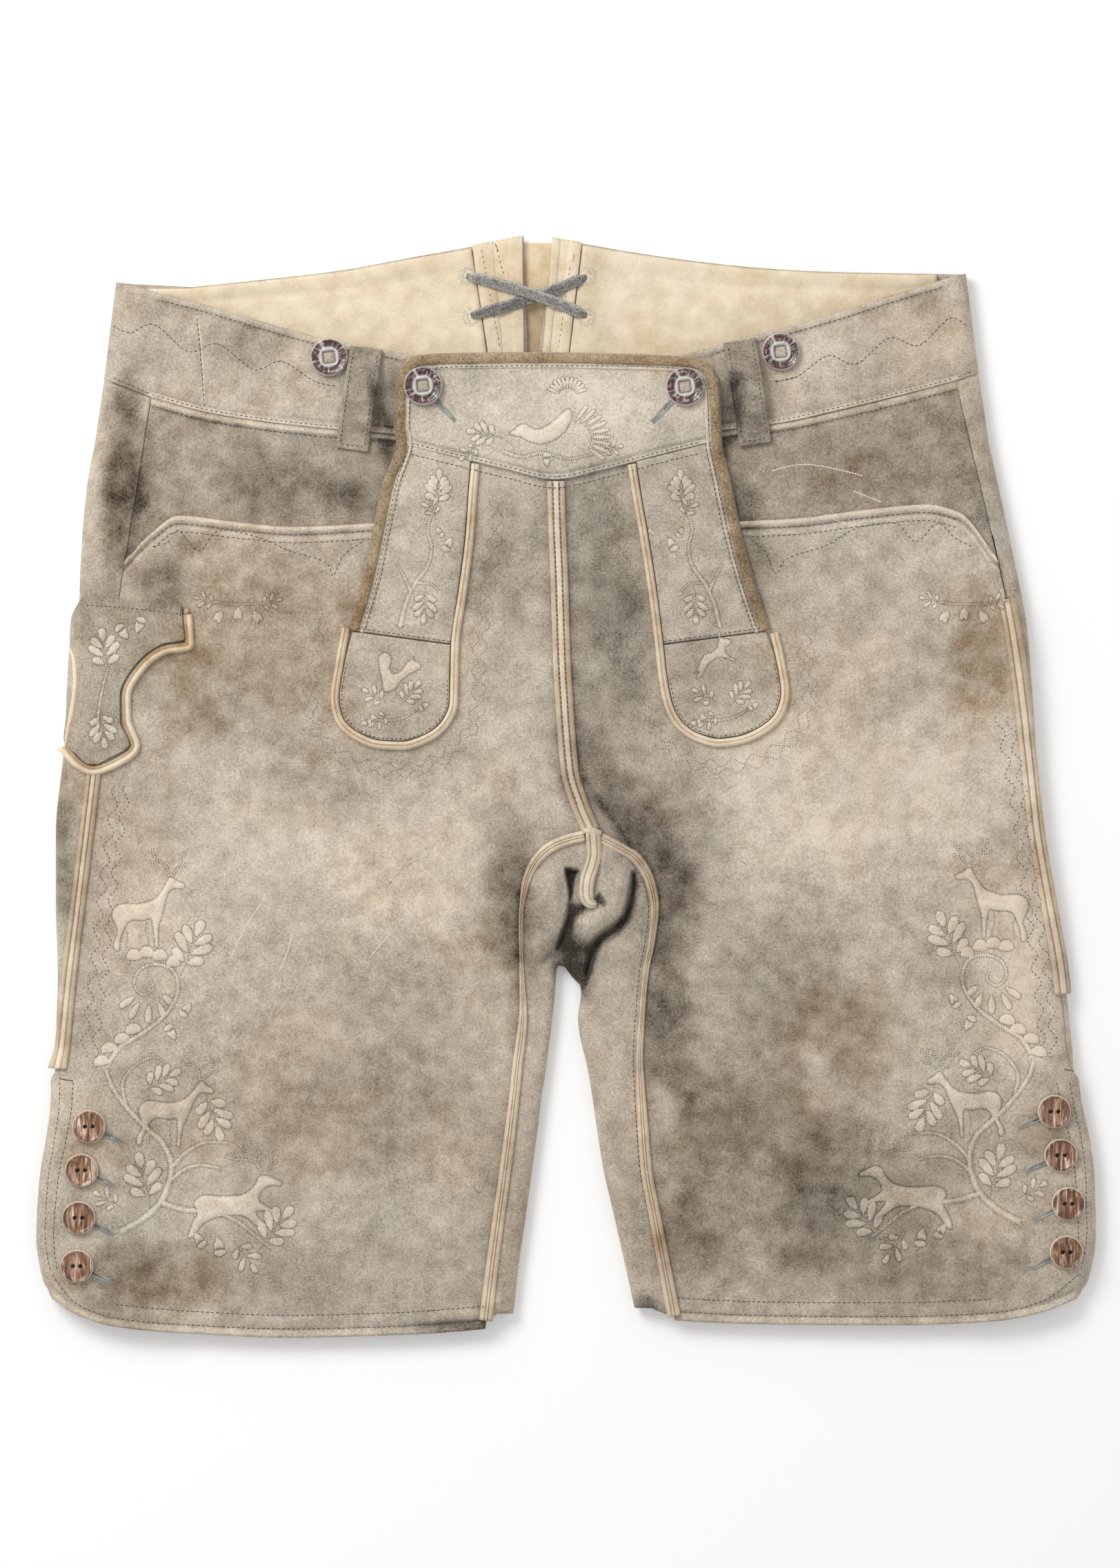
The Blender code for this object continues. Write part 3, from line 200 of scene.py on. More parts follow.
# Creases pressed into the laid hide: from, to, how wide and how deep (a ridge is less than 0)
CREASES = table(
    "x0 y0 x1 y1 width depth",
    (14, -9, 33, -32, 5, 1.1), (36, -18, 62, -62, 9, 0.9), (60, -70, 66, -140, 10, 0.8),
    (52, -120, 58, -210, 9, 0.6), (-34, -60, -36, -150, 7, 0.9), (-50, -30, -30, -62, 9, 0.5),
    (-120, 172, -196, 156, 9, 0.7), (-100, 186, -150, 176, 6, 0.5), (96, 180, 150, 168, 8, 0.6),
    (120, 190, 190, 196, 7, -0.4), (-180, 120, -120, 96, 12, 0.4), (130, 118, 205, 96, 12, 0.5),
    (-205, 20, -120, -8, 14, 0.4), (150, 10, 230, 40, 13, -0.4), (-150, -120, -70, -150, 14, 0.4),
    (80, -200, 160, -232, 13, 0.5), (90, -90, 180, -120, 15, 0.4), (-235, -90, -200, -150, 10, -0.3),
    (-20, 20, -60, -10, 8, 0.4), (200, -60, 226, -140, 12, 0.4), (-78, -150, -66, -230, 9, 0.5),
    (-160, 60, -190, -20, 12, 0.4), (120, 70, 176, 30, 11, 0.5), (40, -20, 120, 6, 12, 0.5),
    (-60, -20, -130, 14, 13, 0.4), (150, -260, 90, -274, 10, -0.4), (-120, -250, -180, -262, 11, -0.4),
)


def smooth(knots, values, at):
    """A smooth reading between the knots that never passes its neighbours."""
    order = np.argsort(knots)
    xs = knots[order]
    ys = values[order]
    at = np.clip(np.asarray(at, float), xs[0], xs[-1])
    span = np.diff(xs)
    rise = np.diff(ys) / span
    before, after = rise[:-1], rise[1:]
    total = np.where(before + after == 0, 1.0, before + after)
    bend = np.where(before * after > 0, 2 * before * after / total, 0.0)
    slope = np.concatenate((rise[:1], bend, rise[-1:]))
    place = np.clip(np.searchsorted(xs, at, side="right") - 1, 0, len(span) - 1)
    t = (at - xs[place]) / span[place]
    return (
        ys[place] * (2 * t**3 - 3 * t**2 + 1)
        + slope[place] * span[place] * (t**3 - 2 * t**2 + t)
        + ys[place + 1] * (3 * t**2 - 2 * t**3)
        + slope[place + 1] * span[place] * (t**3 - t**2)
    )


def ramp(value, start, end):
    """A smooth rise from 0 at start to 1 at end."""
    share = np.clip((value - start) / (end - start), 0.0, 1.0)
    return share * share * (3 - 2 * share)


def swell(value, middle, width):
    """A soft ridge across a line, 1 high on its middle."""
    return np.exp(-(((value - middle) / width) ** 2))


def relief(away, rows):
    """Ridges and grooves beside an edge: how far in, how wide and how high each is."""
    return sum(high * swell(away, middle, width) for middle, width, high in rows)


def fold_x(side, y):
    """Where a side's fold lies, the outline's edge."""
    return smooth(SIDES["y"], SIDES[side + "_fold"], y)


def seam_x(side, y):
    """Where a side's seam lies, between the back and the front."""
    return smooth(SIDES["y"], SIDES[side + "_seam"], y)


def cloud(x, y, size, seed):
    """Soft random patches between -1 and 1, about size across."""
    u = np.asarray(x, float) / size
    v = np.asarray(y, float) / size
    i, j = np.floor(u), np.floor(v)
    a, b = u - i, v - j
    a, b = a * a * (3 - 2 * a), b * b * (3 - 2 * b)

    def corner(di, dj):
        scattered = np.sin((i + di) * 127.1 + (j + dj) * 311.7 + seed * 74.7) * 43758.5453
        return (scattered - np.floor(scattered)) * 2 - 1

    low = corner(0, 0) * (1 - a) + corner(1, 0) * a
    high = corner(0, 1) * (1 - a) + corner(1, 1) * a
    return low * (1 - b) + high * b


def waves(x, y):
    """The laid hide's soft unevenness and its creases, which every layer follows."""
    height = 0.55 * cloud(x, y, 83.0, 3) + 0.25 * cloud(x + 17, y - 9, 37.0, 8)
    for x0, y0, x1, y1, width, depth in zip(*CREASES.values()):
        along = np.array((x1 - x0, y1 - y0))
        length = np.hypot(*along)
        t = ((x - x0) * along[0] + (y - y0) * along[1]) / length**2
        off = np.abs((x - x0) * along[1] - (y - y0) * along[0]) / length
        past = np.maximum(np.maximum(-t, t - 1), 0.0) * length
        height = height - depth * np.exp(-(off**2 + past**2) / (width * 0.6) ** 2)
    return height


def laid_height(x, y):
    """How high the laid garment's top lies over the floor, before its creases."""
    height = HEM_HEIGHT + (WAIST_HEIGHT - HEM_HEIGHT) * (y - HEM_Y) / (WAIST_Y - HEM_Y)
    away = np.hypot(x - CROTCH[0], y - CROTCH[1]) / CROTCH_SPREAD
    return height + CROTCH_RISE * np.exp(-away * away)


def front_lift(y):
    """How far the front panels are raised by the hip panels under them."""
    return LAYER * ramp(y, SEAT_Y, POCKET_LAP_Y)


def slit_lift(x, y):
    """How far the front panels climb onto the underlap beside the buttoned slit."""
    depth = np.minimum(x - fold_x("right", y), fold_x("left", y) - x)
    above = ramp(y, SLIT_Y, SLIT_Y + 16)
    return (LAYER + 0.6) * (1 - above) * (1 - ramp(depth, SLIT_LAP, SLIT_LAP_END))


def panel_lift(x, y):
    """How far the front panels' top is over the back's level."""
    return front_lift(y) + slit_lift(x, y)


def on_top(x, y, lift):
    """Points above the laid top at (x, y), moved out square to the side folds."""
    x, y, lift = np.broadcast_arrays(np.asarray(x, float), np.asarray(y, float), lift)
    right_depth = x - fold_x("right", y)
    left_depth = fold_x("left", y) - x
    side = np.where(right_depth < left_depth, -1.0, 1.0)
    depth = np.maximum(np.minimum(right_depth, left_depth), 0.0)
    height = laid_height(x, y)
    sine = np.clip(1.0 - depth / FOLD_REACH, 0.0, 1.0)
    cosine = np.sqrt(1.0 - sine * sine)
    out_x = side * sine / FOLD_REACH
    out_z = cosine * 2.0 / height
    size = np.hypot(out_x, out_z)
    level = height / 2 * (1.0 + cosine) + waves(x, y) * ramp(depth, 2.0, 24.0)
    return np.stack((x + out_x / size * lift, y, level + out_z / size * lift), axis=-1)


def round_fold(edge, heading, height, angles):
    """Rows of points round a fold, from each angle to the next, for arrays of edges."""
    cosine = np.cos(np.radians(angles))
    sine = np.sin(np.radians(angles))
    x = edge[0] - heading[0] * FOLD_REACH * (1 - cosine)
    y = edge[1] - heading[1] * FOLD_REACH * (1 - cosine)
    return np.stack((x, y, height / 2 * (1 + sine)), axis=-1)


# Stains, and painted shadows by the belt loops: where, how far across and along, the way it leans, how
# dark and how brown
STAINS_AND_SHADOWS = table(
    "x y wide tall lean dark brown",
    (-118, 156, 18, 10, 0, 0.30, 0.1), (-93, 208, 6, 16, 0, 0.40, 0.1),
    (-238, 166, 11, 46, -5, 0.62, 0.5), (-211, 121, 34, 7, 30, 0.25, 0.3),
    (-175, 102, 46, 22, 0, 0.12, 0.2), (-200, 56, 24, 30, 0, 0.14, 0.5),
    (-150, 60, 40, 30, 0, 0.08, 0.2), (-113, 100, 12, 13, 0, 0.15, 0.5),
    (-190, 236, 34, 12, 12, 0.12, 0.1), (-38, 125, 22, 26, 0, 0.14, 0), (100, 131, 9, 36, 4, 0.40, 0.1),
    (22, 104, 24, 60, 6, 0.22, 0), (27, 52, 26, 40, 0, 0.16, 0), (82, 66, 26, 26, 0, 0.12, 0),
    (66, 140, 24, 36, 0, 0.10, 0), (33, -15, 44, 17, -54, 0.46, 0.1), (55, -96, 15, 58, 0, 0.38, 0.1),
    (70, -30, 20, 30, 0, 0.12, 0), (-28, -62, 15, 52, 0, 0.32, 0.25), (-84, -120, 34, 40, 0, 0.10, 0),
    (-120, -176, 60, 34, 0, 0.10, 0.1), (-125, -262, 70, 24, 0, 0.12, 0.1),
    (221, 65, 14, 36, 0, 0.10, 0.5), (221, 96, 18, 14, 0, 0.12, 0.2), (151, -128, 26, 24, 0, 0.20, 0.4),
    (104, -100, 40, 30, 0, 0.14, 0.1), (104, -205, 56, 64, 0, 0.26, 0.3),
    (63, -244, 18, 24, 0, 0.16, 0.1), (138, -250, 34, 20, 0, 0.20, 0.1),
    (200, -262, 44, 24, 0, 0.18, 0.1), (190, -200, 30, 30, 0, 0.10, 0.1),
    (258, -188, 12, 15, 0, 0.08, 0.5), (-262, -198, 10, 15, 0, 0.10, 0.5),
    (-222, -262, 34, 18, 0, 0.18, 0.4), (-271, -30, 6, 44, 0, 0.30, 0.2),
    (151, 165, 28, 14, 0, 0.06, 0.4), (-151, -21, 36, 28, 0, -0.10, 0), (-82, -41, 50, 40, 0, -0.16, 0),
    (-138, -92, 44, 40, 0, -0.08, 0), (-221, -70, 22, 28, 0, -0.12, 0), (160, -6, 80, 50, 0, -0.20, 0),
    (105, 0, 40, 36, 0, -0.10, 0), (244, -110, 16, 54, 0, -0.22, 0), (-8, 205, 82, 26, 0, -0.20, 0),
    (-30, 52, 22, 34, 0, -0.12, 0), (-92, 60, 20, 26, 0, -0.08, 0), (-76, 130, 20, 44, 0, -0.08, 0),
    (150, 232, 66, 16, 12, -0.12, 0), (-50, -291, 24, 4, 0, 0.65, 0.1), (44, -281, 8, 8, 0, 0.60, 0.1),
    (-156, 163, 24, 14, 0, 0.16, 0), (86, -172, 26, 20, 0, 0.17, 0.05),
    (143, -208, 28, 26, 0, 0.28, 0.05), (197, -264, 28, 18, 0, 0.14, 0),
    (54, -134, 9, 34, 0, 0.18, 0.05), (-94, 60, 14, 20, 0, 0.13, 0), (23, 110, 18, 30, 0, 0.10, 0),
    (-119, -171, 16, 14, 0, -0.10, 0), (52, 198, 26, 14, 0, 0.10, -0.1),
    # The rows at (88.5, 203) and (-99, 196), and (-93, 208) above, are painted shadow between each belt
    # loop and the drop front.
    (84, 60, 16, 18, 0, -0.08, -0.15), (88.5, 203, 6, 20, -10, 0.55, 0),
    (-99, 196, 4.5, 22, 12, 0.42, 0), (-216, 106, 16, 12, 40, 0.26, -0.1),
    (-170, 50, 40, 22, 0, 0.08, 0.05), (-138, -2, 34, 24, 0, 0.06, 0.12),
    (-140, -98, 34, 26, 0, 0.08, 0.05), (-240, -275, 22, 20, 0, 0.10, 0.1),
    (-32, -60, 12, 26, 0, 0.10, 0.1), (-32, 50, 18, 24, 0, 0.08, 0.05), (62, -22, 24, 20, 0, 0.10, 0),
    (38, -42, 14, 14, 0, -0.08, -0.1),
)


def stained_and_shaded(x, y):
    """How dark and how brown the hide is at a place, from its stains, its painted shadows and soft
    clouds.
    """
    dark = 0.395 + 0.10 * cloud(x, y, 33.0, 21) + 0.055 * cloud(x, y, 13.0, 22)
    dark = dark + 0.02 * cloud(x * 0.8 + y * 0.6, y * 0.8 - x * 0.6, 6.0, 26)
    brown = 0.22 + 0.16 * cloud(x, y, 47.0, 23) + 0.10 * cloud(x, y, 15.0, 27)
    ragged = 0.30 * cloud(x, y, 17.0, 24) + 0.10 * cloud(x, y, 7.0, 25)
    for sx, sy, wide, tall, lean, more_dark, more_brown in zip(*STAINS_AND_SHADOWS.values()):
        turn = math.radians(lean)
        across = ((x - sx) * math.cos(turn) + (y - sy) * math.sin(turn)) / wide
        along = ((y - sy) * math.cos(turn) - (x - sx) * math.sin(turn)) / tall
        share = 1 - ramp(np.hypot(across, along) + ragged, 0.25, 1.6)
        dark = dark + 1.12 * more_dark * share
        brown = brown + more_brown * share
    return 1.05 * np.tanh(np.maximum(dark, 0.0) / 1.05), np.clip(brown, 0.0, 1.0)


def joined(tree, kind, links=(), **settings):
    """Adds a node, sets its fields, and fills its inputs with values or other nodes' outputs."""
    made = tree.nodes.new(kind)
    for field, value in settings.items():
        setattr(made, field, value)
    for place, value in links:
        if isinstance(value, bpy.types.NodeSocket):
            tree.links.new(value, made.inputs[place])
        else:
            made.inputs[place].default_value = value
    return made


def mixed(tree, share, a, b, blend="MIX"):
    """A mix of two colours, each a value or another node's output."""
    made = joined(tree, "ShaderNodeMix", data_type="RGBA", blend_type=blend)
    for socket, value in zip((0, 6, 7), (share, a, b)):
        if isinstance(value, bpy.types.NodeSocket):
            tree.links.new(value, made.inputs[socket])
        else:
            made.inputs[socket].default_value = value
    return made.outputs[2]


def attribute(tree, field):
    """What a mesh says of itself at each point, such as its wear and painted shade."""
    return joined(tree, "ShaderNodeAttribute", attribute_name=field).outputs["Fac"]


def linear(red, green, blue):
    """A colour given as it looks on a screen, 0 to 255, as light."""
    share = np.array((red, green, blue)) / 255.0
    light = np.where(share <= 0.04045, share / 12.92, ((share + 0.055) / 1.055) ** 2.4)
    return (*light, 1.0)


def leather_material(name, pale, dark, brown, speckle=0.5, grain=0.5, rough=0.9, napped=0.25,
                     scale=1.0):
    """Napped hide: pale and dark by wear and painted shade, a brown tinge, speckled nap and soft creases.
    """
    made = bpy.data.materials.new(name)
    made.use_nodes = True
    tree = made.node_tree
    shader = tree.nodes["Principled BSDF"]
    place = joined(tree, "ShaderNodeTexCoord").outputs["Object"]

    def noise(size, detail, roughness, seed=0.0):
        moved = joined(tree, "ShaderNodeVectorMath", [(0, place), (1, (seed, seed * 0.7, 0.0))])
        links = [("Vector", moved.outputs[0]), ("Scale", 1 / (size * scale * MM))]
        links += [("Detail", detail), ("Roughness", roughness)]
        return joined(tree, "ShaderNodeTexNoise", links).outputs["Fac"]

    def spread(value, low, high, to_low, to_high):
        links = [(0, value), (1, low), (2, high), (3, to_low), (4, to_high)]
        return joined(tree, "ShaderNodeMapRange", links).outputs[0]

    def sum_of(a, b, operation="ADD"):
        return joined(tree, "ShaderNodeMath", [(0, a), (1, b)], operation=operation).outputs[0]

    # This field darkens the leather for its wear and for painted shade, and pales it for painted
    # highlights.
    wear_and_shade = attribute(tree, "wear_and_shade")
    nap = noise(1.0, detail=3.0, roughness=0.7)
    fleck = noise(1.9, detail=2.0, roughness=0.6, seed=0.31)
    patch = noise(10.0, detail=3.0, roughness=0.5, seed=0.57)
    blotch = spread(patch, 0.32, 0.68, -0.09, 0.10)
    specks = spread(nap, 0.30, 0.70, -0.46, 0.46)
    flecks = spread(fleck, 0.30, 0.70, -0.13, 0.13)
    calmer = spread(wear_and_shade, 0.3, 1.0, speckle, 0.45 * speckle)
    shade = sum_of(sum_of(specks, flecks), calmer, "MULTIPLY")
    darkness = sum_of(sum_of(wear_and_shade, blotch), shade)
    clear = joined(tree, "ShaderNodeClamp", [(0, darkness)]).outputs[0]
    colour = mixed(tree, clear, pale, dark)
    browned = mixed(tree, 1.0, colour, brown, "MULTIPLY")
    brown_share = sum_of(attribute(tree, "tinge"), spread(patch, 0.3, 0.7, 0.4, 1.1), "MULTIPLY")
    colour = mixed(tree, brown_share, colour, browned)
    tree.links.new(colour, shader.inputs["Base Color"])
    shader.inputs["Specular IOR Level"].default_value = 0.2
    shader.inputs["Sheen Weight"].default_value = napped
    shader.inputs["Sheen Roughness"].default_value = 0.5
    roughness = spread(fleck, 0.3, 0.7, rough - 0.08, rough + 0.06)
    tree.links.new(roughness, shader.inputs["Roughness"])
    wrinkle = noise(4.5, detail=5.0, roughness=0.55, seed=0.83)
    height = sum_of(sum_of(nap, 0.22 * grain, "MULTIPLY"), sum_of(wrinkle, 0.9 * grain, "MULTIPLY"))
    bump = joined(tree, "ShaderNodeBump", [("Height", height), ("Distance", 0.6 * MM), ("Strength", 0.8)])
    tree.links.new(bump.outputs[0], shader.inputs["Normal"])
    return made


hide = leather_material(
    "hide", linear(234, 221, 202), linear(56, 49, 42), linear(224, 198, 160), speckle=0.52, grain=0.8
)


def grid_faces(rows, columns, first=0, around=False):
    """The faces of a grid of points, whose last column meets the first if it goes around."""
    faces = []
    last = columns if around else columns - 1
    for r in range(rows - 1):
        low = first + r * columns
        for c in range(last):
            d = (c + 1) % columns
            faces.append((low + c, low + d, low + columns + d, low + columns + c))
    return faces


def mesh_of(name, points, faces, *materials):
    """A smooth mesh from points in millimetres, linked to the scene."""
    mesh = bpy.data.meshes.new(name)
    mesh.from_pydata(in_metres(points).tolist(), [], faces)
    mesh.validate()
    for made in materials:
        mesh.materials.append(made)
    mesh.shade_smooth()
    obj = bpy.data.objects.new(name, mesh)
    bpy.context.scene.collection.objects.link(obj)
    return obj


def travelled(points):
    """How far along a plan line each of its points is."""
    return np.concatenate(([0.0], np.cumsum(np.hypot(*np.diff(points, axis=0).T))))


def square_to(points):
    """The way square to a plan line at each of its points, to its right as it runs."""
    run = np.gradient(points, axis=0)
    run = run / np.hypot(*run.T)[:, None]
    return np.column_stack((run[:, 1], -run[:, 0]))


def course(start, end):
    """The way from one plan point to another, and the way square to it on its right."""
    run = np.subtract(end, start, dtype=float)
    run = run / np.hypot(*run)
    return run, np.array((run[1], -run[0]))


def stacked(points, x="x", y="y"):
    """Two of a table's columns as a plan line."""
    return np.column_stack((points[x], points[y]))


def evenly(points, count):
    """Points spaced evenly along a plan line, on a smooth curve through its stations."""
    lengths = travelled(points)
    at = np.linspace(0, lengths[-1], count)
    return np.stack((smooth(lengths, points[:, 0], at), smooth(lengths, points[:, 1], at)), axis=-1)


def shaded_along_lines(places, lines):
    """How much darker or paler places are near some lines: painted highlights on ridges, painted shade
    in grooves, beside raised strips and down the gusset, and the thongs' paler edges.
    """
    change = np.zeros(len(places))
    for points, reach, amount in lines:
        points = evenly(np.asarray(points, float), 240)
        tree = KDTree(len(points))
        for k, (x, y) in enumerate(points):
            tree.insert((x, y, 0.0), k)
        tree.balance()
        low, high = points.min(axis=0) - 3 * reach, points.max(axis=0) + 3 * reach
        close = np.flatnonzero(np.all((places[:, :2] > low) & (places[:, :2] < high), axis=1))
        away = np.array([tree.find((x, y, 0.0))[2] for x, y in places[close, :2]])
        if len(close):
            change[close] += amount * np.exp(-((away / reach) ** 2))
    return change


def inside_of(points, outline):
    """Which points lie inside a closed outline."""
    outline = np.asarray(outline, float)
    x, y = points[:, 0][:, None], points[:, 1][:, None]
    x0, y0 = outline[:, 0][None], outline[:, 1][None]
    x1, y1 = np.roll(outline[:, 0], -1)[None], np.roll(outline[:, 1], -1)[None]
    crosses = (y0 > y) != (y1 > y)
    rise = np.where(y1 == y0, 1e-9, y1 - y0)
    return (crosses & (x < (x1 - x0) * (y - y0) / rise + x0)).sum(axis=1) % 2 == 1


def depth_in(points, outline):
    """How far each point is inside a closed outline, less than nothing outside it."""
    start = np.asarray(outline, float)
    run = np.roll(start, -1, axis=0) - start
    offset = points[:, None, :] - start[None]
    share = np.clip((offset * run).sum(axis=2) / (run * run).sum(axis=1), 0, 1)
    away = np.hypot(*np.moveaxis(offset - share[..., None] * run, 2, 0)).min(axis=1)
    return np.where(inside_of(points, start), away, -away)


def write_field(mesh, field, values):
    """Writes a share from 0 to 1 for each of a mesh's points, where its material reads it."""
    layer = mesh.attributes.new(field, "FLOAT", "POINT")
    layer.data.foreach_set("value", np.clip(values, 0, 1).astype(np.float32))


def wear_and_shade_of(obj, extra_dark, extra_brown, lines=(), shadows=()):
    """How dark and brown a piece is: where it lies, its own tone, painted highlights, shade and shadows.
    """
    mesh = obj.data
    places = np.empty(len(mesh.vertices) * 3)
    mesh.vertices.foreach_get("co", places)
    places = places.reshape(-1, 3) / MM + MIDDLE
    dark, brown = stained_and_shaded(places[:, 0], places[:, 1])
    on_floor = ramp(places[:, 2], 3.5, 6.0)
    dark = 0.36 + (dark - 0.36) * on_floor + extra_dark + shaded_along_lines(places, lines)
    # Painted shadow inside each shadow's outline, softened across its edge.
    for _, soft, darker, outline in shadows:
        dark = dark + darker * ramp(depth_in(places[:, :2], outline), -soft, 0.7 * soft)
    write_field(mesh, "wear_and_shade", dark)
    write_field(mesh, "tinge", brown + extra_brown)


def walled(obj, thickness, rim_only):
    """Gives a piece its leather's thickness inwards, or turns in its edges only."""
    wall = obj.modifiers.new("wall", "SOLIDIFY")
    wall.thickness = thickness * MM
    wall.offset = -1.0
    wall.use_rim = True
    wall.use_rim_only = rim_only


def set_down(obj):
    """Makes a piece's wall real and keeps it all above the floor."""
    seen = obj.evaluated_get(bpy.context.evaluated_depsgraph_get())
    mesh = bpy.data.meshes.new_from_object(seen)
    for vertex in mesh.vertices:
        vertex.co.z = max(vertex.co.z, 0.0)
    obj.modifiers.clear()
    obj.data = mesh


def hide_piece(name, blocks, thickness=HIDE, made=hide, dark=0.0, brown=0.0, rim_only=False,
               lines=(), shadows=()):
    """A cut of leather from grids of outer-face points, welded where the grids share a row."""
    points = np.concatenate([block.reshape(-1, 3) for block in blocks])
    faces = []
    first = 0
    for block in blocks:
        faces += grid_faces(block.shape[0], block.shape[1], first)
        first += block.shape[0] * block.shape[1]
    corners = np.array(faces)
    highest = points[corners][:, :, 2].mean(axis=1).argmax()
    a, b, c, d = points[corners[highest]]
    if np.cross(c - a, d - b)[2] < 0:
        faces = [face[::-1] for face in faces]
    obj = mesh_of(name + "_leather", points, faces, made)
    if len(blocks) > 1:
        made_mesh = bmesh.new()
        made_mesh.from_mesh(obj.data)
        bmesh.ops.remove_doubles(made_mesh, verts=made_mesh.verts, dist=0.02 * MM)
        made_mesh.to_mesh(obj.data)
        made_mesh.free()
    wear_and_shade_of(obj, dark, brown, lines, shadows)
    walled(obj, thickness, rim_only)
    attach(obj, "root")
    return obj


WAIST_FRONT = each_side(
    "top_x top_y low_x low_y",
    (
        (-5.5, 227.5, -5.5, 184), (-40, 228.5, -40, 185.2), (-76, 230.5, -76, 187.2),
        (-100, 234.8, -100, 189.5), (-130, 240.3, -130, 192), (-160, 248.5, -160, 195.3),
        (-192, 258, -192, 200.3), (-219, 265, -223, 208.7),
    ), (
        (-5.5, 227.5, -5.5, 184), (30, 228.5, 30, 185.5), (64, 232, 64, 188.2), (90, 239.2, 90, 191.5),
        (118, 246.2, 118, 195.3), (146, 254.3, 146, 201.5), (178, 264.5, 178, 209.2),
        (203, 272, 210, 217.5),
    ),
)

WAIST_FOLD = each_side(
    "top_x top_y low_x low_y", ((-242, 271, -248.5, 218.5),), ((215.5, 275.5, 222.5, 221.5),)
)

WAIST_BACK = each_side(
    "top_x top_y low_x low_y",
    (
        (-205, 268.3, -212, 210), (-165, 272.5, -170, 206.8), (-122, 277.5, -126, 204),
        (-85, 284.3, -88, 202), (-50, 290.5, -51, 200.3), (-22.5, 295.8, -19.2, 198.6),
    ), (
        (185, 276, 190, 213.5), (145, 276.8, 150, 209), (105, 279, 108, 206), (65, 283.3, 66, 203),
        (28, 288.8, 25, 200.8), (-6.5, 294.5, -19.2, 198.6),
    ),
)

LACING_X = -15.0


def floor_rise(x, y):
    """How far the waistband's ends rise over the gusset at the centre back."""
    beside_lacing = ramp(44.0 - np.abs(x - LACING_X), 0.0, 20.0)
    return LAYER * beside_lacing * ramp(y, 201.0, 212.0)


def edges_at(stations, share):
    """A waistband line at a share of its height, from its lower edge (0) to its top (1)."""
    x = stations["low_x"] + (stations["top_x"] - stations["low_x"]) * share
    y = stations["low_y"] + (stations["top_y"] - stations["low_y"]) * share
    return np.stack((x, y), axis=-1)


def waist_fold(side, share, start, end, flat_count, fold_count):
    """From the side seam round the side fold to the floor, at a share of the band's height."""
    sign = SIGN[side]
    edge = edges_at(WAIST_FOLD[side], share)[0]
    flat_end = edge[0] - sign * FOLD_REACH
    xs = np.linspace(start[0], flat_end, flat_count, endpoint=False)
    near = (xs - edge[0]) / (start[0] - edge[0])
    ys = edge[1] + (start[1] - edge[1]) * near
    flat = on_top(xs, ys, 0.0)
    height = laid_height(edge[0], edge[1])
    angles = np.linspace(90, -90, fold_count)
    fold = round_fold(edge, (sign, 0.0), height, angles)
    other = np.where(angles > 0, start[1], end[1])
    other_x = np.where(angles > 0, start[0], end[0])
    fold[:, 1] = edge[1] + (other - edge[1]) * (fold[:, 0] - edge[0]) / (other_x - edge[0])
    fold[:, 2] += waves(fold[:, 0], fold[:, 1]) * ramp(np.abs(fold[:, 0] - edge[0]), 2, 24) * (angles > 0)
    return flat, fold


def outer_wrap(side, start_x, y, flat_count, fold_count):
    """One row from the side seam along the top to the side fold and round it to the floor."""
    sign = SIGN[side]
    edge = fold_x(side, y)
    depth = abs(start_x - edge)
    first = 90.0
    if depth > FOLD_REACH + 0.5:
        xs = np.linspace(start_x, edge - sign * FOLD_REACH, flat_count, endpoint=False)
    else:
        at = math.degrees(math.acos(min(max(1.0 - depth / FOLD_REACH, 0.0), 1.0)))
        first = at * 0.9
        turns = np.radians(np.linspace(at, first, flat_count, endpoint=False))
        xs = edge - sign * FOLD_REACH * (1 - np.cos(turns))
    flat = on_top(xs, y, 0.0)
    angles = np.linspace(first, -90.0, fold_count)
    height = laid_height(edge - sign * FOLD_REACH, y)
    fold = round_fold((edge, y), (sign, 0.0), height, angles)
    raised = waves(fold[:, 0], fold[:, 1]) * ramp(np.abs(fold[:, 0] - edge), 2.0, 24.0)
    fold[:, 2] += raised * (angles > 0)
    return np.concatenate((flat, fold))


FLAT, FOLD, FLOOR = 14, 16, 12      # how many points lie on top, round a fold and on the floor
FINE = 46                           # and between the inner fold and the inseam
BODY_LENGTH = 215.0                 # from the waistband's seam down to the crotch
LEG_LENGTH = 200.0                  # from below the crotch to the hem
LAST_CROTCH_ROW = 5                 # the row of the leg's table where its folds end
CROTCH_ROWS = 86                    # how many fine rows of points lie above it
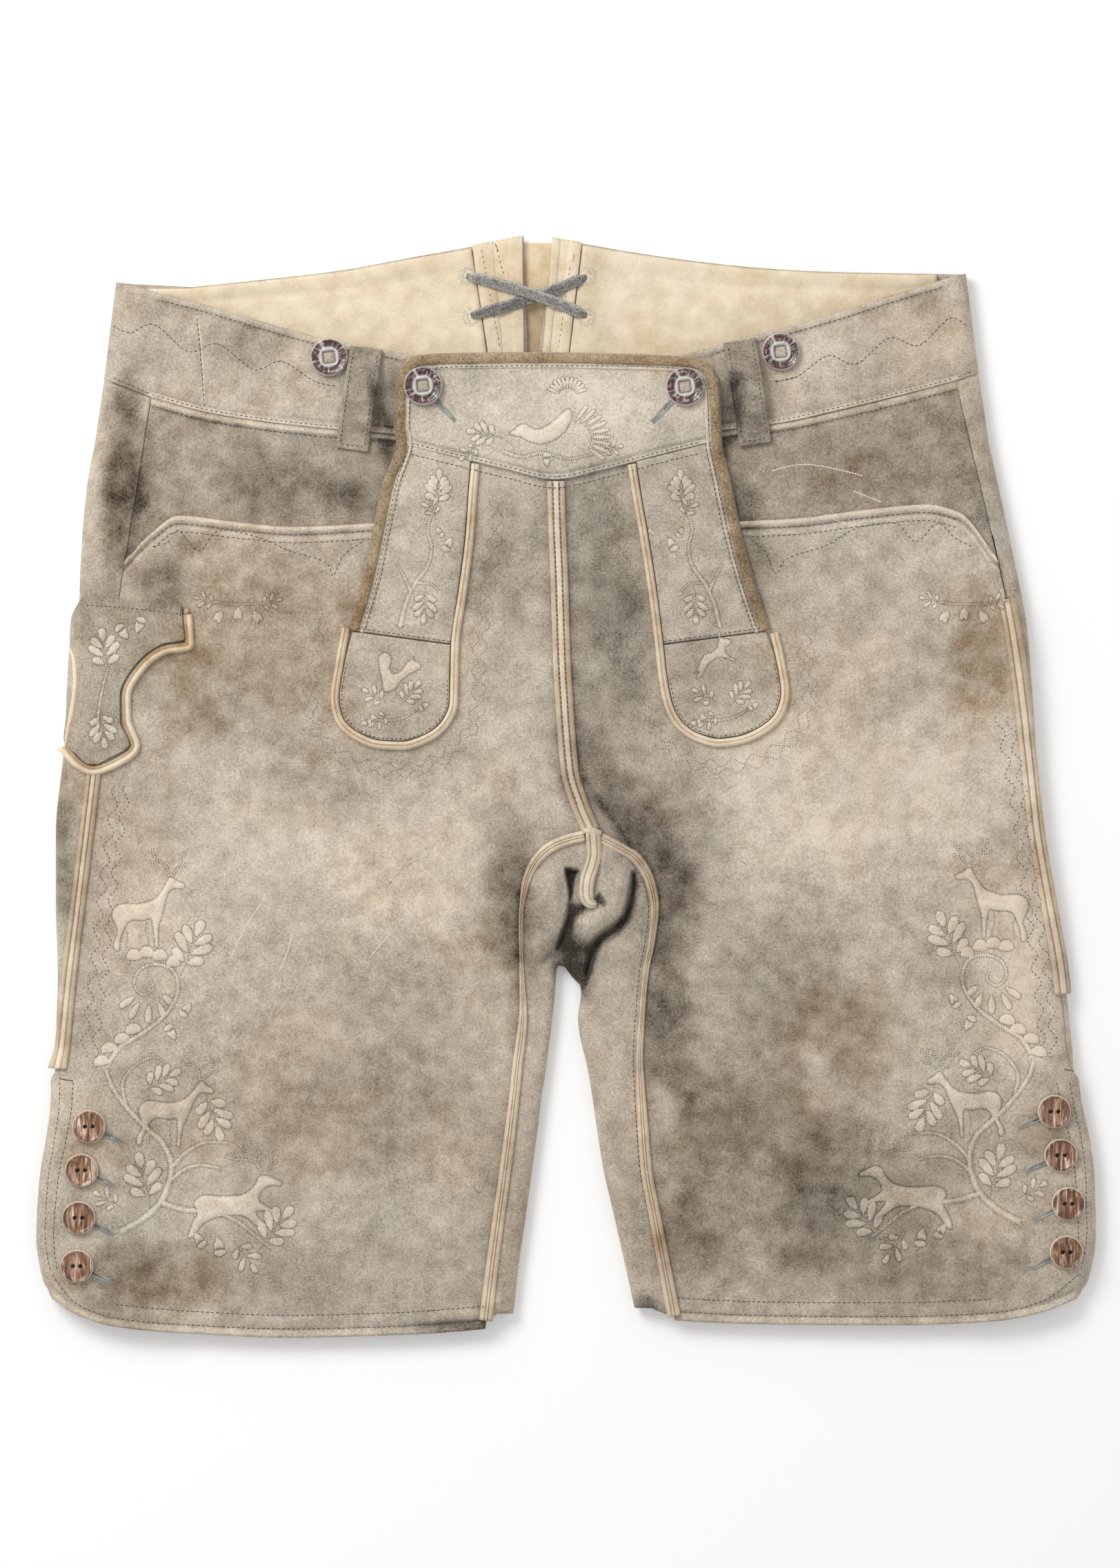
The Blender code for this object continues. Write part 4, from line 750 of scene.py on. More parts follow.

# What shows between the inseams, where the seat's leather folds over itself at the crotch: how far
# each part is sunk, how soft its edge is, how much painted shadow darkens it, and its outline.
CROTCH_FOLDS = (
    (-3.2, 9, 0, ((15, -30), (26, -34), (32.5, -41), (33.3, -46), (32.8, -53), (30.7, -61),
        (28.4, -67.8), (24.4, -72), (18, -76), (14, -79.6), (10, -86), (7, -84),
        (9, -75), (15, -65), (17, -50))),
    (-2.6, 8, 0, ((-17, -47), (-4.4, -46.3), (-3, -50), (-1.4, -57), (-1.8, -64), (-2.6, -70.5),
        (-4.9, -77), (-6.5, -84), (-7, -94), (-17, -94))),
    (3.6, 1.2, 0.10, ((-0.4, -44), (7.4, -45.4), (10, -52), (9, -58), (12, -64.4), (1.4, -64.7),
        (1.9, -56.9), (0, -48))),
    (2.6, 1.4, 0.60, ((-0.3, -44.3), (6.6, -45.4), (4.8, -50), (3.8, -57), (2.2, -62), (1.9, -57),
        (0.2, -48))),
    (3.4, 2.4, 0.55, ((1.3, -64.4), (13.5, -64), (10.4, -67), (6, -70.5), (3, -77), (-0.8, -84),
        (-4.6, -88), (-1.9, -77.7), (0.4, -71.4))),
    (1, 9, 0.56, ((-4, -84), (3, -79), (11, -85), (12.5, -94), (9.5, -112), (2, -110), (-6, -92))),
    (0, 12, 0.12, ((36, -44), (32, -62), (26, -73), (16, -80), (11, -90), (14, -100), (22, -88),
        (33, -80), (41, -66), (42, -50))),
    (5.4, 3.2, 0.52, ((36, -47), (35.4, -53), (33.3, -62), (31, -69.2), (26.8, -74.4),
        (20.1, -78.5), (16.2, -82), (12.8, -87), (11.4, -94), (9.4, -104), (9.2, -108),
        (13, -99.7), (15.6, -91), (20.7, -84), (29, -79), (34.6, -72), (37.4, -63),
        (38.2, -54), (37.2, -47))),
    (3, 1.4, 0.55, ((15.4, -60.4), (18.2, -58), (21.8, -62.4), (20.8, -64.8), (17, -63.6))),
)


def folded_over(points):
    """Points between the inseams, sunk or raised to the folds at the crotch."""
    sunk = np.zeros(len(points))
    for depth, soft, _, outline in CROTCH_FOLDS:
        sunk = sunk + depth * ramp(depth_in(points[:, :2], outline), -soft / 2, soft / 2)
    points[:, 2] = np.maximum(points[:, 2] - sunk, 2.2)
    return points


def back_grids(side, step=2.4):
    """The back panel as two grids: the body's, then the leg's with its inner fold."""
    sign = SIGN[side]
    gap = sign * SEAM_GAP / 2
    shares = np.linspace(0, 1, FLOOR + 1)[1:, None]

    start = edges_at(WAIST_FRONT[side], 0.0)[-1]
    behind = evenly(edges_at(WAIST_BACK[side], 0.0), FLOOR + 1)
    flat, fold = waist_fold(side, 0.0, start, behind[0], FLAT, FOLD)
    along = np.column_stack((behind[1:], floor_rise(behind[1:, 0], behind[1:, 1])))
    waist_row = np.concatenate((flat, fold, along)) - (0.0, SEAM_GAP, 0.0)

    numbers = np.arange(len(BODY["side_y"]), dtype=float)
    body = []
    for t in np.linspace(0.0, numbers[-1], int(BODY_LENGTH / step)):
        side_y, back_x, back_y = (smooth(numbers, BODY[k], t) for k in ("side_y", "back_x", "back_y"))
        wrap = outer_wrap(side, seam_x(side, side_y) + gap, side_y, FLAT, FOLD)
        centre = np.array((back_x + gap, back_y, 0.0))
        body.append(np.concatenate((wrap, wrap[-1] + (centre - wrap[-1]) * shares)))
    upper = [waist_row + (body[0] - waist_row) * share for share in np.linspace(0, 1, 12)[:-1]]

    leg = LEG[side]
    numbers = np.arange(len(leg["side_y"]), dtype=float)
    legs = []
    fine_rows = np.linspace(0, LAST_CROTCH_ROW, CROTCH_ROWS)
    plain_rows = np.linspace(LAST_CROTCH_ROW, numbers[-1], int(LEG_LENGTH / step))[1:]
    for t in np.concatenate((fine_rows, plain_rows)):
        row = {name: smooth(numbers, leg[name], t) for name in leg}
        start_x = seam_x(side, row["side_y"]) + gap
        under = ramp(t, SLIT_LEG_ROW - 0.4, SLIT_LEG_ROW)
        start_x = start_x + (fold_x(side, row["side_y"]) - sign * 34.0 - start_x) * under
        wrap = outer_wrap(side, start_x, row["side_y"], FLAT, FOLD)
        turn = math.radians(row["facing"])
        edge = (row["fold_x"], row["fold_y"])
        heading = (math.cos(turn), math.sin(turn))
        inner = round_fold(edge, heading, row["fold_height"], np.linspace(-90, 90, FOLD))
        floor_part = wrap[-1] + (inner[0] - wrap[-1]) * shares[:-1]
        end = on_top(row["seam_x"] + gap, row["seam_y"], 0.0)
        rise = folded_over(inner[-1] + (end - inner[-1]) * np.linspace(0, 1, FINE)[1:, None])
        legs.append(np.concatenate((wrap, floor_part, inner, rise)))
    body.append(legs[0][: FLAT + FOLD + FLOOR])
    return [np.array(upper + body), np.array(legs)]


for side in SIGN:
    panel = hide_piece("back_panel_" + side, back_grids(side), shadows=CROTCH_FOLDS)
    set_down(panel)
    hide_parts("back_panel_" + side)


# ---------------------------------------------------------------------------------------------
# Hip panels. The pockets' backs: leather sewn under the waistband and tucked down behind the
# front panels' open edges. They are the darkest leather, greased by hands.

def hip_grid(side, across=100, down=50):
    """A hip panel's face, from the waistband's seam to below the pocket's edge."""
    sign = SIGN[side]
    waist = edges_at(WAIST_FRONT[side], 0.0)[2:]
    top = evenly(waist, across) - (0.0, SEAM_GAP / 2)
    v = np.linspace(0, 1, down)[:, None]
    low_y = 106.0
    y = top[None, :, 1] + (low_y - top[None, :, 1]) * v
    inner = top[0, 0] - sign * 0.06 * (y - top[0, 1])
    outer = np.array([seam_x(side, line) for line in y])
    share = (top[None, :, 0] - top[0, 0]) / (top[-1, 0] - top[0, 0])
    x = inner + (outer - sign * SEAM_GAP / 2 - inner) * share
    return on_top(x, y, 0.0)


for side in SIGN:
    seam = edges_at(WAIST_FRONT[side], 0.0)
    # Painted highlight on the bead below the waistband's seam, and painted shade in the groove under it.
    lit_and_shaded_lines = [(seam - (0, 1.6), 1.2, -0.42), (seam - (0, 4.2), 0.9, 0.25)]
    panel = hide_piece("hip_panel_" + side, [hip_grid(side)], dark=0.17, brown=0.05, lines=lit_and_shaded_lines)
    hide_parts("hip_panel_" + side)


# ---------------------------------------------------------------------------------------------
# Front panels. One hide each from the drop front's band to the hem, open along the pocket,
# sewn to the back panel at the side and the inseam, and laid over its underlap at the slit.

HEM = each_side(
    "x y",
    (
        (-274, -276), (-264, -283.5), (-243, -290.5), (-199, -294.8), (-149, -296.8), (-96, -295.6),
        (-43, -292), (-28, -285),
    ), (
        (37, -282), (58.5, -287.5), (104, -289.5), (141, -290), (182, -290), (230, -287.8), (256, -283),
        (273, -276),
    ),
)

POCKET = each_side(
    "x y",
    (
        (-80.5, 142), (-104, 141), (-147, 139), (-180, 142), (-208, 145), (-222, 136), (-236.4, 121.5),
    ), (
        (72, 141.5), (93, 142), (122, 143.3), (160, 148), (194, 151), (211, 147), (231.6, 122.5),
    ),
)

CUT_UNDER_BAND = {
    "right": ((-5.2, 190), (-70, 188), (-76, 186), (-81, 145)),
    "left": ((-5, 190), (58, 188), (65, 186), (71, 145)),
}


def front_edges(side):
    """The panel's inner and outer edges as plan lines from the top to the hem."""
    sign = SIGN[side]
    y = BODY["front_y"]
    keep = y < 180
    inner = np.column_stack((BODY["front_x"][keep], y[keep]))
    leg = stacked(LEG[side], "seam_x", "seam_y")
    leg[-1] = (leg[-1][0], smooth(HEM[side]["x"], HEM[side]["y"], leg[-1][0]))
    inner = np.concatenate(([CUT_UNDER_BAND[side][0]], inner, leg)) + (sign * SEAM_GAP / 2, 0.0)
    start = stacked(POCKET[side])[-1]
    ys = np.linspace(start[1], -150.0, 60)
    outer = np.column_stack((seam_x(side, ys) - sign * SEAM_GAP / 2, ys))
    outer[0] = start - (sign * SEAM_GAP / 2, 0.0)
    low = np.linspace(-158.0, HEM[side]["y"][-1 if side == "left" else 0] + 2, 30)
    down = np.column_stack((fold_x(side, low) - sign * 0.5, low))
    return inner, np.concatenate((outer, down))


def front_grid(side, across=152, down=300):
    """A front panel's face, from under the drop front and the pocket's edge to the hem."""
    inner, outer = front_edges(side)
    inner = evenly(inner, down)
    outer = evenly(outer, down)
    top = np.concatenate((CUT_UNDER_BAND[side], stacked(POCKET[side])))
    s = np.linspace(0, 1, across)
    s = s - 0.012 * np.sin(2 * np.pi * s)
    top_x = inner[0, 0] + (outer[0, 0] - inner[0, 0]) * s
    top_y = smooth(top[:, 0], top[:, 1], top_x)
    hem_x = inner[-1, 0] + (outer[-1, 0] - inner[-1, 0]) * s
    hem_y = smooth(HEM[side]["x"], HEM[side]["y"], hem_x)
    t = np.linspace(0, 1, down)[:, None]
    x = inner[:, None, 0] + (outer[:, None, 0] - inner[:, None, 0]) * s
    y = inner[:, None, 1] + (outer[:, None, 1] - inner[:, None, 1]) * s
    y = y + (1 - t) ** 3 * (top_y - y[0]) + t**5 * (hem_y - y[-1])
    return on_top(x, y, panel_lift(x, y) + panel_relief(x, y))


# The pleat pressed in beside the centre seam, above the crotch: from, to
PLEAT = ((9, 4), (32.5, -31))
PLEAT_HEIGHT = 2.6
# Ridges and grooves beside the pocket's lip and the hem: how far in, how wide, how high
LIP_RELIEF = ((1.2, 1.7, 0.9), (4.3, 1.2, -0.35), (8.6, 1.2, -0.25))
HEM_RELIEF = ((2.0, 2.0, 0.35), (4.8, 1.4, -0.4), (12.2, 1.4, -0.3), (8.5, 2.4, 0.2))
# The slit's two sunk stitch rows: how far in each is at the hem and at the slit's top
SLIT_ROW = 3.4
SLIT_INNER_ROW = (7.2, 10.6)
SLIT_ROW_TOP_Y = -158.0


def panel_relief(x, y):
    """Small rises of the front panels: the rolled pocket lip, the turned hem and slit, a pleat."""
    height = 0.12 * cloud(x, y, 6.5, 31) + 0.08 * cloud(x, y, 3.1, 32)
    for side in SIGN:
        own = (x < 0) if side == "right" else (x >= 0)
        lip = smooth(POCKET[side]["x"], POCKET[side]["y"], x) - y
        within = own & (np.abs(x) > 74)
        height = height + np.where(within, relief(lip, LIP_RELIEF), 0.0)
        hem = y - smooth(HEM[side]["x"], HEM[side]["y"], x)
        height = height + np.where(own, relief(hem, HEM_RELIEF), 0.0)
        edge = np.abs(x - fold_x(side, y))
        share = np.clip((y - SLIT_HEM_Y) / (SLIT_ROW_TOP_Y - SLIT_HEM_Y), 0, 1)
        second = SLIT_INNER_ROW[0] + (SLIT_INNER_ROW[1] - SLIT_INNER_ROW[0]) * share
        slit = -0.35 * swell(edge, SLIT_ROW, 1.3) - 0.35 * swell(edge, second, 1.3)
        slit = slit + 0.25 * swell(edge - second / 2, 1.7, 2.0)
        height = height + np.where(own, slit * (1 - ramp(y, -165.0, -152.0)), 0.0)
    along = np.array(PLEAT[1]) - np.array(PLEAT[0])
    length = np.hypot(*along)
    t = ((x - PLEAT[0][0]) * along[0] + (y - PLEAT[0][1]) * along[1]) / length**2
    off = ((x - PLEAT[0][0]) * along[1] - (y - PLEAT[0][1]) * along[0]) / length
    inside = ramp(t, -0.25, 0.1) * (1 - ramp(t, 1.0, 1.25))
    return height + PLEAT_HEIGHT * inside * np.exp(np.minimum(off, 0) / 9.0) * (1 - ramp(off, -0.6, 1.8))


for side in SIGN:
    lip = stacked(POCKET[side])
    lip = lip[np.abs(lip[:, 0]) > 72]
    hem = stacked(HEM[side])
    inseam = stacked(LEG[side], "seam_x", "seam_y")
    centre = stacked(BODY, "front_x", "front_y")
    # Painted highlights on the pocket lip's and hem's ridges, painted shade in their grooves, and painted
    # shadow beside the inseam strips and the centre strip.
    lit_and_shaded_lines = [
        (lip - (0, 1.2), 1.5, -0.34),
        (lip - (0, 4.2), 0.9, 0.30),
        (lip - (0, 6.4), 1.0, -0.2),
        (hem + (0, 2), 1.8, -0.16),
        (hem + (0, 4.8), 0.9, 0.18),
        (inseam, 9.0, 0.08),
        (inseam, 3.6, 0.22),
        (centre, 8.5, 0.24 if side == "left" else 0.12),
        (centre, 5.8, 0.22),
    ]
    # Painted shade on one side of the pleat and a painted highlight on the other.
    if side == "left":
        lit_and_shaded_lines.append((np.array(PLEAT) + (1.4, 0), 1.6, 0.14))
        lit_and_shaded_lines.append((np.array(PLEAT) - (3, 2), 3.0, -0.12))
    panel = hide_piece("front_panel_" + side, [front_grid(side)], rim_only=True, lines=lit_and_shaded_lines)
    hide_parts("front_panel_" + side)


# ---------------------------------------------------------------------------------------------
# Waistband. A doubled band of the same hide in two halves, sewn on above the hip panels and
# the back, with its top edge turned in.

BAND_HEIGHT = 46.0
# Ridges and grooves above its seam and below its top: how far in, how wide, how high
BAND_SEAM_RELIEF = ((0.2, 1.5, 0.55), (2.6, 1.1, -0.35))
BAND_TOP_RELIEF = ((2.0, 1.8, 0.5), (4.4, 1.1, -0.35))


def waist_grid(side, height_rows=36, front_count=140, back_count=50):
    """Half the waistband's face, from the centre front round the side to the lacing."""
    sign = SIGN[side]
    rows = []
    for share in np.linspace(0, 1, height_rows):
        ahead = edges_at(WAIST_FRONT[side], share)
        ahead[0, 0] += sign * SEAM_GAP / 2
        behind = edges_at(WAIST_BACK[side], share)
        behind[-1, 0] += sign * SEAM_GAP / 2
        front = evenly(ahead, front_count)
        back = evenly(behind, back_count)
        flat, fold = waist_fold(side, share, ahead[-1], behind[0], 12, 22)
        bead = relief(share * BAND_HEIGHT, BAND_SEAM_RELIEF)
        turned = relief((1 - share) * BAND_HEIGHT, BAND_TOP_RELIEF)
        puff = bead + turned + 0.25 * np.sin(np.pi * share)
        front = on_top(front[:, 0], front[:, 1], puff - 0.2)
        along = np.column_stack((back, floor_rise(back[:, 0], back[:, 1])))
        flat[:, 2] += puff - 0.2
        row = np.concatenate((front[:-1], flat, fold, along[1:]))
        rows.append(row + (0.0, SEAM_GAP / 2 * (share == 0.0), 0.0))
    return np.array(rows)


for side in SIGN:
    seam, top = edges_at(WAIST_FRONT[side], 0.0), edges_at(WAIST_FRONT[side], 1.0)
    # Painted highlights on the ridges above the seam and below the top, painted shade in the grooves.
    lit_and_shaded_lines = [
        (seam + (0, 1.4), 1.3, -0.30),
        (seam + (0, 3.6), 0.8, 0.22),
        (top - (0, 4.4), 1.0, 0.16),
        (top - (0, 1.6), 1.5, -0.12),
    ]
    band = hide_piece("waistband_" + side, [waist_grid(side)], lines=lit_and_shaded_lines)
    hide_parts("waistband_" + side)


# ---------------------------------------------------------------------------------------------
# Inside the back waistband: a facing of pale suede, a band with the lacing's eyelets at each
# end, and the gusset of soft leather behind the lacing.

FACING = table(
    "low_outer high_outer low_inner high_inner",
    (-228, -226, -39, -50.9), (204, 200, -0.5, 9.3),
)
LACING_BAND = table(
    "low_outer high_outer low_inner high_inner",
    (-38.4, -50.3, -22, -23.2), (-1.1, 8.7, -14.5, -7.2),
)

BACK_GUSSET = table(
    "y middle_x half_width",
    (292.5, -14.5, 16), (262, -16.5, 13.5), (234, -18, 11), (215, -18.8, 8),
)

suede = leather_material(
    "suede", linear(246, 233, 208), linear(150, 124, 92), linear(240, 216, 176), speckle=0.25, grain=0.35
)


def inside_grid(side, ends, down=36, across=80):
    """A band on the inner face of the back waistband; ends is a row of its table."""
    low_outer, high_outer, low_inner, high_inner = ends
    back = WAIST_BACK[side]
    rows = []
    for step in np.linspace(0, 1, down):
        share = 0.1 + 0.89 * step
        xs = np.linspace(low_outer + (high_outer - low_outer) * step,
                         low_inner + (high_inner - low_inner) * step, across)
        low = smooth(back["low_x"], back["low_y"], xs)
        high = smooth(back["top_x"], back["top_y"], xs)
        y = low + (high - low) * share
        roll = 0.8 * swell(step, 0.95, 0.05) - 0.5 * swell(step, 0.85, 0.02)
        soft = 0.35 * cloud(xs, y, 9.0, 41) + 0.5 * cloud(xs, y, 24.0, 42)
        if abs(xs[0] - xs[-1]) < 40:
            along = np.linspace(0, 1, across)
            fold = 1.1 * np.sqrt(np.clip(1 - ((along - 0.2) / 0.21) ** 2, 0, 1))
            edge = 0.9 * np.sqrt(np.clip(1 - ((along - 0.86) / 0.15) ** 2, 0, 1))
            roll = fold + edge
            y = y + 0.55 * np.abs(np.sin(xs * 1.15)) * ramp(step, 0.86, 1.0) + 1.2 * ramp(step, 0.9, 1.0)
        rows.append(np.column_stack((xs, y, floor_rise(xs, y) + LAYER + 1.0 + roll + soft)))
    return np.array(rows)


for place, side in enumerate(SIGN):
    for name, bands, width in (("waist_facing_", FACING, 0.20), ("lacing_band_", LACING_BAND, 0.024)):
        ends = [bands[column][place] for column in bands]
        band = hide_piece(name + side, [inside_grid(side, ends)], thickness=1.0, made=suede, dark=-0.24)
        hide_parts(name + side)

rows = []
for y in np.linspace(BACK_GUSSET["y"][0], BACK_GUSSET["y"][-1], 50):
    middle = smooth(BACK_GUSSET["y"], BACK_GUSSET["middle_x"], y)
    half = smooth(BACK_GUSSET["y"], BACK_GUSSET["half_width"], y)
    xs = middle + half * np.linspace(-1, 1, 24)
    rise = 1.5 + 0.5 * cloud(xs, y, 8.0, 44) * ramp(290 - y, 0, 5)
    rows.append(np.column_stack((xs, np.full_like(xs, y), rise)))
# The gusset carries a painted shadow down its lower middle, where it lies deep between the bands.
gusset = hide_piece("back_gusset", [np.array(rows)], thickness=1.4, made=suede, dark=-0.26, brown=0.3,
                    lines=[(((-19, 232), (-17, 250)), 11.0, 0.5)])
set_down(gusset)
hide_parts("back_gusset")


# ---------------------------------------------------------------------------------------------
# Drop front. The band across its top with a rolled suede edge, a side strip below each end,
# and a round tongue under each strip, all laid on the front panels.

BAND = table(
    "x top_y low_y",
    (-89, 222, 184), (-84, 229, 182.5), (-62, 231.5, 177), (-32, 232, 169.8), (-6, 232, 164.2),
    (20, 231.5, 169.4), (50, 230.5, 177.3), (74, 227.5, 183.2), (82, 218, 185.2),
)

BIB_STRIP = each_side(
    "outer_x outer_y inner_x inner_y",
    (
        (-89.2, 183.6, -48.5, 173.2), (-96, 163, -50, 155), (-101, 140, -51.5, 134),
        (-106.5, 113, -55, 106), (-115, 83.5, -59.3, 76),
    ), (
        (82.2, 184.8, 35.5, 173.2), (87, 162, 38.3, 155), (92.5, 136, 42, 134), (99.5, 110, 46.4, 106),
        (108.3, 83.5, 50.2, 76),
    ),
)

TONGUE = each_side(
    "outer_x outer_y inner_x inner_y",
    (
        (-118, 84.5, -59.4, 75), (-121.5, 65, -59.8, 58), (-124, 47, -60.2, 44),
        (-121.8, 36, -64.6, 33.5), (-113, 27, -74.5, 25.5), (-100, 22, -87.5, 21.5),
    ), (
        (112, 82, 50.4, 75), (115.5, 67, 52.2, 58), (118, 49.5, 55.2, 43.5), (115, 38.5, 60.8, 33),
        (105.5, 29.5, 70.5, 26), (93, 24.3, 82, 23),
    ),
)


def drop_lift(y):
    return front_lift(y) + LAYER + 0.1


def band_lift(x, y):
    return drop_lift(POCKET_LAP_Y) + 0.15 * cloud(x, y, 7.0, 51) + 0.3 * cloud(x, y, 22.0, 52)


def side_lift(x, y):
    return drop_lift(y) + 0.15 * cloud(x, y, 7.0, 53) + 0.3 * cloud(x, y, 20.0, 54)


def between_lines(outer, inner, lift, down, across):
    """A grid between two plan lines that run the same way."""
    a = evenly(outer, down)[:, None, :]
    b = evenly(inner, down)[:, None, :]
    at = a + (b - a) * np.linspace(0, 1, across)[None, :, None]
    return on_top(at[..., 0], at[..., 1], lift(at[..., 0], at[..., 1]))


tops = stacked(BAND, "x", "top_y")
lows = stacked(BAND, "x", "low_y") + (0, 0.15)
low_edge = stacked(BAND, "x", "low_y")
# A painted highlight along the band's lower edge and a painted shade line above it.
lit_and_shaded_lines = [(low_edge + (0, 1.4), 1.2, -0.16), (low_edge + (0, 3.6), 0.9, 0.26)]
grid = between_lines(tops, lows, band_lift, down=150, across=56)
band = hide_piece("bib_band", [grid], dark=-0.02, brown=-0.16, lines=lit_and_shaded_lines)
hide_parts("bib_band")


def beside(points, distance):
    """A plan line moved sideways, to its right as it runs."""
    return points + square_to(points) * distance


WELT_EDGE = 2.7           # from the middle of the welt beside a strip to the strip's own edge
for side in SIGN:
    sign = SIGN[side]
    strip_welt = stacked(BIB_STRIP[side], "inner_x", "inner_y")
    inner = beside(strip_welt, -sign * WELT_EDGE)
    outer = stacked(BIB_STRIP[side], "outer_x", "outer_y")
    for line in (inner, outer):
        line[0, 1] = smooth(BAND["x"], BAND["low_y"], line[0, 0]) - 0.15
    grid = between_lines(outer, inner, side_lift, down=80, across=44)
    strip = hide_piece("bib_strip_" + side, [grid], dark=-0.02, brown=-0.08)
    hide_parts("bib_strip_" + side)

    welt_out = stacked(TONGUE[side], "outer_x", "outer_y")
    welt_in = stacked(TONGUE[side], "inner_x", "inner_y")
    shape = beside(np.concatenate((welt_out, welt_in[::-1])), sign * WELT_EDGE)
    shape[0] = outer[-1] + (-sign * 0.6, -0.9)
    shape[-1] = inner[-1] + (0, -0.9)
    half = len(welt_out)
    grid = between_lines(shape[:half], shape[half:][::-1], side_lift, down=60, across=50)
    tongue = hide_piece("tongue_" + side, [grid], dark=0.02)
    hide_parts("tongue_" + side)


# ---------------------------------------------------------------------------------------------
# Piping round the strips and tongues: a cord-filled welt of cream leather, worn yellow. It runs
# down each strip's inner side from the band, and round the tongue to its outer side.

cream = leather_material(
    "cream_welt", linear(245, 231, 208), linear(128, 102, 74), linear(214, 180, 134),
    speckle=0.3, grain=0.3, rough=0.7, napped=0.1
)


def welt(name, points, offsets, heights, lift, made, step=1.4, dark=0.0, brown=0.0, shades=None,
         sizes=((0, 1), (1, 1))):
    """A strip with a shaped top along a plan line: offsets across it, heights over its base,
    how much darker each column is, and its size at shares of its length."""
    length = np.hypot(*np.diff(points, axis=0).T).sum()
    middle = evenly(points, int(length / step))
    square = square_to(middle)
    offsets = np.asarray(offsets, float)
    heights = np.asarray(heights, float)
    around = np.concatenate((offsets, offsets[-2:0:-3]))
    over = np.concatenate((heights, 0 * offsets[-2:0:-3] - 0.05))
    size = np.interp(np.linspace(0, 1, len(middle)), *np.transpose(sizes))
    at = middle[:, None, :] + square[:, None, :] * around[None, :, None] * size[:, None, None]
    base = lift(at[..., 0], at[..., 1])
    unevenness = 1 + 0.10 * cloud(at[..., 0], at[..., 1], 5.0, 61)
    points3 = on_top(at[..., 0], at[..., 1], base + over[None, :] * unevenness * np.sqrt(size)[:, None])
    count = len(around)
    faces = grid_faces(len(middle), count, 0, True)
    a, b, c, d = points3.reshape(-1, 3)[list(faces[count // 3])]
    first = tuple(range(count))
    last = tuple(range((len(middle) - 1) * count, len(middle) * count))
    faces += [first[::-1], last]
    if np.cross(c - a, d - b)[2] < 0:
        faces = [face[::-1] for face in faces]
    obj = mesh_of(name + "_strip", points3.reshape(-1, 3), faces, made)
    across = np.zeros(count)
    if shades is not None:
        across[: len(offsets)] = shades
        across[len(offsets):] = np.asarray(shades)[-2:0:-3]
    wear_and_shade_of(obj, dark - 0.12 + np.tile(across, len(middle)), brown + 0.8 * np.tile(across, len(middle)))
    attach(obj, "root")
    return obj


def half_round(width, height, count=9):
    """Offsets across a welt and heights over its base, for a half-round top."""
    across = np.linspace(-1, 1, count)
    return across * width / 2, height * np.sqrt(np.clip(1 - across**2 * 0.97, 0, 1))


def corded(width, height, tan_side):
    """A round pale cord along an edge, with the lower tan fold it is sewn by on one side."""
    across = np.linspace(-1, 1, 13)
    toward = across * tan_side
    cord = np.sqrt(np.clip(1 - ((toward + 0.32) / 0.68) ** 2, 0, 1))
    fold = 0.66 * np.sqrt(np.clip(1 - ((toward - 0.52) / 0.5) ** 2, 0, 1))
    groove = swell(toward, 0.26, 0.1)
    shades = 0.40 * ramp(toward, 0.1, 0.34) + 0.25 * groove
    return across * width / 2, height * np.maximum(np.maximum(cord, fold), 0.12), shades


def without_repeats(points):
    """A plan line without the stations that lie on top of the one before."""
    kept = [points[0]]
    for point in points[1:]:
        if np.hypot(*(point - kept[-1])) > 2.0:
            kept.append(point)
    return np.array(kept)


for side in SIGN:
    strip_welt = stacked(BIB_STRIP[side], "inner_x", "inner_y")
    welt_out = stacked(TONGUE[side], "outer_x", "outer_y")
    welt_in = stacked(TONGUE[side], "inner_x", "inner_y")
    points = without_repeats(np.concatenate((strip_welt, welt_in, welt_out[::-1])))
    points[0, 1] = smooth(BAND["x"], BAND["low_y"], points[0, 0]) - 0.9
    offsets, heights = half_round(4.6, 2.9, count=15)
    crease = swell(offsets, 0, 0.55)
    piping = welt("bib_piping_" + side, points, offsets, heights * (1 - 0.2 * crease),
                  lambda x, y: front_lift(y) + 0.6, cream, dark=-0.20, brown=0.05, shades=0.4 * crease)
    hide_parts("bib_piping_" + side)


# ---------------------------------------------------------------------------------------------
# Seam welts. Thin strips of cream leather sewn over the centre seam, the inseams, the side
# seams and the seat seam. The centre and right ones are three narrow strips side by side.

def triple(width, height, edge=0.36, outer=0.12):
    """Three narrow strips side by side with a sunk seam line between them, the middle palest."""
    across = np.linspace(-1, 1, 25)
    groove = swell(np.abs(across), edge, 0.07)
    crown = np.sqrt(np.clip(1 - across**4 * 0.97, 0, 1))
    shades = 0.42 * groove + np.where(np.abs(across) > edge, outer, -0.08)
    return across * width / 2, height * crown * (1 - 0.55 * groove), shades


# How wide the inseams' strips show, at shares of their length from the crotch down
INSEAM_SIZES = {
    "right": ((0, 1), (0.08, 1), (0.14, 0.8), (0.2, 0.42), (0.3, 0.36), (0.37, 0.6), (0.45, 0.9),
              (1, 1.22)),
    "left": ((0, 1.05), (0.08, 1), (0.16, 0.85), (0.24, 0.62), (0.36, 0.5), (0.48, 0.62), (0.62, 1),
             (1, 1.22)),
}
STRIP_TOP_Y = 163.5       # where the centre strip comes out from under the drop front

points = stacked(BODY, "front_x", "front_y")
points[0, 1] = STRIP_TOP_Y
points = np.concatenate((points, [points[-1] + (np.array(CROTCH) - points[-1]) * 0.9]))
offsets, heights, shades = triple(9.8, 1.9)
strip = welt("centre_strip", points, offsets, heights, lambda x, y: front_lift(y) + 0.2, cream,
             shades=shades)
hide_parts("centre_strip")

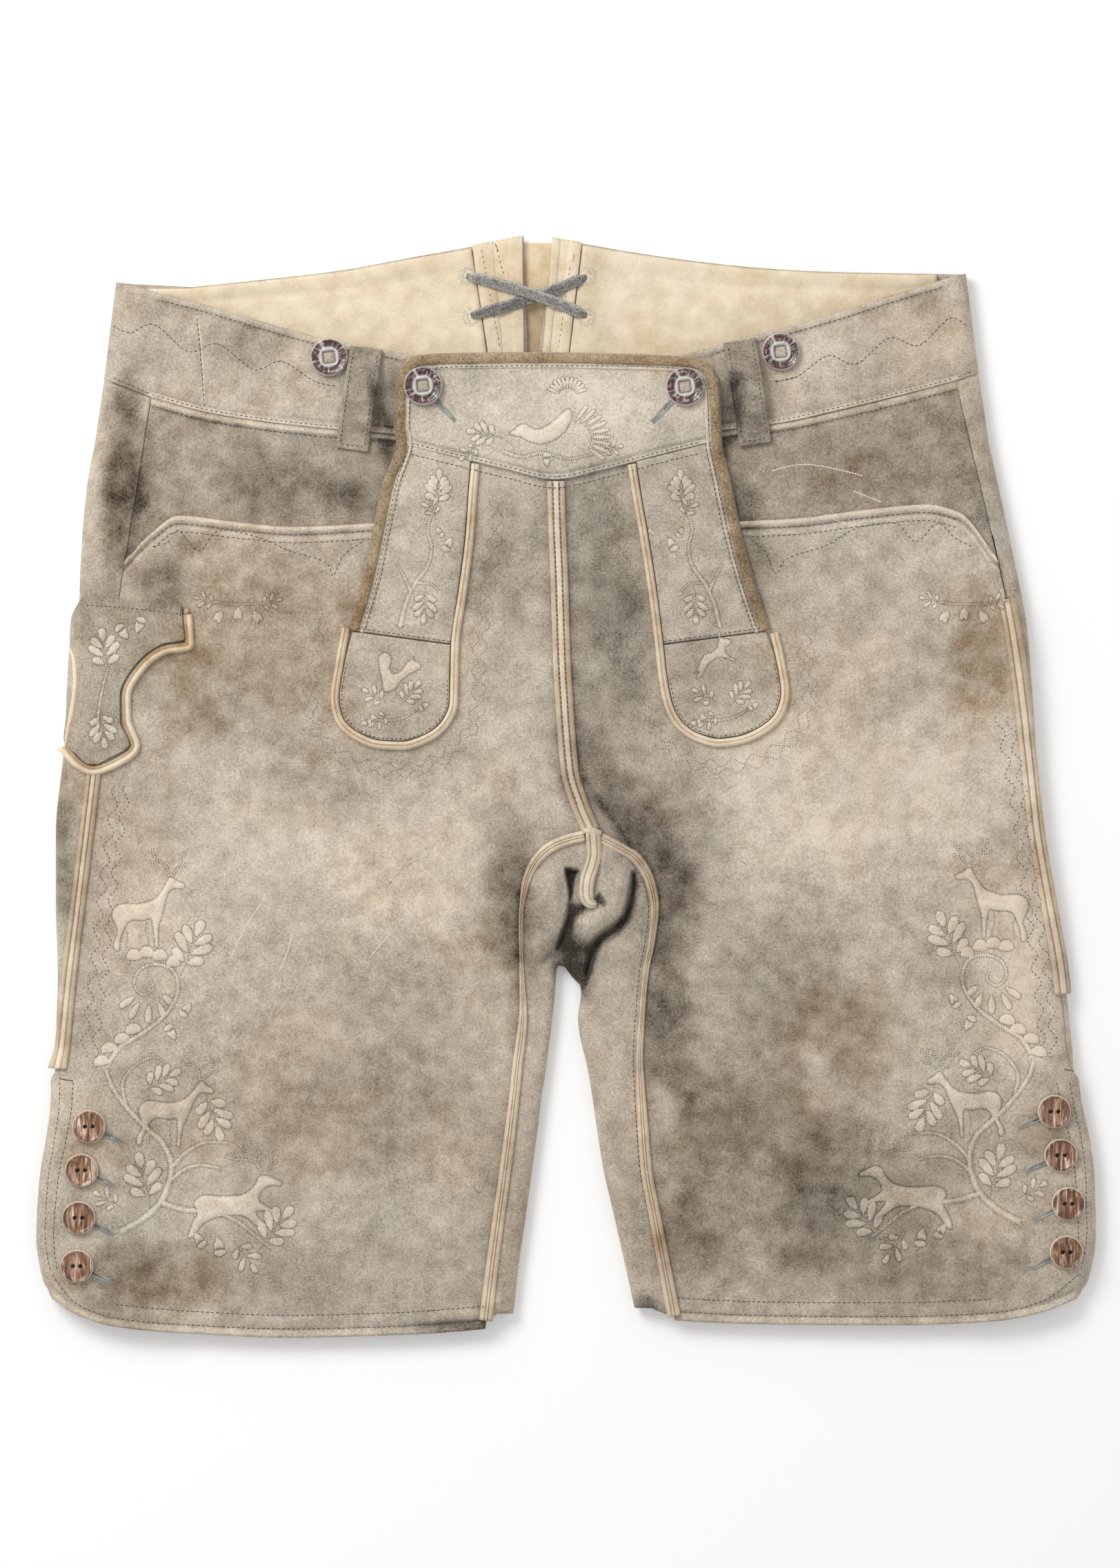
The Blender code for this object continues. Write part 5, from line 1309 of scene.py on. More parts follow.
for side in SIGN:
    points = stacked(LEG[side], "seam_x", "seam_y")
    points[0] = points[0] + (points[1] - points[0]) * 0.38
    points[-1] = points[-2] + (points[-1] - points[-2]) * 0.97
    offsets, heights, shades = triple(6.0, 1.8, edge=0.22, outer=0.02)
    strip = welt("inseam_strip_" + side, points, offsets, heights, lambda x, y: 0.3, cream,
                 shades=shades * 0.6, sizes=INSEAM_SIZES[side])
    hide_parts("inseam_strip_" + side)

for side, ys, profile in (
    ("right", np.linspace(7.5, SLIT_Y + 3.0, 30), triple(7.8, 1.9, edge=0.34)),
    ("left", np.linspace(100, -112.0, 40), triple(8.4, 1.9)),
):
    offsets, heights, shades = profile
    points = np.column_stack((seam_x(side, ys), ys))
    strip = welt("side_strip_" + side, points, offsets, heights, lambda x, y: panel_lift(x, y) + 0.4,
                 cream, shades=shades)
    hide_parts("side_strip_" + side)

points = np.array([(9.8, -24), (14, -24.6), (19.4, -25.6)])
knot = welt("crotch_tack", points, *half_round(5.2, 3.4), lambda x, y: 0.6, cream, step=0.7, dark=-0.02,
            sizes=((0, 0.5), (0.3, 0.9), (0.6, 1), (1, 0.5)))
points = np.array([(16.6, -63.6), (14.2, -63.4), (12, -61.4), (11, -57), (11.7, -50.2),
                   (14, -43), (15.4, -36.5), (15.1, -30.5), (14.7, -25.4)])
offsets, heights, shades = triple(8.2, 1.9, edge=0.42)
strip = welt("seat_strip", points, offsets, heights, lambda x, y: 1.9, cream, step=0.9, dark=0.02,
             shades=shades * 0.6, sizes=((0, 0.35), (0.06, 0.7), (0.16, 0.95), (1, 1)))
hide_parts("seat_strip")


# ---------------------------------------------------------------------------------------------
# Knife pocket. A pointed pocket of hide on the right thigh, laid over the side seam and bound
# with cream piping down its inner side and point.

KNIFE_POCKET = table(
    "outer_x outer_y inner_x inner_y",
    (-258, 101.5, -206.5, 97), (-262.5, 90, -204.5, 79), (-264, 76, -216.5, 76),
    (-264.5, 62, -231.5, 64.5), (-265.5, 48, -239.5, 48), (-266.5, 36, -239.5, 35),
    (-268, 25, -234.5, 22.5), (-261, 15, -246, 14.5),
)
KNIFE_PIPING = table(
    "x y",
    (-203, 96.5), (-201.8, 75.5), (-215.5, 72.6), (-229, 62), (-236, 47.5), (-235.8, 36), (-231, 21.5),
    (-244, 11), (-254, 8), (-262, 11.5), (-268.8, 20.5),
)

outs = stacked(KNIFE_POCKET, "outer_x", "outer_y")
ins = stacked(KNIFE_POCKET, "inner_x", "inner_y")
outs[:, 0] = np.maximum(outs[:, 0], fold_x("right", outs[:, 1]) + 0.3)
outs = np.concatenate((outs, [(-257, 11.6)]))
ins = np.concatenate((ins, [(-251.5, 11.6)]))


def knife_lift(x, y):
    return panel_lift(x, y) + LAYER + 0.3 + 0.2 * cloud(x, y, 9.0, 71)


grid = between_lines(outs, ins, knife_lift, down=80, across=50)
pocket = hide_piece("knife_pocket", [grid], dark=0.09, brown=0.1)
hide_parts("knife_pocket")
offsets, heights, shades = corded(5.0, 2.7, tan_side=1)
knife_line = stacked(KNIFE_PIPING)
knife_line[0, 1] = 91.8
piping = welt("knife_pocket_piping", knife_line, offsets, heights + 0.3,
              lambda x, y: panel_lift(x, y) + 0.4, cream, dark=-0.22, brown=0.05, shades=shades)
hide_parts("knife_pocket_piping")
knob = welt("knife_pocket_knob", np.array(((-203.2, 95.6), (-203.6, 91.2))), *half_round(4.2, 3.1),
            lambda x, y: panel_lift(x, y) + 0.6, cream, dark=0.12, brown=0.5,
            sizes=((0, 0.3), (0.3, 0.95), (0.7, 0.95), (1, 0.3)))
OUTER_PIPING = ((-267.8, 19), (-265.9, 29), (-263.6, 39.5), (-262, 50), (-261.2, 60),
                (-261.5, 67), (-262.8, 74))
offsets, heights, shades = corded(3.0, 1.9, tan_side=1)
piping = welt("knife_pocket_outer_piping", np.array(OUTER_PIPING), offsets, heights,
              lambda x, y: panel_lift(x, y) + 1.3, cream, dark=-0.16, brown=0.1, shades=shades,
              sizes=((0, 0.35), (0.15, 0.8), (0.4, 1), (0.8, 1), (1, 0.45)))


# ---------------------------------------------------------------------------------------------
# Belt loops. A strap of hide each side of the drop front, sewn at both ends and arched between.
# Each lies across the waistband, from near its top to just below its seam.

BELT_LOOP = each_side(
    "top_x top_y low_x low_y", ((-107, 235, -114.8, 180.5),), ((93.5, 239, 102, 183.3),)
)


def loop_ends(side):
    """The middles of a belt loop's upper and lower end."""
    ends = BELT_LOOP[side]
    return stacked(ends, "top_x", "top_y")[0], stacked(ends, "low_x", "low_y")[0]


LOOP_WIDTH = 17.5
for side in SIGN:
    top, low = loop_ends(side)
    square = course(low, top)[1] * LOOP_WIDTH / 2
    share = np.linspace(0, 1, 70)
    arch = ramp(share, 0.12, 0.30) * (1 - ramp(share, 0.68, 0.86))
    across = np.linspace(-1, 1, 26)
    at = top + (low - top) * share[:, None, None] + square * across[None, :, None]
    ridge = 0.5 * swell(np.abs(across), 0.8, 0.12)
    lift = LAYER + 0.2 + 4.6 * arch[:, None] + ridge[None, :]
    loop = hide_piece("belt_loop_" + side, [on_top(at[..., 0], at[..., 1], lift)], dark=0.22)
    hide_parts("belt_loop_" + side)


# ---------------------------------------------------------------------------------------------
# Rolled edge. A cord of brown suede sewn round the top and the outer sides of the drop front,
# with a thin bead of hide along its inner side.

roll_hide = leather_material(
    "brown_suede", linear(196, 176, 146), linear(74, 60, 46), linear(208, 182, 142),
    speckle=1.1, grain=1.6, rough=0.95, napped=0.4
)
top = stacked(BAND, "x", "top_y")[1:-1]
right_side = stacked(BIB_STRIP["right"], "outer_x", "outer_y")
left_side = stacked(BIB_STRIP["left"], "outer_x", "outer_y")
around = np.concatenate((
    right_side[::-1] + (1.2, 0),
    [(-89, 196), (-88.4, 212), (-85.5, 222.5), (-79, 228)],
    top[1:-1] + (0, -2.4),
    [(68, 227), (76, 222.5), (79.5, 213), (80.5, 197)],
    left_side + (-1.2, 0),
))
offsets, heights = half_round(6.2, 2.6)
roll = welt("bib_rolled_edge", around, offsets, heights, lambda x, y: drop_lift(y) - 0.9, roll_hide,
            brown=0.3)
around = beside(evenly(around, 260), 4.6)
offsets, heights = half_round(2.0, 0.9, count=7)
bead = welt("bib_edge_bead", around, offsets, heights, lambda x, y: drop_lift(y) - 0.1, hide, dark=-0.06)


# ---------------------------------------------------------------------------------------------
# Stitching. Grey linen thread along every seam, edge and pocket, in rows of short stitches
# that sit on the leather, and pairs of wavy rows beside the side seams and round the tongues.

def thread_material(name, dark, pale):
    """Matt thread, uneven in tone from stitch to stitch."""
    made = bpy.data.materials.new(name)
    made.use_nodes = True
    tree = made.node_tree
    place = joined(tree, "ShaderNodeTexCoord").outputs["Object"]
    links = [("Vector", place), ("Scale", 180.0), ("Detail", 2.0)]
    fade = joined(tree, "ShaderNodeTexNoise", links).outputs["Fac"]
    shades = joined(tree, "ShaderNodeValToRGB", [(0, fade)])
    for stop, position, colour in zip(shades.color_ramp.elements, (0.3, 0.7), (dark, pale)):
        stop.position = position
        stop.color = linear(*colour)
    tree.links.new(shades.outputs[0], tree.nodes["Principled BSDF"].inputs["Base Color"])
    tree.nodes["Principled BSDF"].inputs["Roughness"].default_value = 0.8
    return made


linen = thread_material("linen_thread", (58, 60, 68), (98, 98, 102))


def top_faces():
    """All leather made so far, as one tree that a thread can be laid down on."""
    corners, faces = [], []
    for obj in bpy.context.scene.objects:
        if obj.type != "MESH" or not obj.name.endswith(("_leather", "_strip", "_edge")):
            continue
        first = len(corners)
        corners += [v.co.copy() for v in obj.data.vertices]
        faces += [[first + i for i in p.vertices] for p in obj.data.polygons]
    return BVHTree.FromPolygons(corners, faces)


garment_top = top_faces()
DOWN = Vector((0, 0, -1))


def drop_onto(points):
    """Plan points in millimetres, set down on the top of the leather."""
    found = []
    for x, y in np.asarray(points, float):
        start = Vector(((x - MIDDLE[0]) * MM, (y - MIDDLE[1]) * MM, 0.06))
        hit = garment_top.ray_cast(start, DOWN)[0]
        found.append((x, y, hit.z / MM if hit else 1.0))
    return np.array(found)


def dense(points, step=0.5):
    """A smooth plan line through its stations, or a straight one through two, in short steps."""
    points = np.asarray(points, float)
    length = np.hypot(*np.diff(points, axis=0).T).sum()
    return evenly(points, max(int(length / step), 3))


def rounded(points, step=0.5, closed=False):
    """A flowing plan line through its stations (Catmull-Rom), closed or open."""
    points = np.asarray(points, float)
    if closed:
        ring = np.concatenate((points[-1:], points, points[:2]))
    else:
        ring = np.concatenate((2 * points[:1] - points[1:2], points, 2 * points[-1:] - points[-2:-1]))
    parts = []
    for a, b, c, d in zip(ring, ring[1:], ring[2:], ring[3:]):
        count = max(int(np.hypot(*(c - b)) / step), 2)
        t = np.linspace(0, 1, count, endpoint=False)[:, None]
        parts.append(0.5 * (2 * b + (c - a) * t + (2 * a - 5 * b + 4 * c - d) * t**2
                            + (3 * b - a - 3 * c + d) * t**3))
    if not closed:
        parts.append(points[-1:])
    return np.concatenate(parts)


def wavy(points, period, height, step, phase):
    """A plan line that swings from side to side as it runs."""
    line = dense(points, step=step)
    swing = height * np.sin(2 * np.pi * travelled(line) / period + phase)
    return line + square_to(line) * swing[:, None]


def stitch_points(lines, pitch, length):
    """The two ends of every stitch along some plan lines."""
    starts, ends = [], []
    for line in lines:
        along = travelled(line)
        at = np.arange(pitch * 0.3, along[-1] - length, pitch)
        for goal, held in ((at, starts), (at + length, ends)):
            held.append(np.column_stack((np.interp(goal, along, line[:, 0]),
                                         np.interp(goal, along, line[:, 1]))))
    return np.concatenate(starts), np.concatenate(ends)


def stitches(name, lines, pitch=2.7, length=2.45, width=0.5, proud=0.22, made=linen, under=(),
             slot="thread"):
    """Rows of stitches along some plan lines, as one mesh."""
    grains(name, *stitch_points(lines, pitch, length), width, proud, made, under, slot)


def grains(name, starts, ends, width, proud, made, under=(), slot="thread"):
    """Stitches as one mesh: each is a grain of thread with its ends in the leather. None is made
    inside one of the outlines in under, nor off the leather."""
    for outline in under:
        keep = ~inside_of((starts + ends) / 2, np.asarray(outline, float))
        starts, ends = starts[keep], ends[keep]
    a, b = drop_onto(starts), drop_onto(ends)
    middle = drop_onto((starts + ends) / 2)
    on_leather = (a[:, 2] > 1.5) & (b[:, 2] > 1.5) & (middle[:, 2] > 1.5)
    starts, ends, a, b, middle = (part[on_leather] for part in (starts, ends, a, b, middle))
    run = ends - starts
    run = run / np.hypot(*run.T)[:, None]
    square = np.column_stack((run[:, 1], -run[:, 0], 0 * run[:, 0])) * width / 2
    up = np.array((0.0, 0.0, 1.0))
    sunk = 0.12
    short = np.hypot(*(ends - starts).T).max() < 1.6
    rings = [a - up * sunk]
    for share in ((0.5,) if short else (0.25, 0.75)):
        at = middle + (b - a) * (share - 0.5)
        at[:, 2] = middle[:, 2]
        rings += [at + square, at + up * proud, at - square, at - up * 0.2]
    rings.append(b - up * sunk)
    points = np.stack(rings, axis=1).reshape(-1, 3)
    count = len(rings)
    each = [(0, k, k % 4 + 1) for k in (1, 2, 3, 4)]
    if not short:
        each += [(k, k + 4, k % 4 + 5, k % 4 + 1) for k in (1, 2, 3, 4)]
    first = count - 5
    each += [(first + k, count - 1, first + (k + 1) % 4) for k in (0, 1, 2, 3)]
    faces = [tuple(count * k + i for i in face) for k in range(len(a)) for face in each]
    obj = mesh_of(name, points, faces, made)
    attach(obj, "root")


waist_rows = []
for side in SIGN:
    sign = SIGN[side]
    low = edges_at(WAIST_FRONT[side], 0.0)
    top = edges_at(WAIST_FRONT[side], 1.0)
    fold = edges_at(WAIST_FOLD[side], 0.0)[0]
    waist_rows += [
        dense(top - (0, 4)),
        dense(low + (0, 1.6)),
        dense(low[2:] - (0, 4.6)),
        dense([(low[-1][0], low[-1][1] + 1.6), (fold[0] + sign * -3, fold[1] + 1.6)]),
    ]
WAIST_WAVE = {
    "right": ((-244.4, 247.4), (-237, 244), (-232.9, 243.3), (-221, 247.7), (-202.7, 233.2),
              (-187.1, 237.3), (-167.4, 223.6), (-152.9, 228), (-134.7, 217.2), (-121, 214.3)),
    "left": ((216, 247), (206, 251), (190, 236.5), (174, 240.5), (156, 226.5),
             (141, 231), (124, 219.5), (110, 217)),
}
waist_rows += [rounded(WAIST_WAVE[side]) for side in SIGN]
waist_rows += [dense(((112, 216.5), (124, 219.8))), dense(((-198.3, 255.2), (-193.8, 202.4)))]
BIB_OUTLINE = [(-92, 180), (-92, 226), (-84, 234), (78, 234), (86, 224), (86, 180)]
loop_outlines = []
for side in SIGN:
    top, low = loop_ends(side)
    loop_outlines.append([top + (-9.5, 2), top + (9.5, 2), low + (9.5, -2), low - (9.5, 2)])
stitches("waistband_stitching", waist_rows, under=[BIB_OUTLINE] + loop_outlines)

band_rows = [
    rounded([(-84, 190), (-83.5, 210), (-80.5, 219), (-72, 223.8), (-40, 225),
             (-6, 225.2), (40, 224.8), (66, 223), (73.5, 218.5), (76, 210), (76.8, 191)]),
]
for gap in (1.6, -4.4):
    band_rows.append(dense(stacked(BAND, "x", "low_y")[1:-1] + (0.0, gap)))
for side in SIGN:
    outer = stacked(BIB_STRIP[side], "outer_x", "outer_y")
    inner = stacked(BIB_STRIP[side], "inner_x", "inner_y")
    sign = SIGN[side]
    band_rows.append(dense(outer - (sign * 5.6, 0.0)))
    band_rows.append(dense(outer - (sign * 7.6, 0.0)))
    band_rows.append(dense([outer[-1] + (-sign * 2, 1.2), inner[-1] + (sign * 2, 1.2)]))
stitches("drop_front_stitching", band_rows)

tongue_rows = []
strip_waves = []
for side in SIGN:
    sign = SIGN[side]
    out_line = stacked(TONGUE[side], "outer_x", "outer_y")
    in_line = stacked(TONGUE[side], "inner_x", "inner_y")
    around = np.concatenate((out_line, in_line[::-1]))
    tongue_rows.append(beside(dense(around[1:-1]), sign * 3.6))
    strip_in = stacked(BIB_STRIP[side], "inner_x", "inner_y")
    path = np.concatenate((out_line[:1] + (sign * 2, 2), out_line[1:], in_line[::-1],
                           strip_in[::-1][1:-1]))
    for away, phase in ((11, 0), (15.5, 0.5)):
        moved = beside(dense(path, step=1.0), -sign * away)[::2]
        strip_waves.append(wavy(moved, period=11.5, height=1.9, step=0.4, phase=phase))
stitches("tongue_stitching", tongue_rows, pitch=2.4, length=1.8)
stitches("tongue_wave_stitching", strip_waves, pitch=1.5, length=1.1, width=0.74, proud=0.2)

POCKET_FLOURISH = {
    "right": ((-223, 128), (-213, 131), (-208, 137.5), (-197, 126), (-186, 137),
              (-164, 133), (-148, 126), (-129, 120), (-125, 112.5), (-119, 124),
              (-108, 131.5)),
    "left": ((219, 128), (209, 133), (200, 141), (188, 131), (177, 141),
             (156, 138), (140, 129), (119, 122), (113, 113.5), (107, 126),
             (98, 132.5)),
}
pocket_rows = []
for side in SIGN:
    edge = stacked(POCKET[side])[1:]
    pocket_rows += [dense(edge[:-1] - (0, 4.3)), dense(edge[:-1] - (0, 8.6)),
                    rounded(POCKET_FLOURISH[side])]
stitches("pocket_stitching", pocket_rows, pitch=2.8, length=2.2)

loop_rows = []
for side in SIGN:
    top, low = loop_ends(side)
    across = course(low, top)[1]
    inside = (low - top) * 0.04
    for away in (-6.6, 6.6):
        loop_rows.append(dense([top + across * away + inside, low + across * away - inside]))
    loop_rows.append(dense([low + across * 7 - inside, low - across * 7 - inside]))
stitches("belt_loop_stitching", loop_rows, pitch=2.6, length=2.1)

seam_rows = []
for side in SIGN:
    sign = SIGN[side]
    if side == "left":
        seam_rows.append(beside(dense(stacked(LEG[side], "seam_x", "seam_y")[2:-1]), 3.4))
    ys = np.linspace(SLIT_ROW_TOP_Y, SLIT_HEM_Y, 40)
    slit = np.column_stack((fold_x(side, ys), ys))
    seam_rows.append(slit - (sign * SLIT_ROW, 0.0))
    seam_rows.append(slit - np.column_stack((sign * np.linspace(*SLIT_INNER_ROW[::-1], 40), 0 * ys)))
    hem = stacked(HEM[side])
    hem = hem if side == "right" else hem[::-1]
    corner = [(fold_x(side, SLIT_HEM_Y) - sign * SLIT_ROW, SLIT_HEM_Y), hem[1] + (-sign, 5.5)]
    seam_rows.append(dense(np.concatenate((corner, hem[2:-1] + (0, 4.6)))))
    seam_rows.append(dense(hem[2:-1] + (0, 12)))
stitches("seam_stitching", seam_rows)

centre = stacked(BODY, "front_x", "front_y")
centre[0, 1] = STRIP_TOP_Y
welt_rows = [beside(dense(centre), d) for d in (-1.6, 1.6)]
stitches("welt_stitching", welt_rows, pitch=2.6, length=2.0, width=0.4, proud=0.1)

right_wave = ((-241.4, 0.7), (-248.5, -50), (-254, -100), (-259.7, -148))
left_wave = ((238.5, 38), (247, -10), (255, -72), (261, -120), (262.5, -147))
side_waves = []
for line, sign in ((right_wave, 1), (left_wave, -1)):
    for away, phase in ((0, 0), (6, 0.4)):
        moved = np.array(line) + (sign * away, 0.0)
        side_waves.append(wavy(moved, period=15.0, height=2.2, step=0.4, phase=phase))
stitches("side_wave_stitching", side_waves, pitch=2.4, length=1.9, width=0.45, proud=0.15)

knife_rows = [dense(((-258, 97), (-232, 95), (-207, 92)))]
stitches("knife_pocket_stitching", knife_rows, pitch=2.4, length=1.8)


# ---------------------------------------------------------------------------------------------
# Embroidery. Deer, a bird, a hare, a squirrel, oak leaves, acorns and vines in the old hunting
# manner: padded with wool from behind, so that the leather stands up, and outlined in dotted
# grey stitches.

raised = leather_material(
    "padded_leather", linear(240, 228, 210), linear(62, 54, 46), linear(228, 204, 170),
    speckle=0.42, grain=0.6
)
padded = {"points": [], "faces": [], "edges": [], "count": 0}
dotted = []               # rows of stitches round the padding
fine = []                 # finer rows inside it


def placed(points, x, y, size=1.0, turn=0.0, flip=False):
    """A motif's plan points, sized, turned by degrees, mirrored and put in place."""
    points = np.asarray(points, float) * size
    if flip:
        points = points * (-1, 1)
    c, s = math.cos(math.radians(turn)), math.sin(math.radians(turn))
    return points @ np.array(((c, s), (-s, c))) + (x, y)


def pad(outline, height, soft, step=0.85, outlined=True):
    """Raises the leather inside a closed outline to a soft dome, with stitches round it."""
    outline = rounded(outline, step=0.8, closed=True)
    low, high = outline.min(axis=0), outline.max(axis=0)
    xs, ys = np.meshgrid(np.arange(low[0], high[0], step), np.arange(low[1], high[1], step))
    xs = xs + (np.arange(xs.shape[0]) % 2)[:, None] * step / 2
    within = np.column_stack((xs.ravel(), ys.ravel()))
    within = within[inside_of(within, outline)]
    if len(within):
        away = np.hypot(*np.moveaxis(within[:, None] - outline[None], 2, 0)).min(axis=1)
        within = within[away > 0.35]
        away = away[away > 0.35]
    else:
        away = np.zeros(0)
    plan_points = np.concatenate((outline, within))
    depth = np.concatenate((np.zeros(len(outline)), away))
    edges = [(k, (k + 1) % len(outline)) for k in range(len(outline))]
    cut = delaunay_2d_cdt([Vector(p) for p in plan_points], edges, [], 1, 1e-5)
    corners = np.array([tuple(p) for p in cut[0]])
    origin = [ids[0] if ids else 0 for ids in cut[3]]
    share = np.clip(depth[origin] / soft, 0, 1)
    rise = height * 0.75 * (0.35 * np.sqrt(1 - (1 - share) ** 2) + 0.65 * ramp(share, 0, 1)) - 0.08
    down = drop_onto(corners)
    down[:, 2] = down[:, 2] + rise
    first = padded["count"]
    padded["points"].append(down)
    # Painted shade in the groove round the padding, strongest at its outline.
    padded["edges"].append(np.clip(1 - share / 0.34, 0, 1))
    for face in cut[2]:
        a, b, c = (corners[i] for i in face)
        up = (b[0] - a[0]) * (c[1] - a[1]) - (b[1] - a[1]) * (c[0] - a[0]) > 0
        padded["faces"].append(tuple(first + i for i in (face if up else face[::-1])))
    padded["count"] += len(corners)
    if outlined:
        dotted.append(np.concatenate((outline, outline[:1])))


def teardrop(x, y, length, width, turn):
    """A finger of a leaf: pointed where it starts and round at its end."""
    shape = [(0, 0), (0.35, 0.42), (0.75, 0.5), (0.98, 0.22), (0.98, -0.22), (0.75, -0.5), (0.35, -0.42)]
    return placed(np.array(shape) * (length, width), x, y, 1.0, turn)


def leaf_parts(pairs):
    """An oak leaf that points up, as fingers along a vein of length 10."""
    parts = []
    for k in range(pairs):
        at = 1.6 + k * 6.4 / pairs
        reach = (4.0, 5.2, 4.4, 3.6)[k]
        for way in (-1, 1):
            parts.append((way * 0.25, at, reach, 2.2, 90 - way * (58 - 8 * k)))
    parts.append((0.0, 7.6, 4.0, 2.3, 90))
    return parts


def oak_leaf(x, y, size, turn, flip=False, pairs=3):
    """An oak leaf of padded fingers, with a dotted vein."""
    for px, py, length, width, angle in leaf_parts(pairs):
        pad(placed(teardrop(px, py, length, width, angle), x, y, size, turn, flip), height=0.8, soft=1.3)
    vein = [(0, -1.5), (0.3, 2), (-0.2, 5), (0, 8)]
    dotted.append(placed(rounded(vein, step=0.2), x, y, size, turn, flip))


def acorn(x, y, size, turn, flip=False):
    """An acorn with a padded cup and nut and a dotted stem."""
    cup = [(-2.3, 0), (-2, -1.5), (0, -2.3), (2, -1.5), (2.3, 0), (0, 0.5)]
    nut = [(-1.9, 0.4), (-1.8, 2.6), (-0.7, 4.6), (0, 5.3), (0.7, 4.6), (1.8, 2.6), (1.9, 0.4),
           (0, 0.9)]
    pad(placed(cup, x, y, size, turn, flip), height=0.7, soft=1.2)
    pad(placed(nut, x, y, size, turn, flip), height=1.0, soft=1.6)
    stem = rounded([(0, -2.3), (0.6, -4), (0.2, -6)], step=0.2)
    dotted.append(placed(stem, x, y, size, turn, flip))


def vine(points, wide=2.6, narrow=1.2):
    """A stem with a padded ridge that thins towards its tip, and a dotted row each side."""
    line = rounded(points, step=1.0)
    half = np.linspace(wide, narrow, len(line)) / 2
    square = square_to(line) * half[:, None]
    ring = np.concatenate((line + square, (line - square)[::-1]))
    pad(ring[::2], height=0.6, soft=1.2, outlined=False)
    for way in (-1, 1):
        dotted.append(line + square * way * 1.35)


STAG = [
    (2, 0), (5, 0), (6, 6), (8.5, 12), (11, 16.5), (15, 18), (21, 17.5), (25.5, 18), (26.5, 13),
    (26.8, 7), (27, 0.5), (29.6, 0.5), (30, 7), (31, 14), (33, 19.5), (35, 25), (36.5, 30), (38.5, 34),
    (42, 36), (46.5, 35.5), (49, 37), (48, 39.4), (44, 41.5), (41, 44), (38.5, 43.5), (36.6, 40.5),
    (34, 36.5), (30.5, 32.5), (25.5, 30), (18, 28.8), (10, 29.6), (5, 28.5), (2, 25.2), (1.2, 21),
    (3, 16.5), (4, 11.5), (2, 7), (1, 3),
]
STAG_LINES = [
    [(9, 15), (10.5, 9), (9.5, 4), (10, 0.5)], [(23, 17), (22, 11), (23.5, 5), (23, 0.5)],
    [(1.5, 24), (-1, 20), (-0.5, 15)], [(43.5, 39), (44.6, 39.3)], [(38, 44), (35.5, 46.5), (34, 44.5)],
]
ANTLERS = [
    [(39, 45), (38, 50), (34, 54), (30, 58), (30, 63)], [(38, 50), (42, 53), (43, 56)],
    [(34, 54), (29, 53.5), (26, 56)], [(31.5, 57), (34, 61), (33.5, 64)],
    [(41, 45), (45, 49), (47, 54), (46, 60)], [(45, 49), (49, 50), (51, 53)],
    [(47, 54), (50, 57), (50, 60)],
]
LEAPING = [
    (0, 3), (2.8, 2.2), (8, 7.5), (13, 9.6), (18, 10.2), (26, 9.6), (30, 7.4), (34.5, 2.5), (37.6, 1.6),
    (38.6, 3.8), (36, 7), (34.6, 10.4), (38.6, 9.6), (42.4, 7.6), (43.6, 9.8), (39.6, 13), (37, 16),
    (38.6, 19.6), (43, 21.6), (47.6, 20.8), (49, 22.6), (45.6, 25.4), (41.2, 27.6), (38, 27),
    (34.4, 22.6), (29, 20), (20, 20.4), (12, 22), (8, 21.4), (5, 18.4), (6.2, 14), (3.2, 9.6),
]
LEAPING_ANTLERS = [
    [(40, 28), (38, 33), (33, 36), (27, 37), (23, 40)], [(38, 33), (40, 37), (39, 40)],
    [(33, 36), (33, 40), (31, 43)], [(28, 37), (27, 41)], [(42, 28), (45, 32), (45, 37), (47, 40)],
    [(45, 32), (49, 34)],
]


def deer(outline, lines, antlers, x, y, size, turn, flip):
    """A padded deer with fine lines inside it and antlers in double rows of dots."""
    pad(placed(outline, x, y, size, turn, flip), height=1.3, soft=3.2)
    for line in lines:
        fine.append(placed(rounded(line, step=0.4), x, y, size, turn, flip))
    for line in antlers:
        curved = rounded(line, step=0.5)
        for gap in (0.7, -0.7):
            dotted.append(placed(beside(curved, gap), x, y, size, turn, flip))


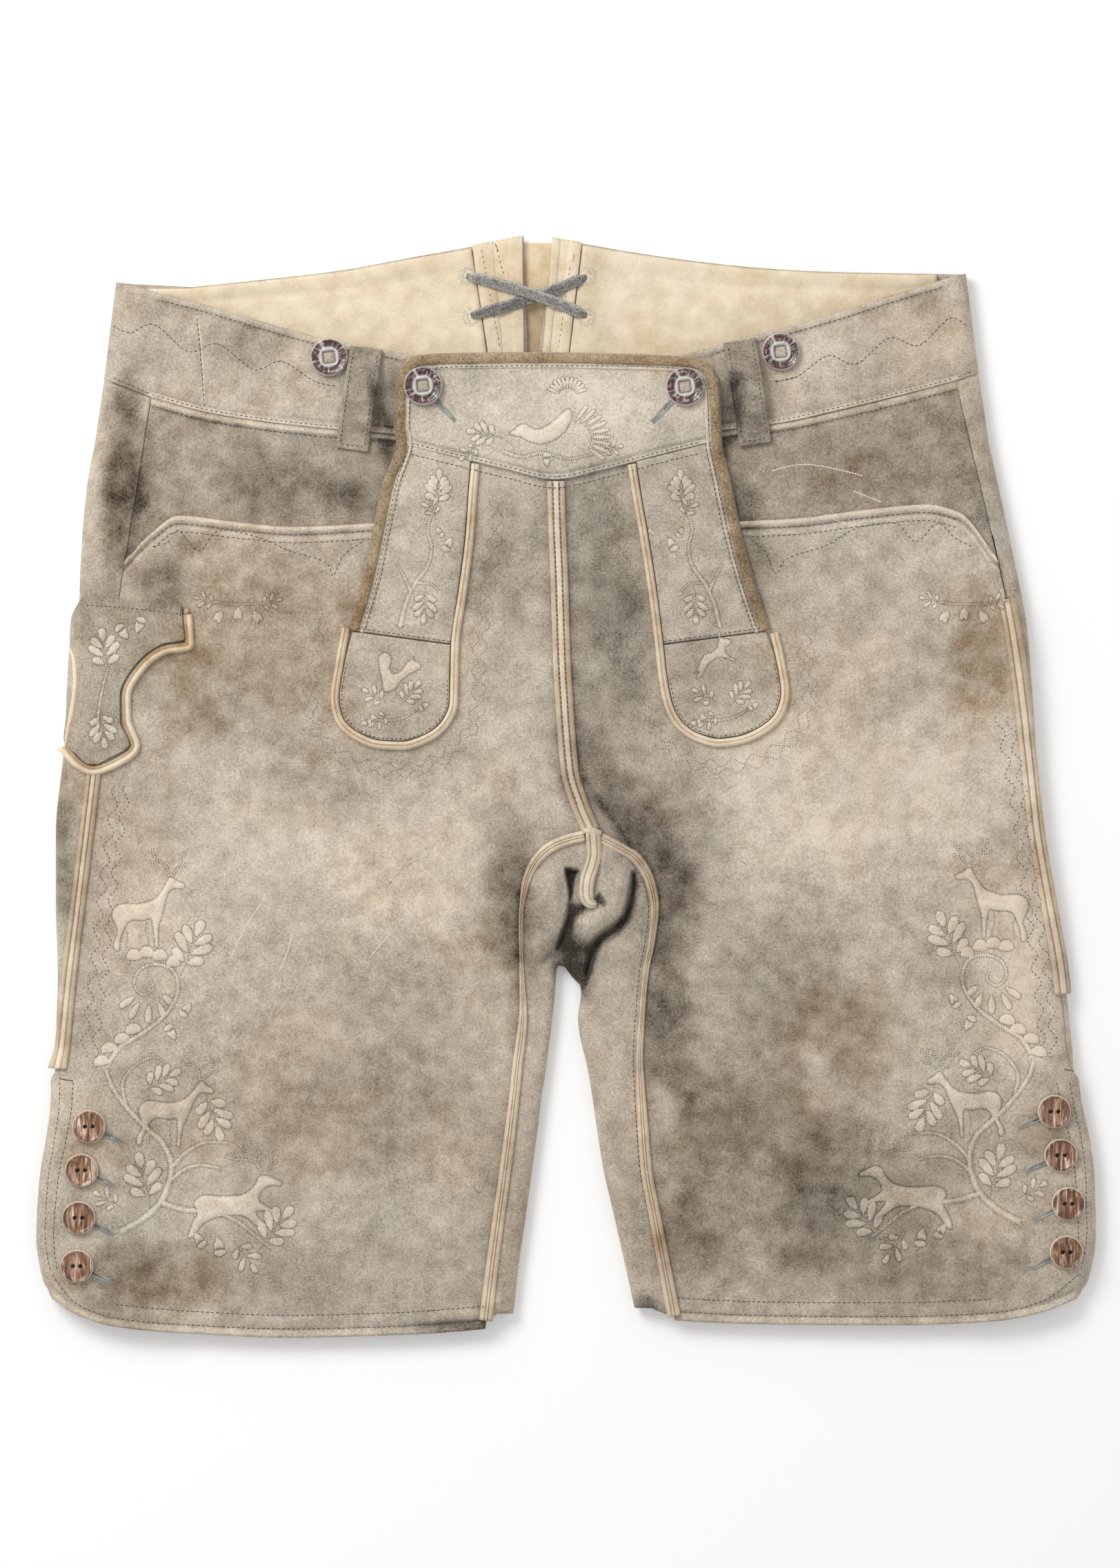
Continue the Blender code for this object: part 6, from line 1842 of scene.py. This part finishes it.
def leg_embroidery(mirror):
    """The thigh's picture: three deer among oak branches, on one side or the other."""

    def at(x, y):
        return (5.0 - x, y + 5.0) if mirror else (x, y)

    def line(points):
        return [at(*p) for p in points]

    def motif(make, x, y, size, turn, **more):
        px, py = at(x, y)
        make(px, py, size, -turn if mirror else turn, mirror, **more)

    def deer_at(outline, lines, antlers, x, y, size, turn):
        px, py = at(x, y)
        deer(outline, lines, antlers, px, py, size, -turn if mirror else turn, mirror)

    deer_at(STAG, STAG_LINES, ANTLERS, -244, -89, 0.86, 4)
    for x, y, width in ((-232, -92, 9), (-225, -90.5, 9), (-218, -92, 9), (-211, -95.5, 8)):
        pad(line([(x - width / 2, y - 1), (x - width / 3, y + 3.4), (x, y + 4.6),
                  (x + width / 3, y + 3.4), (x + width / 2, y - 1), (x, y - 2.2)]), height=0.9, soft=2.0)
    motif(oak_leaf, -206, -99, 2.5, -22)
    vine(line([(-246, -150), (-240, -141), (-229, -134), (-216, -124), (-208.5, -111), (-211, -99.5),
               (-220, -96), (-229, -99), (-232, -107), (-227, -112.5), (-221.5, -109), (-223, -104.5)]))
    for x, y, length, turn in ((-231, -113, 11, 215), (-229, -116, 11, 240), (-224, -117, 11, 268),
                               (-219, -116, 10, 292), (-217, -112, 8, 315)):
        px, py = at(x, y)
        pad(teardrop(px, py, length, 4.2, 180 - turn if mirror else turn), height=0.9, soft=1.5)
    motif(acorn, -205, -122, 1.25, -35)
    motif(acorn, -213, -131, 1.3, -150)
    for x, y in ((-238, -136), (-245, -141), (-232, -131), (-249, -148)):
        pad(line([(x - 4, y - 3), (x - 4.6, y + 1), (x - 1, y + 3.6), (x + 3.4, y + 2),
                  (x + 3.6, y - 1.6)]), height=0.8, soft=1.8)
    vine(line([(-247, -152), (-243, -163), (-234, -175), (-224, -185), (-216, -193), (-212, -205),
               (-216, -221), (-226, -232), (-240, -240)]), wide=2.2, narrow=3.4)
    vine(line([(-236, -172), (-238, -160), (-231, -150), (-221, -146), (-215, -149)]),
         wide=2.0, narrow=1.2)
    motif(oak_leaf, -226, -163, 1.9, -62)
    deer_at(STAG, STAG_LINES, ANTLERS, -232, -193, 0.84, -4)
    motif(oak_leaf, -193, -166, 2.3, 198)
    vine(line([(-213, -207), (-205, -198), (-194, -192), (-180, -192)]), wide=2.4, narrow=1.4)
    vine(line([(-214, -214), (-206, -207), (-196, -204), (-184, -206)]), wide=2.4, narrow=1.4)
    vine(line([(-218, -224), (-205, -228), (-190, -229), (-177, -234), (-168, -241), (-158, -249)]),
         wide=3.0, narrow=1.4)
    motif(oak_leaf, -224, -224, 2.4, 12)
    deer_at(LEAPING, [], LEAPING_ANTLERS, -203, -246, 1.12, 8)
    motif(oak_leaf, -163, -247, 2.3, -38)
    motif(acorn, -196, -246, 1.3, 30)
    motif(acorn, -186, -250, 1.5, 10)
    motif(oak_leaf, -177, -246, 1.7, 215, pairs=2)
    motif(oak_leaf, -240, -226, 1.4, 60, pairs=2)


leg_embroidery(False)
leg_embroidery(True)

# The drop front's band: a bird with a fan, between an oak spray and a branch
BIRD = [(0, 9.5), (3.6, 11.8), (6.4, 14.4), (10.4, 15), (14, 12.6), (18.4, 12.4), (24, 15.6), (29, 20),
        (33.4, 23.6), (36.2, 21), (35, 15), (31.6, 9.8), (26, 5.4), (18.6, 3.2), (12, 4.6), (7.4, 7.2),
        (3.6, 7.8)]
pad(placed(BIRD, -31, 180.0, 0.96), height=1.1, soft=3.0)
eye = rounded([(9, 11.8), (9.8, 12.4), (10.4, 11.8), (9.8, 11.2)], step=0.3, closed=True)
fine.append(placed(eye, -31, 180.0))
for k in range(11):
    turn = 20 + k * 14
    x, y = 1.0 + 4.0 * math.cos(math.radians(turn)), 209.5 + 3.0 * math.sin(math.radians(turn))
    pad(teardrop(x, y, 7.5, 2.3, turn), height=0.6, soft=1.1)
for k in range(9):
    turn = 62 - k * 11
    x, y = -2.0 + 15 * math.cos(math.radians(turn)), 186.0 + 10 * math.sin(math.radians(turn))
    pad(teardrop(x, y, 12.0, 2.6, turn - 8), height=0.7, soft=1.2)
oak_leaf(-36, 187, 1.55, 78)
oak_leaf(-47, 182.5, 1.1, 128, pairs=2)
acorn(-10, 176.5, 1.05, 180)
vine([(-34, 179.5), (-24, 176.5), (-12, 178.5), (2, 175.5), (16, 178.5), (30, 182)], wide=1.8, narrow=1.0)
oak_leaf(20, 180, 1.0, -78, pairs=2)

# Side strips, tongues and the sprays below the pockets
for sign, mid in ((-1, 69), (1, 63)):
    flip = sign > 0

    def outwards(points):
        """Points given from the strip's own middle, to the outside."""
        return [(sign * (mid + a), b) for a, b in points]

    oak_leaf(sign * mid, 150, 1.75, 4 * sign, flip, pairs=4)
    oak_leaf(sign * (mid + 1), 144, 1.2, sign * -20, flip, pairs=2)
    acorn(sign * (mid - 5), 128, 1.2, sign * 30, flip)
    acorn(sign * (mid - 2), 135, 0.9, sign * -30, flip)
    vine(outwards([(20, 84), (17, 97), (12, 108), (5, 118), (3, 128), (5, 138), (1, 150)]),
         wide=2.4, narrow=1.2)
    vine(outwards([(14, 104), (18, 113), (22, 120)]), wide=1.8, narrow=1.0)
    vine(outwards([(11, 109), (3, 108), (-1, 104)]), wide=1.6, narrow=1.0)
    oak_leaf(sign * (mid + 6), 105, 1.6, 180 + sign * 4, flip)
    fine.append(dense(outwards([(20, 84), (24, 88)])))
    fine.append(dense(outwards([(20, 84), (16, 87)])))

HARE = [(0, 4), (4, 6), (8, 10), (13, 12.6), (18, 12), (22, 13.6), (24.6, 17), (27, 22), (29, 22),
        (28.4, 17.4), (31, 15.6), (33, 13), (31, 11), (27.4, 10.4), (26, 7), (28, 3), (30.6, 0.6),
        (28.6, -0.6), (25, 3), (21, 6), (14, 6), (9, 3), (4, 0), (0, 0.6), (4, 3.6)]
SQUIRREL = [(4, 0), (9, 0), (12, 2), (14, 6), (17, 9), (20, 12), (24, 14), (27, 17), (25.4, 20), (22, 21),
            (21.6, 24), (19.8, 21.4), (17, 19), (14, 14), (10, 12), (7, 15), (8, 20), (6, 24), (2, 25),
            (-1, 21), (0, 14), (2, 7)]
pad(placed(SQUIRREL, -101, 51, 0.84, -4), height=1.0, soft=2.6)
pad(placed(HARE, 70, 57, 0.80, 26), height=0.9, soft=2.2)
for sign, mid in ((-1, -91), (1, 86)):
    oak_leaf(mid - 6, 45, 1.25, 60, pairs=2)
    oak_leaf(mid + 3, 44, 1.4, -40)
    oak_leaf(mid - 4, 38, 1.1, 120, pairs=2)
    acorn(mid + 14, 42, 0.9, -60)
    acorn(mid - 15, 34, 0.9, 100)
    vine([(mid - 14, 36), (mid - 5, 35), (mid + 5, 37), (mid + 15, 43)], wide=1.5, narrow=0.9)

PETAL = [(0, 0), (-2.6, -3), (-3, -7), (-1.2, -9), (0, -7.6), (1.2, -9), (3, -7), (2.6, -3)]
for x, y in ((-176, 96), (214, 96)):
    for turn in (-38, 0, 38):
        pad(placed(PETAL, x + turn * 0.22, y - abs(turn) * 0.05, 0.85, turn * 0.8), height=0.7, soft=1.4)
    oak_leaf(x - 12, y + 2, 1.1, 75, pairs=2)
    oak_leaf(x + 12, y + 1, 1.1, -75, pairs=2)
    vine([(x - 14, y + 3), (x - 5, y + 1.5), (x + 5, y + 1.5), (x + 14, y + 2)], wide=1.4, narrow=1.0)

# The knife pocket: two acorns and an oak spray
acorn(-239, 84, 1.35, -140)
acorn(-228, 88, 1.3, 160)
oak_leaf(-246, 62, 2.0, 8)
oak_leaf(-250, 40, 1.8, -172)
vine([(-252, 26), (-250, 45), (-246, 62), (-240, 76)], wide=1.8, narrow=1.0)

points = np.concatenate(padded["points"])
embroidery = mesh_of("embroidery_padding", points, padded["faces"], raised)
wear_and_shade_of(embroidery, -0.17, 0.06)
# Painted shade round each padded motif, added to its leather's darkness.
EDGE_SHADE = 0.62
wear_and_shade = np.empty(len(points), np.float32)
darkness_field = embroidery.data.attributes["wear_and_shade"].data
darkness_field.foreach_get("value", wear_and_shade)
darkness_field.foreach_set("value", wear_and_shade + EDGE_SHADE * np.concatenate(padded["edges"]).astype(np.float32))
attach(embroidery, "root")
stitches("embroidery_outlines", dotted, pitch=1.3, length=0.95, width=0.78)
stitches("embroidery_details", fine, pitch=1.2, length=0.9, width=0.5, proud=0.5)


# ---------------------------------------------------------------------------------------------
# Antler buttons. Slices of stag's antler, turned and polished: the ones for the braces and the
# drop front have a square middle on a suede loop, and the ones at the hems two thread holes.

def horn_material(name, scale, stretch, shades, pale):
    """Polished horn in irregular dark figures, with pale parts and painted shade in its hollows where the
    mesh says so.
    """
    made = bpy.data.materials.new(name)
    made.use_nodes = True
    tree = made.node_tree
    shader = tree.nodes["Principled BSDF"]
    place = joined(tree, "ShaderNodeTexCoord").outputs["Object"]
    drawn = joined(tree, "ShaderNodeVectorMath", [(0, place), (1, stretch)], operation="MULTIPLY")
    links = [("Vector", drawn.outputs[0]), ("Scale", scale), ("Detail", 3.0), ("Distortion", 1.6)]
    figure = joined(tree, "ShaderNodeTexNoise", links).outputs["Fac"]
    colours = joined(tree, "ShaderNodeValToRGB", [(0, figure)])
    stops = colours.color_ramp.elements
    while len(stops) < len(shades):
        stops.new(0.5)
    for stop, (position, colour) in zip(stops, shades):
        stop.position = position
        stop.color = linear(*colour)
    lit = mixed(tree, attribute(tree, "tinge"), colours.outputs[0], linear(*pale))
    # Painted shade, near black, in the hem buttons' holes and round the square middles.
    hollow_shaded = mixed(tree, attribute(tree, "wear_and_shade"), lit, linear(26, 20, 18))
    tree.links.new(hollow_shaded, shader.inputs["Base Color"])
    shader.inputs["Roughness"].default_value = 0.28
    shader.inputs["Coat Weight"].default_value = 0.6
    shader.inputs["Coat Roughness"].default_value = 0.12
    links = [("Height", figure), ("Distance", 0.5 * MM), ("Strength", 0.5)]
    bump = joined(tree, "ShaderNodeBump", links)
    tree.links.new(bump.outputs[0], shader.inputs["Normal"])
    return made


antler = horn_material("antler", scale=300.0, stretch=(1.0, 1.0, 1.0), shades=(
    (0.36, (34, 18, 15)), (0.48, (72, 38, 32)), (0.57, (110, 72, 66)), (0.64, (160, 132, 130)),
    (0.72, (226, 214, 208)),
), pale=(222, 219, 216))
grained_antler = horn_material("grained_antler", scale=330.0, stretch=(1.0, 0.16, 1.0), shades=(
    (0.30, (64, 36, 20)), (0.43, (112, 72, 46)), (0.53, (152, 110, 80)), (0.61, (192, 160, 138)),
    (0.70, (234, 222, 210)),
), pale=(242, 231, 214))
BUTTONS = table(
    "right_x right_y left_x left_y diameter",
    (-127, 230, 115.5, 233, 20.5), (-76.5, 214.5, 64, 214, 21), (-256, -183, 262.5, -175, 18),
    (-260, -206.5, 266, -198.5, 18), (-261.5, -232, 270, -224.5, 18), (-262.5, -258, 269, -250.5, 18),
)
BUTTON_NAMES = (
    "suspender_button_{}", "bib_button_{}", "hem_button_{}_1", "hem_button_{}_2", "hem_button_{}_3",
    "hem_button_{}_4",
)
BUTTON_THICKNESS = 3.6
SQUARE_TURN = math.radians(7)   # how far the square middles are turned


def turned_disc(name, x, y, base, radius, thickness, profile, made, count=48):
    """A round button: its top follows profile(u, v) in thicknesses, over a flat underside."""
    side = np.linspace(-1, 1, count)
    a, b = np.meshgrid(side, side)
    u = a * np.sqrt(1 - b * b / 2)
    v = b * np.sqrt(1 - a * a / 2)
    height, depth, pale = profile(u * radius, v * radius, radius)
    top = np.stack((x + u * radius, y + v * radius, base + thickness * height), axis=-1).reshape(-1, 3)
    faces = grid_faces(count, count)
    index = np.arange(count * count).reshape(count, count)
    rim = np.concatenate((index[0, :-1], index[:-1, -1], index[-1, :0:-1], index[:0:-1, 0]))
    low = top[rim].copy()
    low[:, 2] = base
    inner = (low - (x, y, 0)) * (0.9, 0.9, 1) + (x, y, 0)
    points = np.concatenate((top, low, inner))
    first, ring = len(top), len(rim)
    for k in range(ring):
        j = (k + 1) % ring
        faces.append((rim[k], first + k, first + j, rim[j]))
        faces.append((first + k, first + ring + k, first + ring + j, first + j))
    faces.append(tuple(first + ring + k for k in range(ring)))
    obj = mesh_of(name, points, [tuple(int(i) for i in face) for face in faces], made)
    tidy = bmesh.new()
    tidy.from_mesh(obj.data)
    bmesh.ops.recalc_face_normals(tidy, faces=tidy.faces)
    tidy.to_mesh(obj.data)
    tidy.free()
    sides = np.zeros(2 * ring)
    # The first field is painted shade in the holes and round the square middle; the second, the pale
    # parts.
    write_field(obj.data, "wear_and_shade", np.concatenate((depth.ravel(), sides)))
    write_field(obj.data, "tinge", np.concatenate((pale.ravel(), sides)))
    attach(obj, "root")
    return obj


def in_turned_square(u, v):
    """How far out a place is, counted along a button's rounded square middle."""
    c, s = math.cos(SQUARE_TURN), math.sin(SQUARE_TURN)
    a = np.abs(u * c + v * s)
    b = np.abs(v * c - u * s)
    return (a**6 + b**6) ** (1 / 6)


def rolled_rim(share):
    """A button's height near its rim, which rounds down over the last part of its radius."""
    return np.sqrt(np.clip(1 - np.clip((share - 0.88) / 0.12, 0, 1) ** 2, 0, 1))


def square_middle(u, v, radius):
    """The top of an upper button: how high, how much painted shade darkens it round the square's well,
    and how pale it is at each place.
    """
    r = np.hypot(u, v)
    share = r / radius
    square = in_turned_square(u, v)
    well = 1 - ramp(square, 2.9, 3.9)
    height = 0.25 + 0.60 * rolled_rim(share) + 0.12 * swell(share, 0.90, 0.06)
    height = height - 0.24 * swell(r, 6.4, 0.8) + 0.22 * swell(square, 4.5, 0.8)
    bearing = np.arctan2(v, u)
    streak = cloud(bearing * 9 + radius, share * 1.6, 1.0, 61)
    streak = streak + 0.5 * cloud(bearing * 23, share * 3, 1.0, 62)
    pale = 0.85 * (1 - ramp(r, 5.1, 6.2)) + 0.75 * ramp(share, 0.90, 0.95) + 0.8 * ramp(streak, 0.35, 0.9)
    well_shade = swell(square, 3.1, 0.28)
    return height * (1 - well) + 0.36 * well, 0.75 * well_shade, pale


def two_holes(u, v, radius):
    """The top of a hem button, dished and drilled twice: the same three shares, the second being painted
    shade in the holes.
    """
    share = np.hypot(u, v) / radius
    height = 0.2 + 0.62 * rolled_rim(share) + 0.16 * swell(share, 0.88, 0.07)
    height = height - 0.16 * (1 - share) * (share < 0.8)
    hole = np.minimum(np.hypot(u - 2.0, v), np.hypot(u + 2.0, v))
    drilled = 1 - ramp(hole, 0.75, 1.15)
    return height - drilled * 0.62, drilled, 0.95 * ramp(share, 0.92, 0.96)


for side in SIGN:
    for row, name in enumerate(BUTTON_NAMES):
        x, y = BUTTONS[side + "_x"][row], BUTTONS[side + "_y"][row]
        at_hem = name.startswith("hem")
        base = drop_onto([(x, y)])[0][2] + 0.5
        name = name.format(side)
        made, shape = (grained_antler, two_holes) if at_hem else (antler, square_middle)
        radius = BUTTONS["diameter"][row] / 2
        piece = turned_disc(name + "_disc", x, y, base, radius, BUTTON_THICKNESS, shape, made)
        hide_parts(name)
        if not at_hem:
            at = np.linspace(-3.0, 3.0, 15)
            u, v = np.meshgrid(at, at)
            c, s = math.cos(SQUARE_TURN), math.sin(SQUARE_TURN)
            rise = base + 1.5 + 0.5 * (1 - (np.maximum(np.abs(u), np.abs(v)) / 3.0) ** 4)
            plan_x = x + u * c - v * s
            plan_y = y + u * s + v * c
            grid = np.stack((plan_x, plan_y, rise), axis=-1)
            loop = hide_piece(name + "_loop", [grid], thickness=1.2, dark=0.05)


# ---------------------------------------------------------------------------------------------
# Buttonholes and tacks. Slits overcast with thick grey thread, with a bar at the end and a row of
# near-black grains in each slit's opening as its painted shadow, and small tacks where a seam or a
# slit ends.

grey_cord = thread_material("buttonhole_thread", (146, 150, 146), (196, 198, 190))
# One near-black thread for the painted shadow in the buttonhole slits and for the marking ink.
shadow_and_ink_thread = thread_material("slit_shadow_and_ink", (22, 20, 20), (38, 35, 34))


def overcast(lines, width, pitch):
    """The ends of stitches that lie across some plan lines, side by side."""
    starts, ends = [], []
    for line in lines:
        a, b = np.array(line[0], float), np.array(line[1], float)
        run, square = course(a, b)
        square = square * width / 2
        for k in range(max(int(np.hypot(*(b - a)) / pitch), 1)):
            at = a + run * (k + 0.5) * pitch
            lean = run * 0.15 * (-1) ** k
            starts.append(at - square - lean)
            ends.append(at + square + lean)
    return np.array(starts), np.array(ends)


def buttonhole(start, end, gap):
    """The plan lines of a slit's two worked edges, apart at its start and joined at its end."""
    square = course(start, end)[1]
    return [(start + square * gap, end + square * 0.55), (start - square * gap, end - square * 0.55)]


edges, bars, slit_shadows = [], [], []
for side in SIGN:
    sign = SIGN[side]
    for row in range(1, 6):
        x, y = BUTTONS[side + "_x"][row], BUTTONS[side + "_y"][row]
        reach = ((7, 8), (17, 18.5)) if row == 1 else ((7.8, 3.6), (18, 8.8))
        start, end = (np.array((x - sign * across, y - down)) for across, down in reach)
        edges += buttonhole(start, end, 1.25)
        run, square = course(start, end)
        at = end + run * 0.3
        bars.append((at + square * 1.5, at - square * 1.5))
        # The slit's opening, painted as shadow.
        slit_shadows.append(dense((start, start + (end - start) * 0.45)))
grains("buttonhole_stitching", *overcast(edges, width=1.7, pitch=0.55),
       width=0.58, proud=0.5, made=grey_cord)
grains("buttonhole_bars", *overcast(bars, width=1.5, pitch=0.45),
       width=0.5, proud=0.5, made=grey_cord)
stitches("buttonhole_slit_shadows", slit_shadows, pitch=0.8, length=1.0, width=0.9, proud=0.30, made=shadow_and_ink_thread)
TACKS = (
    ((-264.6, -158.6), (-272.2, -157.4)),
    ((268, -152.4), (275.4, -154)),
    ((-207, 91), (-206, 95)),
    ((-234, 124), (-230, 128)),
    ((229.6, 124.4), (226, 128.6)),
)
grains("bar_tacks", *overcast(TACKS, width=1.4, pitch=0.45), width=0.5, proud=0.3, made=linen)


# ---------------------------------------------------------------------------------------------
# Scars of the living animal, left in the leather as thin pale ridges, and a few newer scratches.
# Most are on the right thigh and the left hip.

scar_hide = leather_material(
    "scarred_hide", linear(240, 229, 212), linear(120, 108, 94), linear(230, 208, 178)
)
SCARS = (
    ((110.5, 169), (122, 172), (132.5, 172.4), (146, 170), (160.7, 166.3)),
    ((154, 158.5), (163, 155), (171, 151.8)),
    ((-198.3, 255.2), (-196, 240), (-194.6, 222), (-193.8, 202.5)),
    ((-180.4, -93.4), (-172, -76), (-163.7, -63.6)),
    ((-154, -100), (-149, -88), (-147, -79)),
    ((-106, -93.4), (-100, -86), (-93, -78.5)),
    ((-64, -69), (-60, -61.5)),
    ((139, 146), (144, 143), (152, 140.5)),
)
scars = [rounded(line, step=0.5) for line in SCARS]
stitches("scars", scars, pitch=1.5, length=1.9, width=0.8, proud=0.10, made=scar_hide, slot="hide")


# ---------------------------------------------------------------------------------------------
# Lacing at the centre back: two suede thongs crossed between four worked eyelets, with the
# bands' stitching and short ticks of marking ink.

thong_hide = leather_material(
    "thong_suede", linear(206, 202, 196), linear(52, 52, 56), linear(225, 215, 200),
    speckle=1.9, grain=1.2, rough=0.95, napped=0.3, scale=0.4
)
THONG_WIDTH = 6.1
# Each thong's piece and node, from where to where it runs, its hump over the other and its tone
LACES = (
    ("lower_thong", "lace_under", (-51, 253), (11.5, 274), 0.0, 0.30),
    ("upper_thong", "lace_over", (-53.5, 274.5), (11.5, 253), 1.9, 0.14),
)


def thong(name, node, start, end, hump, dark):
    """A flat thong that goes down through the leather at both ends."""
    start, end = np.array(start), np.array(end)
    square = course(start, end)[1]
    share = np.linspace(0, 1, 60)
    across = np.linspace(-1, 1, 9)
    taper = np.minimum(ramp(share, -0.05, 0.14), 1 - ramp(share, 0.88, 1.05)) * 0.6 + 0.4
    bow = 1.6 * np.sin(np.pi * share) * (-1 if hump else 1)
    half = THONG_WIDTH / 2 * taper * (1 + 0.05 * np.sin(share * 37))
    at = start + (end - start) * share[:, None] + square * bow[:, None]
    plan_at = at[:, None, :] + square * (half[:, None] * across[None, :])[..., None]
    ends = 1 - np.minimum(ramp(share, 0, 0.07), 1 - ramp(share, 0.93, 1))
    middle = hump * (ramp(share, 0.30, 0.46) - ramp(share, 0.62, 0.78))
    rest = 7.35 + middle - 2.4 * ends + 0.2 * np.sin(share * 23 + dark * 9)
    rise = rest[:, None] + 0.45 * (1 - across[None, :] ** 2)
    grid = np.concatenate((plan_at, rise[..., None]), axis=-1)
    lower_edge = (at - square * (half[:, None] - 0.4))[2:-2]
    upper_edge = (at + square * (half[:, None] - 0.3))[2:-2]
    lace = hide_piece(name, [grid], thickness=1.3, made=thong_hide, dark=dark,
                      lines=[(lower_edge, 0.7, -0.5), (upper_edge, 0.5, -0.3)])
    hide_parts(node)


for lace in LACES:
    thong(*lace)

garment_top = top_faces()
pale_grey = thread_material("eyelet_thread", (168, 172, 170), (206, 208, 202))
EYELETS = ((-52.8, 274.8), (-50.6, 252.6), (11.6, 274.4), (11.2, 252.6))
EYELET_STITCHES = 26
starts, ends, rims = [], [], []
for x, y in EYELETS:
    for k in range(EYELET_STITCHES):
        turn = 2 * math.pi * k / EYELET_STITCHES
        out = np.array((math.cos(turn), math.sin(turn)))
        starts.append((x, y) + out * 2.9)
        ends.append((x, y) + out * (5.2 + 0.5 * (k % 3)))
    ring = [(x + 2.5 * math.cos(t), y + 2.5 * math.sin(t)) for t in np.linspace(0, 2 * math.pi, 24)]
    rims.append(np.array(ring))
thong_outlines = []
for _, _, start, end, _, _ in LACES:
    run, square = course(start, end)
    half = square * 3.4
    thong_outlines.append([start - run + half, end + run + half, end + run - half, start - run - half])
grains("eyelet_stitches", np.array(starts), np.array(ends),
       width=0.34, proud=0.25, made=pale_grey, under=thong_outlines)
stitches("eyelet_rims", rims, pitch=0.9, length=1.0, width=1.1, proud=0.5, made=pale_grey,
         under=thong_outlines)
lacing_rows = [dense(((-45.4, 289.5), (-35, 234))), dense(((2.6, 280), (-4.1, 234))),
               dense(((-38, 292.6), (-32.7, 273)))]
stitches("lacing_stitching", lacing_rows, pitch=3.0, length=2.0, width=0.42, proud=0.2,
         under=thong_outlines)
ticks = [dense(((-38, 292.4), (-36, 287.2))), dense(((4.6, 286.4), (4.2, 281.8)))]
stitches("ink_ticks", ticks, pitch=0.8, length=1.1, width=0.9, proud=0.12, made=shadow_and_ink_thread)
